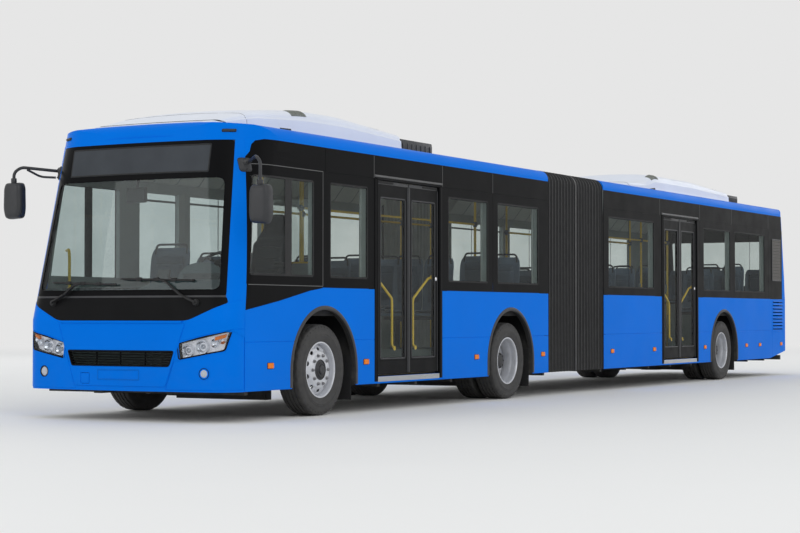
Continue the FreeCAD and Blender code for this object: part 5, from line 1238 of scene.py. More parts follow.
for side, name in SIDES:
    outline = sided(nose_outline(rounded(LAMP, 0.03, 5), 0.05), side)
    inner = inset_loop(outline, 0.014)
    tray = bmesh.new()
    nose_plate(tray, outline, [inner], -0.085, 0.0015, 0.002)
    nose_plate(tray, inset_loop(outline, 0.006), [], -0.092, -0.084, 0.002)
    # the bed behind the headlamp glows a little: painted light in its recess
    bed = bmesh.new()
    nose_plate(bed, inset_loop(outline, 0.012), [], -0.064, -0.056, 0.002)
    piece(f"{name}_headlamp_bed", bed, "lamp_bed", "front_section")
    beam = bmesh.new()
    ring = bmesh.new()
    # x, height and radius of the reflectors
    for x, z, radius in ((0.79, 0.705, 0.064), (0.95, 0.742, 0.068)):
        place = nose_frame(side * x, z, 0.028)
        place = facing(place.to_translation(), (place.to_3x3() @ Vector((1, 0, 0))) + Vector((0, -1.2, 0)))
        add_lathe(beam, bowl(radius - 0.004, 0.045) + [(0.004, radius - 0.002), (0.004, radius + 0.004),
                                                       (-0.05, radius + 0.004)], 32, place)
        add_lathe(ring, [(-0.045, 0.0), (-0.012, 0.014), (-0.004, 0.022), (-0.012, 0.026), (-0.045, 0.02)],
                  20, place)
    for x, z, radius in ((1.085, 0.776, 0.04), (1.165, 0.805, 0.034)):
        place = nose_frame(side * x, z, 0.03)
        add_lathe(beam, bowl(radius, 0.025, 5) + [(0.003, radius + 0.003), (-0.03, radius + 0.003)], 24,
                  place)
    strip = bmesh.new()
    marks = [(1.09, 0.836), (1.205, 0.865), (1.195, 0.83), (1.09, 0.80)]
    marks = sided(nose_outline(rounded(marks, 0.008, 3), 0.05), side)
    nose_plate(strip, marks, [], -0.045, -0.02, 0.004)
    cover = bmesh.new()
    nose_plate(cover, inset_loop(outline, 0.008), [], -0.008, -0.003, 0.001)
    piece(f"{name}_headlamp_tray", tray, "satin_black", "front_section", ["headlamps"])
    piece(f"{name}_headlamp_reflectors", beam, "chrome", "front_section")
    piece(f"{name}_headlamp_bulbs", ring, "clear_lens", "front_section")
    piece(f"{name}_headlamp_indicator", strip, "amber", "front_section")
    piece(f"{name}_headlamp_cover", cover, "lamp_glass", "front_section")
    fog = bmesh.new()
    place = nose_frame(side * 0.985, 0.48)
    add_lathe(fog, [(-0.03, 0.056), (0.004, 0.056), (0.007, 0.053), (0.004, 0.049), (-0.02, 0.047)], 28,
              place)
    piece(f"{name}_fog_bezel", fog, "satin_black", "front_section")
    fog = bmesh.new()
    add_lathe(fog, [(-0.025, 0.049), (-0.004, 0.048), (0.002, 0.042), (0.008, 0.024), (0.01, 0.0)], 28, place)
    piece(f"{name}_fog_lens", fog, "clear_lens", "front_section")


# ---- wheel arches, flaps, markers ------------------------------------------------------------
LIP = [(-0.005, -0.02), (-0.005, 0.006), (0.004, 0.013), (0.014, 0.016), (0.03, 0.012), (0.038, 0.007),
       (0.042, 0.002), (0.042, -0.004)]
FLAP_AT = 0.609
MARKERS = [("front_section", (0.79, 2.7, 5.38, 7.31)),
           ("rear_section", (9.67, 11.3, 13.52, 15.58, 16.3, 17.5))]


def add_sweep(bm, frames, section):
    """Sweep an open section, given as (out, up) points, through a list of (place, out, up) frames."""
    rings = [[bm.verts.new(place + out * a + up * b) for a, b in section] for place, out, up in frames]
    bridge(bm, rings, closed=False)
    close_ends(bm, rings)


for axle_name, station, body in (("front", FRONT, "front_section"), ("middle", MID, "front_section"),
                                 ("rear", REAR, "rear_section")):
    lips, flaps, liner = bmesh.new(), bmesh.new(), bmesh.new()
    for side in (1, -1):
        outward = Vector((side, 0, 0))
        foot = 0.312
        path = [(-1.0, 0.0, station - ARCH, z) for z in (foot, ARCH_Z - 0.02)]
        path += [(math.cos(a), math.sin(a), station + ARCH * math.cos(a), ARCH_Z + ARCH * math.sin(a))
                 for a in [math.pi * (1 - k / 40) for k in range(41)]]
        path += [(1.0, 0.0, station + ARCH, z) for z in (ARCH_Z - 0.02, foot)]
        frames = [(Vector((side * SIDE, at(s), z)), Vector((0, out_s, out_z)), outward)
                  for out_s, out_z, s, z in path]
        add_sweep(lips, frames, LIP)
        edge = [(f[0] - f[2] * 0.004, f[1], f[2]) for f in frames]
        add_sweep(liner, edge, [(0.0, 0.0), (-0.004, -0.01), (-0.004, -0.05), (0.0, -0.056)])
        x0, x1 = side * 1.2035, side * 1.212
        add_block(liner, (x0, at(station - 0.42), 1.052), (x1, at(station + 0.42), 1.15), 0.002)
        x0, x1 = side * 0.95, side * 1.235
        y = at(station + FLAP_AT)
        add_block(flaps, (x0, y - 0.003, 0.14), (x1, y + 0.004, 0.62), 0.0015)
        add_block(flaps, (x0, y - 0.001, 0.575), (x1, y + 0.012, 0.605), 0.002)
    piece(f"{axle_name}_arch_lips", lips, "arch", body)
    piece(f"{axle_name}_arch_liners", liner, "under", body)
    piece(f"{axle_name}_mud_flaps", flaps, "rubber", body)

for body, stations in MARKERS:
    shells, lenses = bmesh.new(), bmesh.new()
    for side in (1, -1):
        for station in stations:
            place = flat_side(side)
            outline = rounded(rectangle(station - 0.058, station + 0.058, 0.513, 0.577), 0.012, 4)
            add_plate(shells, outline, [], 0.003, 0.008, 0.002, place)
            outline = rounded(rectangle(station - 0.052, station + 0.052, 0.518, 0.572), 0.01, 4)
            add_plate(lenses, outline, [], 0.006, 0.017, 0.005, place)
    piece(f"{body}_marker_bases", shells, "rubber", body)
    piece(f"{body}_markers", lenses, "amber", body)


# ---- wheels ----------------------------------------------------------------------------------
TREAD = [(0.138, 0.378), (0.1345, 0.386), (0.1345, 0.402), (0.1325, 0.424), (0.128, 0.444), (0.1235, 0.457),
         (0.121, 0.463), (0.118, 0.4665), (0.109, 0.4735), (0.1, 0.4755), (0.078, 0.4768), (0.074, 0.4768),
         (0.071, 0.466), (0.063, 0.466), (0.06, 0.4778), (0.036, 0.4782), (0.028, 0.4782), (0.025, 0.467),
         (0.017, 0.467), (0.014, 0.4784), (0.0, 0.4785)]
FLANK = [(0.106, 0.2865), (0.117, 0.291), (0.1235, 0.302), (0.1255, 0.306), (0.1265, 0.309), (0.1295, 0.316),
         (0.1335, 0.334), (0.1355, 0.35), (0.136, 0.352), (0.1372, 0.3535), (0.1375, 0.36), (0.1372, 0.3665),
         (0.136, 0.368), (0.1362, 0.372), (0.138, 0.3735)]


def half_turn(points):
    """Profile mirrored to both sides of the middle plane."""
    return points + [(-x, r) for x, r in reversed(points) if x > 1e-9]


def tread_radius(k, x, radius):
    """Cross cuts between the shoulder blocks and fine cuts in the ribs."""
    if radius < 0.47:
        return radius
    if abs(x) > 0.075:
        return radius - (0.009 if (k + (1 if x > 0 else 3)) % 5 == 0 else 0.0)
    return radius - (0.003 if (k + round(x * 100)) % 5 == 0 else 0.0)


def tyre_mesh():
    bm = bmesh.new()
    profile = half_turn(FLANK + TREAD)
    add_lathe(bm, profile + [(-0.1, 0.283), (0.1, 0.283), profile[0]], 130, None, 0.0, tread_radius)
    for side in (1, -1):
        for k in range(48):
            turn = Matrix.Rotation(math.tau * k / 48, 4, "X")
            # place across, height and length of the lugs on the sidewall
            for across, height, length in ((0.1278, 0.4495, 0.011), (0.1298, 0.4405, 0.006)):
                x = side * across
                add_block(bm, (x - 0.003, -0.0015, height - length / 2),
                          (x + 0.003, 0.0015, height + length / 2), 0.0006, turn, 1)
    return shared("tyre", bm, "tyre", 28.0)


# closed section of a steel rim barrel with its flanges
BARREL = [(0.119, 0.2805), (0.119, 0.2925), (0.1175, 0.2945), (0.1145, 0.2945), (0.1125, 0.2915),
          (0.1105, 0.286), (0.106, 0.2845), (-0.106, 0.2845), (-0.1105, 0.286), (-0.1125, 0.2915),
          (-0.1145, 0.2945), (-0.1175, 0.2945), (-0.119, 0.2925), (-0.119, 0.2805), (-0.113, 0.276),
          (-0.1, 0.273), (-0.072, 0.2715), (-0.06, 0.262), (0.02, 0.262), (0.035, 0.268), (0.06, 0.2725),
          (0.1, 0.273), (0.113, 0.276), (0.119, 0.2805)]


def dish_height(profile, radius):
    """Position along the axle of a disc's face at a radius."""
    for (x0, r0), (x1, r1) in zip(profile, profile[1:]):
        low, high = min(r0, r1), max(r0, r1)
        if low - 1e-9 <= radius <= high + 1e-9 and high > low:
            t = (radius - r0) / (r1 - r0)
            t = t * t * (3 - 2 * t)
            return x0 + (x1 - x0) * t
    return profile[0][0] if radius > profile[0][1] else profile[-1][0]


def wheel_disc(bm, profile, holes, thickness, long=0.027, wide=0.016, circle_at=0.217):
    """Pressed disc with oval hand holes, laid over its dished profile."""
    outer = circle(0, 0, profile[0][1], 80)
    inner = circle(0, 0, profile[-1][1], 48)
    openings = []
    for k in range(holes):
        angle = math.tau * (k + 0.5) / holes
        c, s = math.cos(angle), math.sin(angle)
        points = []
        for i in range(20):
            a = math.tau * i / 20
            along, across = wide * math.cos(a), long * math.sin(a)
            points.append(((circle_at + along) * c - across * s, (circle_at + along) * s + across * c))
        openings.append(points)

    def lay(u, v, height):
        radius = math.hypot(u, v)
        return Vector((dish_height(profile, radius) + height, u, v))

    grid = steps(-0.28, 0.28, 0.02)
    add_plate(bm, outer, [list(reversed(inner))] + openings, -thickness, 0.0, 0.0015, lay, grid, grid)


def add_nuts(bm, count, circle_at, x, size, length):
    for k in range(count):
        angle = math.tau * k / count
        turn = Matrix.Translation((x, circle_at * math.cos(angle), circle_at * math.sin(angle)))
        add_lathe(bm, [(-0.004, 0.0), (-0.004, size * 1.35), (0.0, size * 1.35), (0.001, size),
                       (length * 0.7, size), (length * 0.78, size * 0.8), (length * 0.78, size * 0.55),
                       (length, size * 0.5), (length, 0.0)], 6, turn, angle)


def shared(name, bm, finish, angle=30.0):
    """Mesh that several pieces use."""
    mesh = baked(name, bm, angle)
    mesh.materials.append(MATERIALS[finish])
    return mesh


def placed(name, mesh, place, body, replaces=()):
    """A visible piece with a shared mesh, put in its place and riding on a body."""
    obj = linked(name, mesh)
    obj.matrix_world = place
    bpy.context.view_layer.update()
    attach(obj, body)
    if replaces:
        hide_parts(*replaces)
    return obj


def wheel_place(point, flip):
    """Place of a wheel's mesh, turned half round where flip says so."""
    return Matrix.Translation(point) @ (Matrix.Rotation(math.pi, 4, "Z") if flip else Matrix.Identity(4))


TYRE = tyre_mesh()
# distance along the axle and radius of the front disc, rim to hub
FRONT_DISH = [(0.047, 0.2715), (0.066, 0.25), (0.088, 0.215), (0.11, 0.182), (0.114, 0.15), (0.114, 0.1)]
bm = bmesh.new()
add_lathe(bm, BARREL, 96)
wheel_disc(bm, FRONT_DISH, 10, 0.007)
FRONT_RIM = shared("front_rim", bm, "rim")
bm = bmesh.new()
add_lathe(bm, [(0.1145, 0.108), (0.1175, 0.106), (0.1175, 0.101), (0.112, 0.098), (0.118, 0.082),
               (0.128, 0.074), (0.13, 0.066), (0.124, 0.058), (0.124, 0.052), (0.136, 0.046), (0.139, 0.04),
               (0.139, 0.03), (0.136, 0.0)], 48)
FRONT_HUB = shared("front_hub", bm, "hub")
bm = bmesh.new()
add_nuts(bm, 10, 0.152, 0.115, 0.0155, 0.024)
FRONT_NUTS = shared("front_nuts", bm, "nut")
TWIN = (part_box("middle_left_tyres")[1].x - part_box("middle_left_tyres")[0].x) - 0.276
TWIN_DISH = [(-0.083, 0.2715), (-0.118, 0.246), (-0.138, 0.222), (-0.146, 0.2), (-0.148, 0.17),
             (-0.148, 0.12)]
bm = bmesh.new()
add_lathe(bm, BARREL, 96)
TWIN_RIM = shared("twin_rim", bm, "rim")
bm = bmesh.new()
wheel_disc(bm, TWIN_DISH, 10, 0.009, 0.026, 0.017, 0.218)
TWIN_DISC = shared("twin_disc", bm, "disc")
bm = bmesh.new()
add_lathe(bm, [(-0.149, 0.128), (-0.14, 0.128), (-0.135, 0.122), (-0.075, 0.118), (-0.065, 0.112), (0.0, 0.1),
               (0.012, 0.098), (0.018, 0.092), (0.02, 0.07), (0.026, 0.06), (0.03, 0.03), (0.03, 0.0)], 48)
for k in range(8):
    angle = math.tau * k / 8
    turn = Matrix.Translation((0.018, 0.079 * math.cos(angle), 0.079 * math.sin(angle)))
    add_lathe(bm, [(0.0, 0.0085), (0.009, 0.0085), (0.011, 0.006), (0.011, 0.0)], 6, turn)
TWIN_HUB = shared("twin_hub", bm, "hub")
bm = bmesh.new()
add_nuts(bm, 10, 0.1675, -0.148, 0.0155, 0.03)
TWIN_NUTS = shared("twin_nuts", bm, "nut")

for side, name in SIDES:
    tyre, rim, body = f"front_{name}_tyre", f"front_{name}_rim", f"front_{name}_wheel"
    centre = wheel_place(middle(tyre), side < 0)
    placed(tyre + "_tread", TYRE, centre, body, [tyre])
    placed(rim + "_disc", FRONT_RIM, centre, body, [rim])
    placed(rim + "_hub", FRONT_HUB, centre, body)
    placed(rim + "_nuts", FRONT_NUTS, centre, body)
    for axle in ("middle", "rear"):
        tyres, rims, body = f"{axle}_{name}_tyres", f"{axle}_{name}_rims", f"{axle}_{name}_wheels"
        shift = Vector((side * TWIN / 2, 0, 0))
        outer = wheel_place(middle(tyres) + shift, side < 0)
        inner = wheel_place(middle(tyres) - shift, side < 0)
        placed(tyres + "_outer", TYRE, outer, body, [tyres])
        placed(tyres + "_inner", TYRE, inner, body)
        placed(rims + "_outer", TWIN_RIM, outer, body, [rims])
        placed(rims + "_inner", TWIN_RIM, wheel_place(middle(tyres) - shift, side > 0), body)
        placed(rims + "_disc", TWIN_DISC, outer, body)
        placed(rims + "_hub", TWIN_HUB, outer, body)
        placed(rims + "_nuts", TWIN_NUTS, outer, body)


# ---- bellows ---------------------------------------------------------------------------------
def tunnel(half, base, top, radius):
    """Outline of the bellows' arch, foot to foot, as (x, z, out x, out z)."""
    heights = steps(base + 0.25, top - radius - 0.05, 0.35)

    def corner(centre, first):
        angles = [first - math.pi / 2 * k / 6 for k in range(7)]
        return [(centre + radius * math.cos(a), top - radius + radius * math.sin(a), math.cos(a), math.sin(a))
                for a in angles]

    points = [(-half, z, -1.0, 0.0) for z in [base] + heights] + corner(radius - half, math.pi)
    points += [(x, top, 0.0, 1.0) for x in steps(-half + radius + 0.1, half - radius - 0.1, 0.4)]
    return points + corner(half - radius, math.pi / 2) + [(half, z, 1.0, 0.0) for z in heights[::-1] + [base]]


FOLDS = 9
FABRIC_START = BELLOWS_START + 0.012
FABRIC_MIDDLE = (BELLOWS_START + BELLOWS_END) / 2
FRAME_HALF = 0.028
FOLD_PITCH = (FABRIC_MIDDLE - FRAME_HALF - FABRIC_START) / FOLDS
HALF_STARTS = (FABRIC_START, FABRIC_MIDDLE + FRAME_HALF)


def bellows_fabric(path):
    """Pleated skin: the folds stand out and in along the length, in two halves with room between them for the
    stiff frame in the middle.
    """
    # share of a fold and depth under the outline
    shape = [(0.0, 0.052), (0.16, 0.05), (0.3, 0.026), (0.4, 0.008), (0.47, 0.001), (0.53, 0.001),
             (0.6, 0.008), (0.7, 0.026), (0.84, 0.05)]
    rings = []
    for start in HALF_STARTS:
        rings += [(start + FOLD_PITCH * (k + share), depth) for k in range(FOLDS) for share, depth in shape]
        rings.append((start + FOLD_PITCH * FOLDS, 0.052))
    bm = bmesh.new()
    skins = []
    for wall in (0.0, 0.004):
        skins.append([[bm.verts.new((x - out_x * (depth + wall), at(station), z - out_z * (depth + wall)))
                       for x, z, out_x, out_z in path] for station, depth in rings])
        for face in bridge(bm, skins[-1], closed=False):
            face.material_index = 1 if wall else 0
    for k in (0, -1):
        bridge(bm, [skin[k] for skin in skins], closed=False)
        bridge(bm, [[ring[k] for ring in skin] for skin in skins], closed=False)
    return bm


def hoop(bm, station, half_width, outer, inner, path):
    """Stiff hoop round the bellows between two depths."""
    low, high = station - half_width, station + half_width
    rim = ((low, inner), (low, outer + 0.004), (low + 0.004, outer), (high - 0.004, outer),
           (high, outer + 0.004), (high, inner))
    rings = [[bm.verts.new((x - ox * depth, at(s), z - oz * depth)) for x, z, ox, oz in path]
             for s, depth in rim]
    bridge(bm, rings + rings[:1], closed=False)
    for k in (0, -1):
        bm.faces.new([ring[k] for ring in rings])


arch = tunnel(SIDE - 0.012, 0.3, 2.952, 0.15)
cloth = piece("bellows_fabric", bellows_fabric(arch), ["bellows", "lining"], None,
              ["bellows"])
hoops = bmesh.new()
hoop(hoops, FABRIC_MIDDLE, 0.03, -0.002, 0.055, arch)
for start in HALF_STARTS:
    for k in range(FOLDS):
        hoop(hoops, start + FOLD_PITCH * (k + 0.5), 0.0085, -0.004, 0.012, arch)
edges = piece("bellows_hoops", hoops, "bellows_edge", None)
for obj in (cloth, edges):
    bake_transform(obj)
for (part, body), station in zip(SECTIONS, (BELLOWS_START + GAP, BELLOWS_END - 0.004)):
    end_ring = bmesh.new()
    hoop(end_ring, station, 0.012, -0.003, 0.06, arch)
    piece(f"bellows_{part}_ring", end_ring, "bellows_edge", body)


# ---- doorways and door leaves ----------------------------------------------------------------
def leaf_place(face, outward=1):
    """Lay a plate on the outer face of a door leaf, or on its inner face where outward is -1."""
    def place(station, z, height):
        return Vector((face + outward * height, at(station), z))
    return place


POST_FOOT, POST_HEAD = 0.322, 2.56
for door, body in DOORWAYS.items():
    s0, s1 = door_span(door)
    posts, rail, sill, edge = bmesh.new(), bmesh.new(), bmesh.new(), bmesh.new()
    side = flat_side(1)
    post_start, post_end = s0 - POST + GAP, s1 + POST - GAP
    for low, high in ((post_start, s0 - 0.001), (s1 + 0.001, post_end)):
        add_plate(posts, rectangle(low, high, POST_FOOT, POST_HEAD), [], -0.004, 0.009, 0.006, side)
    for low in (s0 - 0.03, s1 + 0.012):
        add_plate(posts, rectangle(low, low + 0.018, POST_FOOT + 0.008, POST_HEAD - 0.01), [], 0.006, 0.014,
                  0.004, side)
    add_plate(posts, rectangle(post_start, post_end, 2.5415, 2.562), [], -0.004, 0.009, 0.004, side)
    add_plate(rail, rectangle(s0 - POST, s1 + POST, 2.566, 2.592), [], -0.002, 0.014, 0.008, side)
    add_plate(sill, rectangle(s0 + 0.002, s1 - 0.002, 0.318, 0.374), [], -0.004, 0.006, 0.002, side)
    for k in range(3):
        z = 0.329 + 0.015 * k
        add_plate(sill, rectangle(s0 + 0.01, s1 - 0.01, z, z + 0.006), [], 0.005, 0.009, 0.002, side)
    add_block(edge, (1.185, at(s0 + 0.01), 0.3895), (1.2, at(s1 - 0.01), 0.3915), 0.0007)
    piece(f"{door}_posts", posts, "satin_black", body)
    piece(f"{door}_rain_rail", rail, "steel_dark", body)
    piece(f"{door}_sill", sill, "steel", body)
    piece(f"{door}_step_edge", edge, "yellow", body)
    for which, hand in (("front", 1), ("back", -1)):
        leaf = f"{door}_{which}_leaf"
        low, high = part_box(leaf)
        a, b = low.y - FRONT_Y, high.y - FRONT_Y
        z0, z1 = low.z, high.z
        face, inside = high.x, low.x
        glass = rounded(rectangle(a + 0.066, b - 0.066, 0.562, 2.358), 0.03, 5)
        frame_bm, seal, bar = bmesh.new(), bmesh.new(), bmesh.new()
        for place, height in ((leaf_place(face), 0.003), (leaf_place(inside, -1), 0.0025)):
            add_plate(frame_bm, rectangle(a + 0.002, b - 0.002, 0.548, z1 - 0.002), [glass], -0.002, height,
                      0.002, place)
            add_plate(frame_bm, rectangle(a + 0.002, b - 0.002, z0 + 0.002, 0.544), [], -0.002, height, 0.002,
                      place)
            ring = inset_loop(glass, -0.001)
            add_plate(seal, ring, [inset_loop(glass, 0.014)], -0.006, height + 0.002, 0.002, place)
        meet = b - 0.001 if hand > 0 else a + 0.001
        jamb = a + 0.001 if hand > 0 else b - 0.001
        add_plate(seal, rectangle(*sorted((meet, meet - hand * 0.022)), z0 + 0.004, z1 - 0.004),
                  [], 0.001, 0.009, 0.003, leaf_place(face))
        add_plate(seal, rectangle(*sorted((jamb, jamb + hand * 0.014)), z0 + 0.004, z1 - 0.004),
                  [], 0.001, 0.006, 0.002, leaf_place(face))
        for k in range(12):
            s = a + 0.03 + (b - a - 0.06) * k / 11
            add_block(seal, (face - 0.03, at(s - 0.025), z0 - 0.003),
                      (face - 0.012, at(s + 0.025), z0 + 0.003), 0.002)
        outer_s = jamb + hand * 0.075
        inner_s = meet - hand * 0.24
        depth = inside - 0.038
        path = [(inside - 0.004, at(outer_s), 1.49), (depth, at(outer_s + hand * 0.02), 1.475),
                (depth, at(inner_s), 1.235), (depth, at(inner_s), 0.71), (inside - 0.004, at(inner_s), 0.68)]
        add_tube(bar, path, 0.0145, 12, 0.035)
        for s, z in ((outer_s, 1.49), (inner_s, 0.68)):
            turn = facing((inside - 0.001, at(s), z), (-1, 0, 0))
            add_lathe(bar, [(0.0, 0.0), (0.0, 0.026), (0.004, 0.026), (0.007, 0.02), (0.007, 0.0)], 20, turn)
        piece(leaf + "_frame", frame_bm, "satin_black", leaf)
        add_block(seal, (face - 0.007, at(a + 0.004), z1 - 0.003), (face - 0.001, at(b - 0.004), z1 + 0.039),
                  0.002)
        piece(leaf + "_seals", seal, "housing", leaf)
        piece(leaf + "_handrail", bar, "yellow", leaf)
        if hand < 0:
            knob = bmesh.new()
            turn = facing((face + 0.002, at(b - 0.045), 1.47), (1, 0, 0))
            add_lathe(knob, [(0.0, 0.0), (0.0, 0.024), (0.003, 0.024), (0.007, 0.019), (0.008, 0.012),
                             (0.007, 0.0)], 24, turn)
            piece(leaf + "_lock", knob, "chrome", leaf)


# ---- louvres and tail corner -----------------------------------------------------------------
def slot_rows(low, high, count):
    return [low + (high - low) * k / (count - 1) for k in range(count)]


def add_slat(bm, section, ends):
    """Bar with a section given as (x, z) points, between two stations."""
    rings = [[bm.verts.new((x, at(s), z)) for x, z in section] for s in ends]
    bridge(bm, rings)
    close_ends(bm, rings)


bm, hoods = bmesh.new(), bmesh.new()
side = flat_side(1)
ring = rounded(rectangle(LOUVRE_SPAN[0] - 0.002, LOUVRE_SPAN[1] + 0.002, HIGH_LOUVRE[0] - 0.002,
                         HIGH_LOUVRE[1] + 0.002), 0.02, 4)
add_plate(bm, ring, [inset_loop(ring, 0.022)], -0.002, 0.011, 0.004, side)
for z in slot_rows(1.68, 2.35, 13):
    for shift in (0.0, 0.026):
        low = z + shift - 0.006
        if low + 0.03 < 2.38:
            section = [(SIDE - 0.001, low + 0.026), (SIDE + 0.002, low + 0.027), (SIDE + 0.009, low + 0.003),
                       (SIDE + 0.007, low)]
            add_slat(hoods, section, (LOUVRE_SPAN[0] + 0.022, LOUVRE_SPAN[1] - 0.022))
piece("high_louvre_frame", bm, "housing", "rear_section")
piece("high_louvre_blades", hoods, "louvre", "rear_section")


def wrap_rear(side):
    """Lay a plate given in stations and heights on the side and round the corner of the tail."""
    def place(station, z, height):
        return wrap_tail(run_to_depth(TAIL_END, TAIL - station, z, side), z, height)
    return place


for side, name in SIDES:
    bm = bmesh.new()
    add_plate(bm, rectangle(TAIL_SEAM - 0.147, TAIL_SEAM - GAP, BELT + GAP, TOP - GAP), [], *PANEL_LAYERS,
              wrap_rear(side), steps(17.5, 17.8, 0.03), steps(1.3, 2.9, 0.12))
    piece(f"rear_{name}_corner_strip", bm, "blue", "rear_section")
TAIL_START = REAR_END + GAP
TAIL_WAIST = [(TAIL_START, WAIST - 0.02), (17.725, WAIST - 0.02), (17.7, BELT - 0.002),
              (TAIL_START, BELT - 0.002)]
TAIL_FOOT = [(TAIL_START, 0.322), (TAIL_SEAM, 0.42), (17.728, WAIST - 0.024), (TAIL_START, WAIST - 0.024)]
# the left-hand panel has a row of slots with hoods, for the engine's air
for side, name, rows in ((1, "rear_left_louvre_panel", slot_rows(0.8, 1.27, 9)),
                         (-1, "rear_right_tail_panel", [])):
    bm = bmesh.new()
    slots = [rounded(rectangle(17.05, 17.6, z, z + 0.022), 0.008, 3) for z in rows]
    add_plate(bm, TAIL_WAIST, slots, *PANEL_LAYERS, flat_side(side))
    add_plate(bm, TAIL_FOOT, [], *PANEL_LAYERS, flat_side(side))
    for z in rows:
        section = [(SIDE + 0.002, z + 0.034), (SIDE + 0.006, z + 0.034), (SIDE + 0.013, z + 0.019),
                   (SIDE + 0.011, z + 0.017), (SIDE + 0.002, z + 0.024)]
        add_slat(bm, section, (17.045, 17.605))
    piece(name, bm, "blue", "rear_section")


# ---- tail ------------------------------------------------------------------------------------
def tail_plate(bm, outline, holes, low, high, chamfer):
    add_plate(bm, outline, holes, low, high, chamfer, wrap_tail, TAIL_CUTS, HEIGHT_CUTS)


plate_piece("rear_window_surround", "band", "rear_section", "door_black", tail_plate,
            tail_outline(rounded(trapezoid(0.985, 1.44, 0.96, 2.5), 0.06, 5)),
            [tail_outline(rounded(rectangle(-0.895, 0.895, 1.565, 2.395), 0.05, 5))], -0.004, 0.003, 0.002)
ring = tail_outline(rounded(rectangle(-0.898, 0.898, 1.562, 2.398), 0.05, 5))
plate_piece("rear_window_seal", "rubber", "rear_section", "wiper_black", tail_plate, ring,
            [inset_loop(ring, 0.022)], -0.006, 0.005, 0.003)
plate_piece("rear_sign_panel", "display", "rear_section", "display_black", tail_plate,
            tail_outline(rounded(trapezoid(0.96, 2.53, 0.95, 2.77), 0.03, 4)), [], -0.004, 0.003, 0.002)
plate_piece("rear_bumper_strip", "satin_black", "rear_section", "wiper_black", tail_plate,
            tail_outline(rounded(rectangle(-0.97, 0.97, 0.462, 0.545), 0.02, 4)), [], -0.004, 0.016, 0.008)
bm = bmesh.new()
hatch = rounded(rectangle(-0.748, 0.748, 0.572, 1.243), 0.04, 5)
rows = [rounded(rectangle(a, b, z, z + 0.02), 0.008, 3)
        for a, b in ((-0.6, -0.06), (0.06, 0.6)) for z in slot_rows(0.86, 1.14, 6)]
tail_plate(bm, tail_outline(hatch), [tail_outline(r) for r in rows], -0.002, 0.006, 0.004)
for z in slot_rows(0.86, 1.14, 6):
    for a, b in ((-0.605, -0.055), (0.055, 0.605)):
        path = [wrap_tail(run_to_x(TAIL_END, x, z + 0.025), z + 0.025, 0.008) for x in steps(a, b, 0.1)]
        add_tube(bm, path, 0.0, section=[(-0.004, 0.0), (0.002, -0.006), (0.005, 0.0), (0.002, 0.006)])
piece("engine_door_skin", bm, "blue", "engine_door")
bm = bmesh.new()
grip = tail_outline(rounded(rectangle(-0.12, 0.12, 0.61, 0.66), 0.015, 4))
tail_plate(bm, grip, [inset_loop(grip, 0.012)], 0.004, 0.014, 0.004)
tail_plate(bm, inset_loop(grip, 0.01), [], 0.004, 0.007, 0.001)
piece("engine_door_grip", bm, "satin_black", "engine_door")

for side, name in SIDES:
    tray, red, amber, clear = bmesh.new(), bmesh.new(), bmesh.new(), bmesh.new()
    outline = tail_outline(rounded(rectangle(0.985, 1.213, 0.562, 1.118), 0.025, 4), 0.04)
    outline = sided(outline, side)
    tail_plate(tray, outline, [inset_loop(outline, 0.014)], -0.03, 0.008, 0.004)
    tail_plate(tray, inset_loop(outline, 0.008), [], -0.03, -0.022, 0.002)
    # height and lens of the round lamps
    for z, target in ((0.64, red), (0.775, clear), (0.905, amber), (1.04, red)):
        run = run_to_x(TAIL_END, side * 1.1, z)
        place = facing(wrap_tail(run, z, -0.004), wrap_tail(run, z, 0.05) - wrap_tail(run, z, -0.05))
        add_lathe(target, [(-0.02, 0.0), (-0.02, 0.054), (0.0, 0.054), (0.006, 0.05), (0.0085, 0.04),
                           (0.0095, 0.0)], 32, place)
        add_lathe(tray, [(-0.02, 0.062), (0.004, 0.062), (0.005, 0.058), (-0.001, 0.056), (-0.02, 0.056)], 32,
                  place)
    piece(f"tail_{name}_lamp_tray", tray, "satin_black", "rear_section", ["tail_lamps"])
    piece(f"tail_{name}_red_lamps", red, "red", "rear_section")
    piece(f"tail_{name}_amber_lamp", amber, "amber", "rear_section")
    piece(f"tail_{name}_clear_lamp", clear, "clear_lens", "rear_section")


# ---- roof units ------------------------------------------------------------------------------
ROOF = 2.945


def eased(line, station):
    """Height of a fairing's ridge, straight between its points."""
    if station <= line[0][0]:
        return line[0][1]
    for (s0, h0), (s1, h1) in zip(line, line[1:]):
        if station <= s1:
            t = (station - s0) / (s1 - s0)
            return h0 + (h1 - h0) * t
    return line[-1][1]


def softened(line, station):
    """Height of the ridge where its bends are rounded off."""
    return sum(eased(line, station + 0.08 * k) for k in (-2, -1, 0, 1, 2)) / 5


def pod_section(half, height):
    """Cross-section of a fairing over its ridge, left foot to right foot: (x, z over the roof edge)."""
    shoulder = min(0.13, height * 0.6)
    wall = height * 0.62
    points = [(half, -0.02), (half, wall * 0.3), (half - 0.006, wall * 0.42), (half - 0.008, wall * 0.5),
              (half - 0.012, wall * 0.9), (half - 0.03, wall)]
    for k in range(1, 6):
        a = math.pi / 2 * k / 6
        points.append((half - 0.03 - shoulder * (1 - math.cos(a)),
                       wall + (height * 0.9 - wall) * math.sin(a)))
    points += [(half - 0.03 - shoulder, height * 0.9), (half * 0.6, height * 0.955),
               (half * 0.3, height * 0.99), (0.0, height)]
    return points + [(-x, z) for x, z in reversed(points[:-1])]


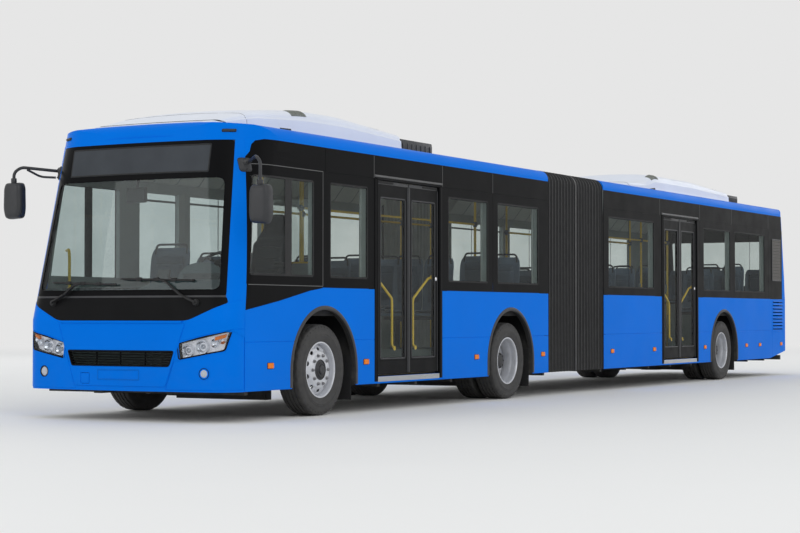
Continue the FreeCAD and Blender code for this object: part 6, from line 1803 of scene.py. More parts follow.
def pod(name, line, body, node):
    """Fairing of a roof unit; gives back a function that finds points on it, and its rear end."""
    low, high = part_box(node)
    half = high.x - 0.001
    shift = (low.y - FRONT_Y) - line[0][0]
    line = [(s + shift, h) for s, h in line]
    s0, s1 = line[0][0], line[-1][0]

    def ring_at(station):
        narrow = 0.12 * max(0.0, 1 - (station - s0) / 0.5) ** 2
        return pod_section(half - narrow, max(0.03, softened(line, station)))

    bm = bmesh.new()
    rows = [(station, ring_at(station)) for station in steps(s0 + 0.004, s1 - 0.03, 0.09)]
    rows.append((s1 - 0.004, pod_section(half - 0.02, max(0.03, softened(line, s1 - 0.03)) - 0.018)))
    rings = [[bm.verts.new((x, at(s), ROOF + z)) for x, z in ring] for s, ring in rows]
    bridge(bm, rings, closed=False)
    bridge(bm, [[ring[k] for ring in rings] for k in (0, -1)], closed=False)
    close_ends(bm, rings)
    piece(name + "_shell", bm, "pod", body, [node])

    def on_pod(station, share, lift):
        """Point on the fairing: share 0 at its left foot, 0.5 on the ridge, 1 at its right foot."""
        ring = ring_at(station)
        spot = share * (len(ring) - 1)
        k = min(len(ring) - 2, int(spot))
        (x, z), (x_next, z_next) = ring[k], ring[k + 1]
        dx, dz = x_next - x, z_next - z
        length = math.hypot(dx, dz)
        x, z = x + dx * (spot - k), z + dz * (spot - k)
        return Vector((x + dz / length * lift, at(station), ROOF + z - dx / length * lift))

    return on_pod, s1


FRONT_LINE = [(0.47, 0.03), (1.2, 0.24), (2.2, 0.345), (3.0, 0.355), (4.36, 0.262)]
REAR_LINE = [(11.1, 0.02), (11.5, 0.15), (12.3, 0.18), (12.45, 0.335), (14.3, 0.34), (16.08, 0.25)]


def pod_strip(bm, on_pod, stations, shares, low, high):
    """Raised or inlaid strip on a fairing between rows of stations and shares."""
    top, base = [[[bm.verts.new(on_pod(s, u, lift)) for u in shares] for s in stations]
                 for lift in (high, low)]
    bridge(bm, top, closed=False)
    for k in (0, -1):
        bridge(bm, [[row[k] for row in rows] for rows in (top, base)], closed=False)
        bridge(bm, (top[k], base[k]), closed=False)


# name, ridge, body, CAD node, and the stations of the curved line, the seam and the vents
for name, line, body, node, curve, seam, vent in (
        ("front_pod", FRONT_LINE, "front_section", "front_roof_unit", 0.78, 1.05, 1.95),
        ("rear_pod", REAR_LINE, "rear_section", "rear_roof_unit", None, 11.5, 12.46)):
    on_pod, s1 = pod(name, line, body, node)
    dark, grey = bmesh.new(), bmesh.new()
    if curve:
        bows = [(curve - 0.18 * (1 - (2 * u - 1) ** 2), u) for u in steps(0.03, 0.97, 0.025)]
        near, far, near_foot, far_foot = [[dark.verts.new(on_pod(bow + shift, u, lift)) for bow, u in bows]
                                          for lift in (0.002, -0.006) for shift in (-0.018, 0.018)]
        for rows in ((near, far), (near, near_foot), (far, far_foot)):
            bridge(dark, rows, closed=False)
    pod_strip(dark, on_pod, steps(seam, seam + 0.004, 0.004), steps(0.02, 0.98, 0.03), -0.004, 0.001)
    for mirror in (False, True):
        def share(u):
            return 1.0 - u if mirror else u
        pod_strip(grey, on_pod, steps(vent, vent + 0.3, 0.06), [share(u) for u in steps(0.22, 0.38, 0.03)],
                  -0.003, 0.003)
        for k in range(8):
            u = 0.228 + 0.019 * k
            pod_strip(grey, on_pod, steps(vent + 0.02, vent + 0.28, 0.08), [share(u), share(u + 0.008)],
                      0.002, 0.008)
        for s in (s1 - 0.62, s1 - 0.5):
            pod_strip(dark, on_pod, [s, s + 0.09], [share(0.33), share(0.37)], -0.003, 0.0015)
        start, end, rise = (vent - 0.28, vent - 0.06, 0.07) if curve else (11.4, vent + 0.08, 0.09)
        pod_strip(dark, on_pod, steps(start, end, 0.08), [share(0.02), share(rise / 2), share(rise)], -0.003,
                  0.0015)
    piece(name + "_strips", dark, "rubber", body)
    piece(name + "_vents", grey, "mesh_grey", body)
    box_low, box_high = islands(node)[-1]
    bm = bmesh.new()
    add_block(bm, (box_low.x, box_low.y, ROOF + 0.02), (box_high.x, box_high.y, box_high.z), 0.035)
    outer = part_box(node)[1].x - 0.04
    add_block(bm, (-outer, at(s1 + 0.025), ROOF - 0.01), (outer, box_low.y - 0.03, ROOF + 0.19), 0.045)
    for k in range(7):
        y = at(s1 + 0.06) + k * (box_low.y - 0.12 - at(s1 + 0.06)) / 6
        for x in (-outer, outer):
            add_block(bm, (x - 0.006, y, ROOF + 0.035), (x + 0.006, y + 0.018, ROOF + 0.14), 0.003)
    for k in range(9):
        y = box_low.y + 0.08 + k * (box_high.y - box_low.y - 0.16) / 8
        add_block(bm, (box_low.x + 0.06, y - 0.006, box_high.z - 0.004),
                  (box_high.x - 0.06, y + 0.006, box_high.z + 0.006), 0.002)
        for x in (box_low.x, box_high.x):
            add_block(bm, (x - 0.005, y - 0.006, ROOF + 0.045), (x + 0.005, y + 0.006, box_high.z - 0.04),
                      0.002)
    piece(name + "_tail_box", bm, "housing", body)


# ---- padding ---------------------------------------------------------------------------------
def pad_mesh(name, width, length, thick, channels=()):
    """Closed pad lying on Z = 0: a gridded top and underside that meet in a rounded rim."""
    bm = bmesh.new()
    crease, pinch, lift = 0.006, 0.1, 0.3
    us = steps(-width / 2, width / 2, 0.03)
    vs = [v for v in steps(-length / 2, length / 2, 0.03) if all(abs(v - c) > 2.2 * crease for c in channels)]
    for c in channels:
        vs += [c - crease, c, c + crease]
    vs.sort()
    for top in (True, False):
        rows = []
        for v in vs:
            row = []
            for u in us:
                a, b = 2 * u / width, 2 * v / length
                x, y = u * math.sqrt(1 - pinch * b * b), v * math.sqrt(1 - pinch * a * a)
                full = math.sqrt(max(0.0, (1 - abs(a) ** 6) * (1 - abs(b) ** 6)))
                z = thick * (lift + (1 - lift) * full) if top else thick * lift * (1 - full)
                row.append(bm.verts.new((x, y, z)))
            rows.append(row)
        bridge(bm, rows, closed=False, flip=not top)
    bmesh.ops.remove_doubles(bm, verts=bm.verts[:], dist=1e-5)
    mesh = bpy.data.meshes.new(name)
    bm.to_mesh(mesh)
    bm.free()
    return mesh


PAD_PRESSURE = 4.0
PAD_FRAMES = 20


def filled(mesh, cap):
    """Swell a pad by cloth simulation over its glued underside; no point moves further than the cap."""
    rest = [v.co.copy() for v in mesh.vertices]
    obj = linked(mesh.name + "_form", mesh)
    glued = obj.vertex_groups.new(name="glued")
    glued.add([i for i, p in enumerate(rest) if p.z < 0.001], 1.0, "REPLACE")
    cloth = obj.modifiers.new("cloth", "CLOTH")
    settings = cloth.settings
    settings.quality = 8
    settings.mass = 0.15
    settings.use_pressure = True
    settings.uniform_pressure_force = PAD_PRESSURE
    settings.effector_weights.gravity = 0.0
    settings.vertex_group_mass = glued.name
    cloth.point_cache.frame_start = 1
    cloth.point_cache.frame_end = PAD_FRAMES
    for number in range(1, PAD_FRAMES + 1):
        bpy.context.scene.frame_set(number)
    swollen = obj.evaluated_get(bpy.context.evaluated_depsgraph_get()).to_mesh()
    places = []
    for before, vertex in zip(rest, swollen.vertices):
        move = vertex.co - before
        if move.length > cap:
            move *= cap / move.length
        places.append(before + move)
    bpy.data.objects.remove(obj)
    for vertex, place in zip(mesh.vertices, places):
        vertex.co = place
    bpy.context.scene.frame_set(1)
    return mesh


def sewn(mesh, channels, depth):
    """Press the sewn channels into the top of a filled pad."""
    high = max(v.co.z for v in mesh.vertices)
    for vertex in mesh.vertices:
        if vertex.co.z > 0.35 * high and any(abs(vertex.co.y - c) < 0.003 for c in channels):
            vertex.co.z -= depth
    return mesh


def pad(name, width, length, thick, channels, cap, place, finish="pad"):
    """Mesh of a filled and sewn pad, turned as it lies on its seat."""
    mesh = sewn(filled(pad_mesh(name, width, length, thick, channels), cap), channels, 0.45 * thick)
    mesh.transform(place)
    mesh.materials.append(MATERIALS[finish])
    finish_mesh(mesh, 60.0)
    return mesh


def place_pad(name, mesh, place, body):
    placed(name, mesh, place, body)


# ---- passengers' seats -----------------------------------------------------------------------
BACK_TILT = math.radians(3.0)
# side view of a seat shell from the front lip to the top: (distance ahead of the back, height), and how
# far its edges curl towards the passenger
SHELL_LINE = [(0.462, -0.056, 0.0), (0.455, -0.036, 0.004), (0.435, -0.026, 0.014), (0.34, -0.026, 0.022),
              (0.2, -0.03, 0.028), (0.13, -0.03, 0.03), (0.085, -0.018, 0.034), (0.06, 0.016, 0.036),
              (0.05, 0.07, 0.036), (0.044, 0.18, 0.036), (0.038, 0.3, 0.034), (0.032, 0.42, 0.03),
              (0.026, 0.52, 0.022), (0.022, 0.58, 0.012), (0.02, 0.615, 0.004), (0.018, 0.63, 0.0)]


def add_shell(bm, width, place):
    """Moulded bucket: a curved sheet with its edges curled forward, and a second skin behind it."""
    across = [-1.0, -0.94, -0.84, -0.7, -0.45, -0.15, 0.15, 0.45, 0.7, 0.84, 0.94, 1.0]
    skins = []
    for back in (0.0, 0.011):
        rows = []
        for i, (ahead, height, curl) in enumerate(SHELL_LINE):
            before = SHELL_LINE[max(0, i - 1)]
            after = SHELL_LINE[min(len(SHELL_LINE) - 1, i + 1)]
            along = Vector((before[0] - after[0], after[1] - before[1])).normalized()
            normal = Vector((along.y, along.x))
            round_top = max(0.0, (height - 0.53) / 0.1)
            round_front = max(0.0, (ahead - 0.42) / 0.042)
            half = width / 2 * (1 - 0.16 * round_top ** 2 - 0.07 * round_front ** 2)
            row = []
            for u in across:
                lip = curl * max(0.0, (abs(u) - 0.6) / 0.4) ** 1.6 - back
                forward, up = ahead + normal.x * lip, height + normal.y * lip
                row.append(bm.verts.new(place @ Vector((u * half, -forward, up))))
            rows.append(row)
        skins.append(rows)
    front, rear = skins
    bridge(bm, front, closed=False)
    bridge(bm, rear, closed=False, flip=True)
    for k in (0, -1):
        bridge(bm, (front[k], rear[k]), closed=False)
        bridge(bm, [[row[k] for row in rows] for rows in skins], closed=False)


def add_loop(bm, x0, x1, y, low, high, radius, place):
    """Grab loop standing on the top edge of a backrest."""
    path = [(x0, y, low), (x0 + 0.012, y, high), (x1 - 0.012, y, high), (x1, y, low)]
    add_tube(bm, [place @ Vector(p) for p in path], radius, 10, 0.06)


SEAT_PITCH_X = 0.415
SEAT_SIZES = {"double": 0.4, "single": 0.52, "bench": 0.452}
CHANNELS = {"cushion": (-0.09, 0.09), "back": (-0.12, 0.13)}
PAN = Matrix.Translation((0, -0.268, -0.024))
BACK = Matrix.Translation((0, -0.05, 0.32)) @ Matrix.Rotation(math.pi / 2 + BACK_TILT, 4, "X")
PADS = {}
for kind, width in SEAT_SIZES.items():
    trim = width * 0.74
    PADS[kind] = (pad(kind + "_cushion_pad", trim, 0.36, 0.026, CHANNELS["cushion"], 0.012, PAN),
                  pad(kind + "_back_pad", trim, 0.46, 0.022, CHANNELS["back"], 0.011, BACK))


def seat_places(low, high):
    """Kind and middles of the seats side by side on one frame."""
    width = high.x - low.x
    if width < 0.7:
        return "single", [(low.x + high.x) / 2]
    inner = math.copysign(min(abs(low.x), abs(high.x)), low.x)
    side = math.copysign(1.0, low.x)
    return "double", [inner + side * (0.203 + SEAT_PITCH_X * k) for k in range(2)]


for node, body in (("front_seats", "front_section"), ("rear_seats", "rear_section")):
    shells, loops, frames = bmesh.new(), bmesh.new(), bmesh.new()
    number = 0
    for low, high in islands(node):
        if high.x - low.x > 1.5:
            continue
        top = high.z - 0.68
        back = high.y
        kind, middles = seat_places(low, high)
        for x in middles:
            place = Matrix.Translation((x, back, top))
            add_shell(shells, SEAT_SIZES[kind], place)
            half = SEAT_SIZES[kind] / 2 - 0.045
            add_loop(loops, -half, half, -0.022, 0.56, 0.667, 0.0125, place)
            for part, mesh in zip(("cushion", "back"), PADS[kind]):
                place_pad(f"{node}_{part}_{number:02d}", mesh, place, body)
            number += 1
        inner, outer = sorted((low.x, high.x), key=abs)
        side = math.copysign(1.0, inner)
        floor = low.z
        beam = top - 0.075
        x0, x1 = inner + side * 0.03, outer
        if beam - floor > 0.15:
            for y in (back - 0.33, back - 0.15):
                add_block(frames, (x0, y - 0.018, beam - 0.03), (x1, y + 0.018, beam + 0.012), 0.006)
            leg = inner + side * 0.14
            add_block(frames, (leg - 0.022, back - 0.35, beam - 0.05),
                      (leg + 0.022, back - 0.13, beam - 0.012), 0.008)
            add_block(frames, (leg - 0.019, back - 0.3, floor + 0.008),
                      (leg + 0.019, back - 0.18, beam - 0.04), 0.01)
            add_block(frames, (leg - 0.05, back - 0.34, floor), (leg + 0.05, back - 0.14, floor + 0.01),
                      0.003)
            add_block(frames, (outer, back - 0.36, beam - 0.06),
                      (outer - side * 0.03, back - 0.12, beam + 0.015), 0.006)
        else:
            add_block(frames, (x0, back - 0.38, floor), (x1, back - 0.09, top - 0.058), 0.012)
    if node == "rear_seats":
        low, high = [b for b in islands(node) if b[1].x - b[0].x > 1.5][0]
        top, back = low.z + 0.08, high.y
        pitch = (high.x - low.x) / 5
        for k in range(5):
            x = low.x + pitch * (k + 0.5)
            place = Matrix.Translation((x, back, top)) @ Matrix.Diagonal((1, 1, 0.84, 1))
            add_shell(shells, SEAT_SIZES["bench"], place)
            for part, mesh in zip(("cushion", "back"), PADS["bench"]):
                place_pad(f"bench_{part}_{k}", mesh, place, body)
        add_block(frames, (low.x, low.y + 0.04, low.z), (high.x, back - 0.05, top - 0.062), 0.01)
    piece(node + "_shells", shells, "shell", body, [node])
    piece(node + "_loops", loops, "handle", body)
    piece(node + "_frames", frames, "steel_dark", body)


# ---- driver's place --------------------------------------------------------------------------
def ring_stack(bm, x, y, half, zs, swing):
    """Square gaiter with rounded corners whose folds stand out and in by turns."""
    rings = []
    for k, z in enumerate(zs):
        reach = half + (swing if k % 2 else 0.0)
        loop = rounded(rectangle(x - reach, x + reach, y - reach, y + reach), 0.05, 4)
        rings.append([bm.verts.new((px, py, z)) for px, py in loop])
    bridge(bm, rings)
    close_ends(bm, [rings[0][::-1], rings[-1]])


seat_low, seat_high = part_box("driver_seat")
DRIVER_X = (seat_low.x + seat_high.x) / 2
HOUSING = seat_low.z
rear_edge = seat_low.y + 0.48
cushion_z = HOUSING + 0.262
base, gaiter, backshell = bmesh.new(), bmesh.new(), bmesh.new()
add_block(base, (DRIVER_X - 0.2, rear_edge - 0.42, HOUSING),
          (DRIVER_X + 0.2, rear_edge - 0.04, HOUSING + 0.035), 0.01)
for x in (DRIVER_X - 0.17, DRIVER_X + 0.17):
    add_block(base, (x - 0.016, rear_edge - 0.44, HOUSING + 0.03),
              (x + 0.016, rear_edge - 0.02, HOUSING + 0.055), 0.004)
add_block(base, (DRIVER_X - 0.22, rear_edge - 0.46, cushion_z - 0.045),
          (DRIVER_X + 0.22, rear_edge, cushion_z), 0.014)
ring_stack(gaiter, DRIVER_X, rear_edge - 0.23, 0.15, steps(HOUSING + 0.05, cushion_z - 0.042, 0.014), 0.014)
lean = math.atan2(0.13, 0.78)
spine = Matrix.Translation((DRIVER_X, rear_edge + 0.004, HOUSING + 0.32)) @ Matrix.Rotation(-lean, 4, "X")


def spine_place(u, v, height):
    """On the rear of the backrest: u across, v up its slope, height backwards."""
    return spine @ Vector((u, height + 0.035, v))


outline = rounded([(-0.2, 0.0), (0.2, 0.0), (0.215, 0.12), (0.205, 0.5), (0.13, 0.6), (0.12, 0.76),
                   (-0.12, 0.76), (-0.13, 0.6), (-0.205, 0.5), (-0.215, 0.12)], 0.05, 4)
add_plate(backshell, outline, [], 0.0, 0.03, 0.012, spine_place, steps(-0.2, 0.2, 0.08),
          steps(0.05, 0.7, 0.1))
for side in (-1, 1):
    arm_x = DRIVER_X + side * 0.228
    root = spine @ Vector((0, 0, 0.2))
    path = [(arm_x, root.y + 0.02, root.z), (arm_x, root.y - 0.12, root.z + 0.012),
            (arm_x, root.y - 0.27, root.z + 0.012)]
    add_tube(backshell, path, 0.02, 10, 0.03)
piece("driver_seat_base", base, "steel_dark", "front_section", ["driver_seat"])
piece("driver_seat_gaiter", gaiter, "rubber", "front_section")
piece("driver_seat_shell", backshell, "handle", "front_section")
flat = Matrix.Translation((DRIVER_X, rear_edge - 0.235, cushion_z))
upright = spine @ Matrix.Translation((0, 0.04, 0)) @ Matrix.Rotation(math.pi / 2, 4, "X")
# name, width, length, thickness, channels, cap, place
DRIVER_PADS = [
    ("driver_cushion", 0.44, 0.45, 0.07, (-0.12, 0.0, 0.12), 0.02, flat),
    ("driver_back", 0.4, 0.5, 0.06, (-0.13, 0.0, 0.12), 0.018, upright @ Matrix.Translation((0, 0.27, 0))),
    ("driver_headrest", 0.23, 0.19, 0.055, (), 0.014, upright @ Matrix.Translation((0, 0.65, 0))),
]
for name, width, length, thick, channels, cap, place in DRIVER_PADS:
    mesh = pad(name + "_pad", width, length, thick, channels, cap, Matrix.Identity(4), "driver_cloth")
    place_pad(name, mesh, place, "front_section")
for side in (-1, 1):
    mesh = pad(f"driver_bolster_{side + 1}_pad", 0.085, 0.42, 0.045, (), 0.01, Matrix.Identity(4),
               "driver_cloth")
    place_pad(f"driver_bolster_{side + 1}", mesh,
              upright @ Matrix.Translation((side * 0.168, 0.26, 0.035)) @ Matrix.Rotation(side * 0.5, 4, "Y"),
              "front_section")

# steering wheel: rim, spokes, hub pad, column with stalks
hub = Vector((DRIVER_X, at(0.83), 1.6))
tip = Matrix.Translation(hub) @ Matrix.Rotation(math.radians(28.0), 4, "X")
axle = tip @ Matrix.Rotation(-math.pi / 2, 4, "Y")
rim_bm, spoke_bm = bmesh.new(), bmesh.new()
section = [(0.014 * math.sin(math.tau * k / 12), 0.225 + 0.016 * math.cos(math.tau * k / 12))
           for k in range(12)]
add_lathe(rim_bm, section + section[:1], 64, axle,
          radius_of=lambda k, x, r: r - (0.0018 if r < 0.222 and k % 2 else 0.0))
for angle in (0.35, math.pi - 0.35, 1.5 * math.pi):
    points = [tip @ Vector((r * math.cos(angle), r * math.sin(angle), z))
              for r, z in ((0.03, -0.022), (0.1, -0.02), (0.17, -0.008), (0.218, 0.0))]
    add_tube(spoke_bm, points, 0.0, bend=0.04, section=[(-0.022, -0.006), (0.022, -0.006), (0.018, 0.006),
                                                        (-0.018, 0.006)])
add_lathe(spoke_bm, [(-0.045, 0.0), (-0.045, 0.052), (-0.012, 0.062), (-0.002, 0.058), (0.004, 0.045),
                     (0.006, 0.0)], 40, axle)
column = rounded(rectangle(-0.045, 0.045, -0.05, 0.05), 0.02, 3)
add_tube(spoke_bm, [tip @ Vector((0, 0, z)) for z in (-0.05, -0.13, -0.215)], 0.0, section=column)
for side in (-1, 1):
    stalk = [tip @ Vector((side * x, 0.0, z)) for x, z in ((0.03, -0.08), (0.1, -0.075), (0.165, -0.06))]
    add_tube(spoke_bm, stalk, 0.007, 8, 0.02)
piece("steering_wheel_rim", rim_bm, "handle", "front_section", ["steering_wheel"])
piece("steering_wheel_spokes", spoke_bm, "satin_black", "front_section")

# dashboard: instrument hood, dials, switches, screen, vents


def desk_height(station):
    """Height of the driver's desk, or of the shelf, at a station."""
    return 1.39 + 0.04 * min(1.0, max(0.0, (station - 0.42) / 0.22))


hood, faces, lit = bmesh.new(), bmesh.new(), bmesh.new()
arch_path = [Vector((DRIVER_X + 0.24 * math.cos(a), at(0.52), desk_height(0.52) - 0.01 + 0.13 * math.sin(a)))
             for a in steps(0.0, math.pi, 0.2)]
add_tube(hood, arch_path, 0.0, section=[(-0.008, -0.08), (0.008, -0.08), (0.008, 0.05), (-0.008, 0.05)])
cluster = Matrix.Translation((DRIVER_X, at(0.5), desk_height(0.5)))
cluster = cluster @ Matrix.Rotation(math.radians(-20), 4, "X")
add_block(faces, (-0.22, -0.01, -0.03), (0.22, 0.008, 0.105), 0.01, cluster)
for x in (-0.12, 0.0, 0.12):
    turn = cluster @ Matrix.Translation((x, 0.008, 0.045)) @ Matrix.Rotation(math.pi / 2, 4, "Z")
    add_lathe(lit, [(0.0, 0.0), (0.0, 0.04), (0.003, 0.042), (0.006, 0.04), (0.004, 0.036), (0.002, 0.0)], 28,
              turn)
for k in range(8):
    x = DRIVER_X - 0.52 + 0.055 * (k % 4)
    s = 0.56 + 0.05 * (k // 4)
    z = desk_height(s)
    add_block(faces, (x, at(s), z - 0.004), (x + 0.034, at(s + 0.03), z + 0.01), 0.003)
for x, s, wide in ((0.22, 0.46, 0.14), (1.0, 0.55, 0.12)):
    turn = Matrix.Translation((x, at(s), desk_height(s) + 0.06)) @ Matrix.Rotation(math.radians(-15), 4, "X")
    add_block(faces, (-wide / 2, -0.02, -0.06), (wide / 2, 0.014, 0.05), 0.01, turn)
    add_block(lit, (-wide / 2 + 0.012, 0.012, -0.046), (wide / 2 - 0.012, 0.0165, 0.038), 0.002, turn)
for k in range(9):
    x = -0.95 + 0.11 * k
    add_block(faces, (x, at(0.3), 1.305), (x + 0.08, at(0.36), 1.327), 0.004)
piece("dash_hood", hood, "dash", "front_section")
piece("dash_controls", faces, "handle", "front_section")
piece("dash_faces", lit, "display", "front_section")

# partition behind the driver: panel, glass and tubes
part_low, part_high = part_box("driver_partition")
sheet_y = (part_low.y + part_high.y) / 2
panel, tubes, glass_bm = bmesh.new(), bmesh.new(), bmesh.new()


def across_place(u, v, height):
    return Vector((u, sheet_y + height, v))


foot_x = 0.483
lower = [(part_low.x + 0.012, part_low.z + 0.01), (foot_x - 0.004, part_low.z + 0.01),
         (foot_x - 0.004, 1.062), (part_high.x - 0.012, 1.062), (part_high.x - 0.012, 1.6),
         (part_low.x + 0.012, 1.6)]
add_plate(panel, lower, [], -0.009, 0.009, 0.002, across_place)
pane_outline = rounded(rectangle(part_low.x + 0.016, part_high.x - 0.016, 1.61, part_high.z - 0.02), 0.03)
add_plate(glass_bm, pane_outline, [], -0.003, 0.003, 0.001, across_place)
frame_path = [(part_low.x + 0.012, sheet_y, part_low.z), (part_low.x + 0.012, sheet_y, part_high.z - 0.012),
              (part_high.x - 0.032, sheet_y, part_high.z - 0.012), (part_high.x - 0.032, sheet_y, 1.07)]
add_tube(tubes, frame_path, 0.0125, 10, 0.05)
add_tube(tubes, [(part_low.x + 0.012, sheet_y, 1.605), (part_high.x - 0.012, sheet_y, 1.605)], 0.012, 10)
piece("partition_panel", panel, "trim", "front_section", ["driver_partition"])
piece("partition_glass", glass_bm, "side_glass", "front_section")
piece("partition_tubes", tubes, "yellow", "front_section")


# ---- poles, ceiling, trims -------------------------------------------------------------------
def add_flange(bm, x, y, z, up):
    """Foot of a pole: a stepped collar with its wide end at z."""
    turn = Matrix.Translation((x, y, z)) @ Matrix.Rotation(-up * math.pi / 2, 4, "Y")
    add_lathe(bm, [(0.0, 0.018), (0.0, 0.042), (0.004, 0.042), (0.01, 0.03), (0.03, 0.0225), (0.032, 0.018)],
              24, turn)


POLE_X = 0.33
DECK = 0.39
RAIL_TOP = 2.25
CEILING = 2.885
CEILING_FACE = CEILING - 0.0005
for part, body in SECTIONS:
    node = part + "_grab_poles"
    fittings, buttons = bmesh.new(), bmesh.new()
    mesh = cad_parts[node].data
    low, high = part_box(node)
    places = sorted({(math.copysign(POLE_X, v.co.x), round(v.co.y, 2)) for v in mesh.vertices
                     if v.co.z > CEILING - 0.002})
    groups = []
    for x, y in places:
        if groups and groups[-1][0] == x and abs(groups[-1][1][-1] - y) < 0.06:
            groups[-1][1].append(y)
        else:
            groups.append((x, [y]))
    for x, ys in groups:
        y = (min(ys) + max(ys)) / 2
        add_flange(fittings, x, y, DECK, 1)
        add_flange(fittings, x, y, CEILING, -1)
        upright = Matrix.Translation((x, y, RAIL_TOP)) @ Matrix.Rotation(math.pi / 2, 4, "Y")
        add_lathe(fittings, [(-0.034, 0.018), (-0.034, 0.0225), (-0.026, 0.025), (0.026, 0.025),
                             (0.034, 0.0225), (0.034, 0.018)], 20, upright)
        along = Matrix.Translation((x, y, RAIL_TOP)) @ Matrix.Rotation(math.pi / 2, 4, "Z")
        add_lathe(fittings, [(-0.045, 0.015), (-0.045, 0.0205), (0.045, 0.0205), (0.045, 0.015)], 16, along)
        aisle = -math.copysign(1.0, x)
        add_block(buttons, (x + aisle * 0.017 - 0.019, y - 0.024, 1.44),
                  (x + aisle * 0.017 + 0.019, y + 0.024, 1.56), 0.009)
        face = facing((x + aisle * 0.036, y, 1.5), (aisle, 0, 0))
        add_lathe(buttons, [(-0.002, 0.0), (-0.002, 0.017), (0.003, 0.016), (0.005, 0.0)], 20, face)
    piece(node + "_fittings", fittings, "steel_dark", body)
    piece(node + "_buttons", buttons, "trim", body)

COVING = [(1.203, 2.545), (1.17, 2.56), (1.12, 2.62), (1.05, 2.71), (0.96, 2.79), (0.86, 2.85), (0.8, 2.868),
          (0.8, 2.882), (1.12, 2.882), (1.203, 2.8)]
# body, start and end of the coving
for body, start, end in (("front_section", 1.3, BELLOWS_START - 0.06),
                         ("rear_section", BELLOWS_END + 0.06, 17.3)):
    coving, strips, light, hatch = bmesh.new(), bmesh.new(), bmesh.new(), bmesh.new()
    stations = steps(start, end, 0.45)
    for side in (-1, 1):
        rings = [[coving.verts.new((side * x, at(station), z)) for x, z in COVING] for station in stations]
        bridge(coving, rings)
        close_ends(coving, rings)
        for station in stations[1:-1]:
            rim = [(x - 0.004, z - 0.003) for x, z in COVING[:7]]
            line = [Vector((side * x, at(station), z)) for x, z in rim]
            add_tube(strips, line, 0.0, section=[(-0.004, -0.0025), (0.004, -0.0025), (0.004, 0.0025),
                                                 (-0.004, 0.0025)])
        for station in steps(start + 0.25, end - 0.25, 0.9):
            turn = facing((side * 1.0, at(station), 2.752), (-side * 0.64, 0, -0.77))
            add_lathe(strips, [(-0.002, 0.0), (-0.002, 0.038), (0.006, 0.036), (0.008, 0.026), (0.004, 0.022),
                               (0.004, 0.0)], 18, turn)
        add_block(light, (side * 0.62, at(start + 0.1), CEILING - 0.016),
                  (side * 0.74, at(end - 0.1), CEILING_FACE), 0.006)
        for x in (0.61, 0.75):
            add_block(strips, (side * x - 0.006, at(start + 0.08), CEILING - 0.02),
                      (side * x + 0.006, at(end - 0.08), CEILING_FACE), 0.003)
    for station in steps(start + 1.2, end - 1.2, 2.6):
        def under_ceiling(u, v, height):
            return Vector((u, at(v), CEILING - height))

        opening = rounded(rectangle(-0.3, 0.3, station - 0.3, station + 0.3), 0.05)
        add_plate(hatch, rounded(rectangle(-0.36, 0.36, station - 0.36, station + 0.36), 0.06), [opening],
                  0.0, 0.018, 0.006, under_ceiling)
        add_plate(hatch, rounded(rectangle(-0.292, 0.292, station - 0.292, station + 0.292), 0.05), [], 0.0,
                  0.012, 0.005, under_ceiling)
    for x in (-0.5, -0.45, 0.45, 0.5):
        add_block(hatch, (x - 0.008, at(start), CEILING - 0.008), (x + 0.008, at(end), CEILING_FACE), 0.003)
    piece(body + "_coving", coving, "ceiling", body)
    piece(body + "_coving_strips", strips, "trim", body)
    piece(body + "_ceiling_lights", light, "white_light", body)
    piece(body + "_ceiling_hatches", hatch, "ceiling", body)

# light covers on the pillars behind each window
for part, body in SECTIONS:
    covers = bmesh.new()
    for side in (-1, 1):
        for s0, s1, z0, z1 in pane_boxes(part + "_windows", side):
            inner = side * 1.2115
            add_block(covers, (inner, at(s1 - 0.05), z0 + 0.01),
                      (inner - side * 0.018, at(s1 + 0.06), z1 - 0.01), 0.008)
            add_block(covers, (inner, at(s0 + 0.03), z0 - 0.03),
                      (inner - side * 0.014, at(s1 - 0.03), z0 + 0.012), 0.006)
    piece(part + "_pillar_covers", covers, "pillar", body)


# ---- mirrors, wipers and small trims on the nose ---------------------------------------------
def add_dome(bm, outline, layers, place):
    """Closed form from copies of an outline shrunk towards its middle at each height."""
    us, vs = zip(*outline)
    middle_u, wide = (min(us) + max(us)) / 2, (max(us) - min(us)) / 2
    middle_v, tall = (min(vs) + max(vs)) / 2, (max(vs) - min(vs)) / 2
    rings = []
    for height, inset in layers:
        share_u, share_v = 1 - inset / wide, 1 - inset / tall
        rings.append([bm.verts.new(place(middle_u + (u - middle_u) * share_u,
                                         middle_v + (v - middle_v) * share_v, height)) for u, v in outline])
    bridge(bm, rings)
    close_ends(bm, rings)


def on_nose(x, z, height):
    return wrap_front(run_to_x(NOSE, x, z), z, height)


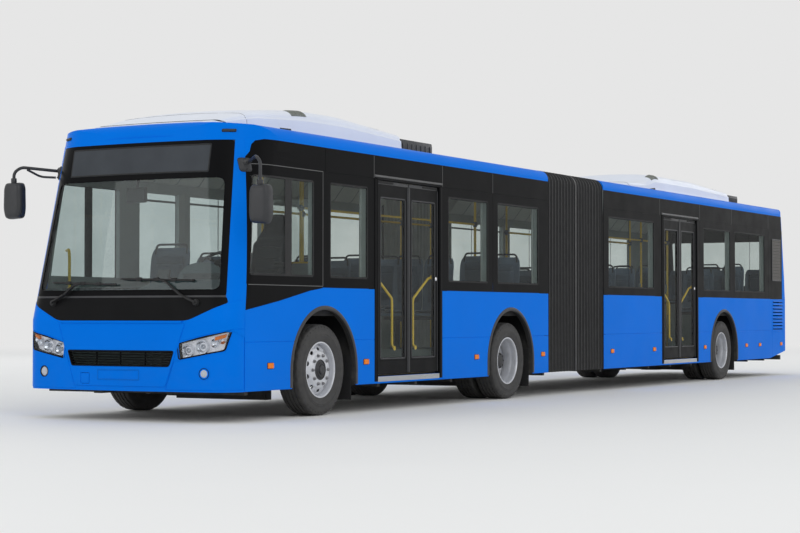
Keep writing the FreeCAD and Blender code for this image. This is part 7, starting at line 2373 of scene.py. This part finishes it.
# side, middle of the head across and along, its foot and top, and the point where the arm leaves the body
MIRRORS = [(1, 1.56, 0.17, 1.925, 2.305, 1.205), (-1, 1.49, 0.17, 2.045, 2.425, 1.205)]
shells, dark, faces, arms = bmesh.new(), bmesh.new(), bmesh.new(), bmesh.new()
for side, head_x, head_s, foot, top, root in MIRRORS:
    def head_place(u, v, height):
        return Vector((side * (head_x + u), at(head_s) - height, v))

    head = rounded([(-0.1, foot + 0.012), (0.092, foot), (0.118, foot + 0.1), (0.112, top - 0.05),
                    (0.09, top), (-0.09, top), (-0.112, top - 0.05), (-0.118, foot + 0.1)], 0.045, 5)
    add_dome(shells, head, [(-0.048, 0.006), (-0.052, 0.0), (-0.03, -0.001), (0.0, 0.0), (0.026, 0.006),
                            (0.042, 0.018), (0.05, 0.035), (0.053, 0.055)], head_place)
    for low, high in ((foot + 0.13, top - 0.022), (foot + 0.026, foot + 0.117)):
        pane = rounded(rectangle(-0.092, 0.092, low, high), 0.026, 5)
        add_dome(faces, pane, [(-0.05, 0.0), (-0.0545, 0.0005), (-0.056, 0.004)], head_place)
        add_tube(dark, [head_place(u, v, -0.0535) for u, v in pane + pane[:1]], 0.0035, 6)
    reach = [(side * root, at(0.515), 2.56), (side * (head_x - 0.07), at(0.2), 2.585),
             (side * head_x, at(head_s), 2.53), (side * head_x, at(head_s), top - 0.012)]
    add_tube(arms, reach, 0.0165, 14, 0.06)
    if side < 0:
        low_reach = [(side * root, at(0.5), 2.49), (side * (root + 0.12), at(0.4), 2.495),
                     (side * (head_x - 0.12), at(0.24), 2.56)]
        add_tube(arms, low_reach, 0.012, 12, 0.05)
    foot_of_arm = Matrix.Translation((side * head_x, at(head_s), top - 0.006))
    add_lathe(arms, [(0.0, 0.0), (0.0, 0.027), (0.01, 0.0295), (0.045, 0.0295), (0.052, 0.026), (0.056, 0.0)],
              24, foot_of_arm @ Matrix.Rotation(-math.pi / 2, 4, "Y"))
    cover = rounded(rectangle(0.462, 0.568, 2.462, 2.606), 0.03, 5)
    skin = wrap_side(side)
    add_dome(arms, cover, [(-0.02, 0.0), (0.002, 0.0), (0.012, 0.004), (0.022, 0.016), (0.025, 0.026)], skin)
    add_lathe(arms, [(0.0, 0.0), (0.0, 0.026), (0.008, 0.028), (0.04, 0.028), (0.048, 0.02), (0.052, 0.0)],
              24, facing(skin(0.515, 2.56, -0.01), Vector(reach[1]) - Vector(reach[0])))
    for v in (2.485, 2.585):
        bolt = skin(0.515, v, 0.024)
        add_lathe(dark, [(0.0, 0.0), (0.0, 0.008), (0.004, 0.008), (0.006, 0.0045), (0.003, 0.0)], 6,
                  facing(bolt, skin(0.515, v, 0.1) - bolt))
piece("mirror_heads", shells, "housing", "front_section", ["mirrors"])
piece("mirror_trims", dark, "rubber", "front_section")
piece("mirror_faces", faces, "mirror", "front_section")
piece("mirror_arms", arms, "housing", "front_section")

# wipers: cap, sprung arm and a blade that follows the glass
# pivot, middle of the blade, height of its inner and outer end
WIPERS = [(0.88, 0.42, 1.405, 1.385), (-0.88, -0.48, 1.35, 1.375)]
arm_bm, blade_bm = bmesh.new(), bmesh.new()
for pivot, centre, z_low, z_high in WIPERS:
    side = math.copysign(1.0, pivot)
    foot = on_nose(pivot, 1.17, 0.0)
    out = on_nose(pivot, 1.17, 0.1) - foot
    add_lathe(arm_bm, [(-0.01, 0.0), (-0.01, 0.036), (0.018, 0.034), (0.034, 0.027), (0.038, 0.0)], 28,
              facing(foot, out))
    reach = centre + side * 0.02
    middle_z = (z_low + z_high) / 2

    def blade_z(x):
        return z_low + (z_high - z_low) * (x * side - (centre * side - 0.42)) / 0.84

    route = [(pivot, 1.17, 0.03), (pivot - side * 0.05, 1.19, 0.04), (pivot - side * 0.17, 1.245, 0.042),
             (reach + side * 0.1, middle_z - 0.025, 0.04), (reach, middle_z, 0.036)]
    for width, part in ((0.025, route[:3]), (0.016, route[1:])):
        points = [on_nose(x, z, h) for x, z, h in part]
        shape = [(-width, -0.007), (width, -0.007), (width * 0.8, 0.01), (-width * 0.8, 0.01)]
        add_tube(arm_bm, points, 0.0, bend=0.04, section=shape)
    add_tube(arm_bm, [on_nose(x, z, h + 0.012) for x, z, h in route[1:3]], 0.008, 8)
    xs = steps(centre - 0.42, centre + 0.42, 0.06)
    add_tube(blade_bm, [on_nose(x, blade_z(x), 0.024) for x in xs], 0.0,
             section=[(-0.015, -0.006), (0.015, -0.006), (0.009, 0.01), (-0.009, 0.01)])
    add_tube(blade_bm, [on_nose(x, blade_z(x), 0.012) for x in xs], 0.0,
             section=[(-0.004, -0.009), (0.004, -0.009), (0.004, 0.009), (-0.004, 0.009)])
    for x in (centre - 0.2, centre, centre + 0.2):
        spot = on_nose(x, blade_z(x), 0.03)
        add_block(blade_bm, (-0.01, -0.03, -0.018), (0.012, 0.03, 0.018), 0.006,
                  facing(spot, on_nose(x, blade_z(x), 0.1) - on_nose(x, blade_z(x), 0.0)))
piece("wiper_arms", arm_bm, "rubber", "front_section", ["wipers"])
piece("wiper_blades", blade_bm, "rubber", "front_section")

# grab rail by the screen's far corner and the mirror box over the screen
rail_bm, box_bm = bmesh.new(), bmesh.new()
rail = [(-1.19, at(0.66), 1.73), (-1.1, at(0.59), 1.735), (-1.085, at(0.58), 1.66), (-1.085, at(0.58), 1.32)]
add_tube(rail_bm, rail, 0.016, 12, 0.09)
add_lathe(rail_bm, [(0.0, 0.016), (0.0, 0.034), (0.006, 0.034), (0.014, 0.018)], 20,
          Matrix.Translation((-1.085, at(0.58), 1.325)) @ Matrix.Rotation(-math.pi / 2, 4, "Y"))
piece("door_side_grab_rail", rail_bm, "yellow", "front_section")
add_block(box_bm, (-0.335, at(0.56), 2.2), (-0.105, at(0.62), 2.36), 0.03)
add_tube(box_bm, [(-0.22, at(0.59), 2.35), (-0.22, at(0.62), 2.45), (-0.22, at(0.7), 2.6)], 0.014, 10, 0.05)
add_block(box_bm, (-0.4, at(0.62), 2.58), (0.1, at(0.86), 2.7), 0.03)
piece("inside_mirror_box", box_bm, "handle", "front_section")

# marker lamps on the front edge of the roof, and pale beads in the seams of the band
lamp_bm, base_bm = bmesh.new(), bmesh.new()
for x in (-1.0, 1.0):
    outline = nose_outline(rounded(rectangle(x - 0.06, x + 0.06, 2.862, 2.892), 0.01, 3), 0.03)
    nose_plate(base_bm, outline, [], -0.004, 0.012, 0.005)
    outline = nose_outline(rounded(rectangle(x - 0.05, x + 0.05, 2.867, 2.887), 0.008, 3), 0.03)
    nose_plate(lamp_bm, outline, [], 0.006, 0.018, 0.006)
piece("roof_edge_lamp_bases", base_bm, "rubber", "front_section")
piece("roof_edge_lamps", lamp_bm, "display", "front_section")
# body, stations of the upright beads on the left-hand side, ends and height of the level beads
for body, upright, level in (
        ("front_section", (2.88, 4.5, 5.84), [(0.4, 1.798, 1.35), (0.56, 1.798, HEADER)]),
        ("rear_section", (11.55, 13.3, 14.85, 16.8), [])):
    beads = bmesh.new()
    for side in (-1, 1):
        if side > 0:
            for s in upright:
                add_plate(beads, rectangle(s - 0.003, s + 0.003, HEADER + GAP, TOP - GAP), [], *BEAD_LAYERS,
                          flat_side(side))
        for s0, s1, z in level:
            add_plate(beads, rectangle(s0, s1, z - 0.0035, z + 0.0035), [], *BEAD_LAYERS, wrap_side(side),
                      CORNER_CUTS)
            if z > 2:
                add_plate(beads, rectangle(1.7965, 1.8035, 1.35, z), [], *BEAD_LAYERS, wrap_side(side),
                          CORNER_CUTS)
    piece(body + "_seam_beads", beads, "seam", body)


# ---- studio ----------------------------------------------------------------------------------
CAMERA = dict(place=(11.385, -23.878, 1.044), yaw=28.854, pitch=1.507, lens=84.05)
FLOOR = linear(240, 237, 233)
BACKDROP = linear(230, 230, 230)


def fade_floor(material):
    """Away from the bus the floor shows the camera the colour of the backdrop."""
    tree = material.node_tree
    output = next(n for n in tree.nodes if n.type == "OUTPUT_MATERIAL")
    surface = output.inputs["Surface"].links[0].from_socket
    spot = tree.nodes.new("ShaderNodeNewGeometry")
    far = tree.nodes.new("ShaderNodeVectorMath")
    far.operation = "LENGTH"
    tree.links.new(spot.outputs["Position"], far.inputs[0])
    fade = tree.nodes.new("ShaderNodeMapRange")
    fade.interpolation_type = "SMOOTHSTEP"
    fade.inputs["From Min"].default_value = 12.0
    fade.inputs["From Max"].default_value = 42.0
    tree.links.new(far.outputs["Value"], fade.inputs["Value"])
    path = tree.nodes.new("ShaderNodeLightPath")
    seen = arithmetic(tree, "MULTIPLY", fade.outputs["Result"], path.outputs["Is Camera Ray"])
    glow = tree.nodes.new("ShaderNodeEmission")
    glow.inputs["Color"].default_value = (*BACKDROP, 1.0)
    tree.links.new(mixed(tree, seen, surface, glow.outputs[0]), output.inputs["Surface"])


def studio():
    """Pale floor, soft key and fill light, pale background."""
    mesh = bpy.data.meshes.new("studio_floor")
    reach = 160.0
    mesh.from_pydata([(-reach, -reach, 0), (reach, -reach, 0), (reach, reach, 0), (-reach, reach, 0)], [],
                     [(0, 1, 2, 3)])
    floor = linked("studio_floor", mesh)
    mesh.materials.append(finish_of("studio_floor", FLOOR, 0.75, vary=0.004, scale=0.3))
    fade_floor(mesh.materials[0])
    # name, energy, size, place, aim
    lights = [
        ("key_light", 760.0, 14.0, (17.0, -21.0, 13.0), (0.0, -2.0, 1.4)),
        ("front_fill", 420.0, 12.0, (-9.0, -26.0, 8.0), (0.0, -8.0, 1.5)),
        ("side_fill", 480.0, 16.0, (24.0, 4.0, 9.0), (0.0, 3.0, 1.4)),
        ("far_fill", 420.0, 16.0, (-22.0, 6.0, 10.0), (0.0, 2.0, 1.5)),
        ("tail_fill", 260.0, 10.0, (4.0, 26.0, 9.0), (0.0, 8.0, 1.5)),
    ]
    for name, energy, size, place, aim in lights:
        light = bpy.data.lights.new(name, "AREA")
        light.energy = energy
        light.shape = "DISK"
        light.size = size
        lamp = linked(name, light)
        lamp.location = place
        lamp.rotation_euler = (Vector(aim) - Vector(place)).to_track_quat("-Z", "Y").to_euler()
    world = bpy.data.worlds.new("studio_world")
    bpy.context.scene.world = world
    world.use_nodes = True
    tree = world.node_tree
    tree.nodes.clear()
    path = tree.nodes.new("ShaderNodeLightPath")
    seen = arithmetic(tree, "MAXIMUM", path.outputs["Is Camera Ray"], path.outputs["Is Transmission Ray"])
    shown = arithmetic(tree, "MAXIMUM", seen, path.outputs["Is Glossy Ray"])
    sources = []
    for colour, strength in (((0.9, 0.95, 1.0), 0.82), (BACKDROP, 1.0)):
        source = tree.nodes.new("ShaderNodeBackground")
        source.inputs["Color"].default_value = (*colour, 1.0)
        source.inputs["Strength"].default_value = strength
        sources.append(source.outputs[0])
    output = tree.nodes.new("ShaderNodeOutputWorld")
    tree.links.new(mixed(tree, shown, *sources), output.inputs["Surface"])
    camera = bpy.data.cameras.new("photo_camera")
    camera.lens = CAMERA["lens"]
    camera.sensor_width = 36.0
    camera.clip_end = 600.0
    eye = linked("photo_camera", camera)
    eye.location = CAMERA["place"]
    eye.rotation_euler = (math.radians(90.0 + CAMERA["pitch"]), 0.0, math.radians(CAMERA["yaw"]))
    bpy.context.scene.camera = eye
    bpy.context.scene.view_settings.view_transform = "Standard"


studio()
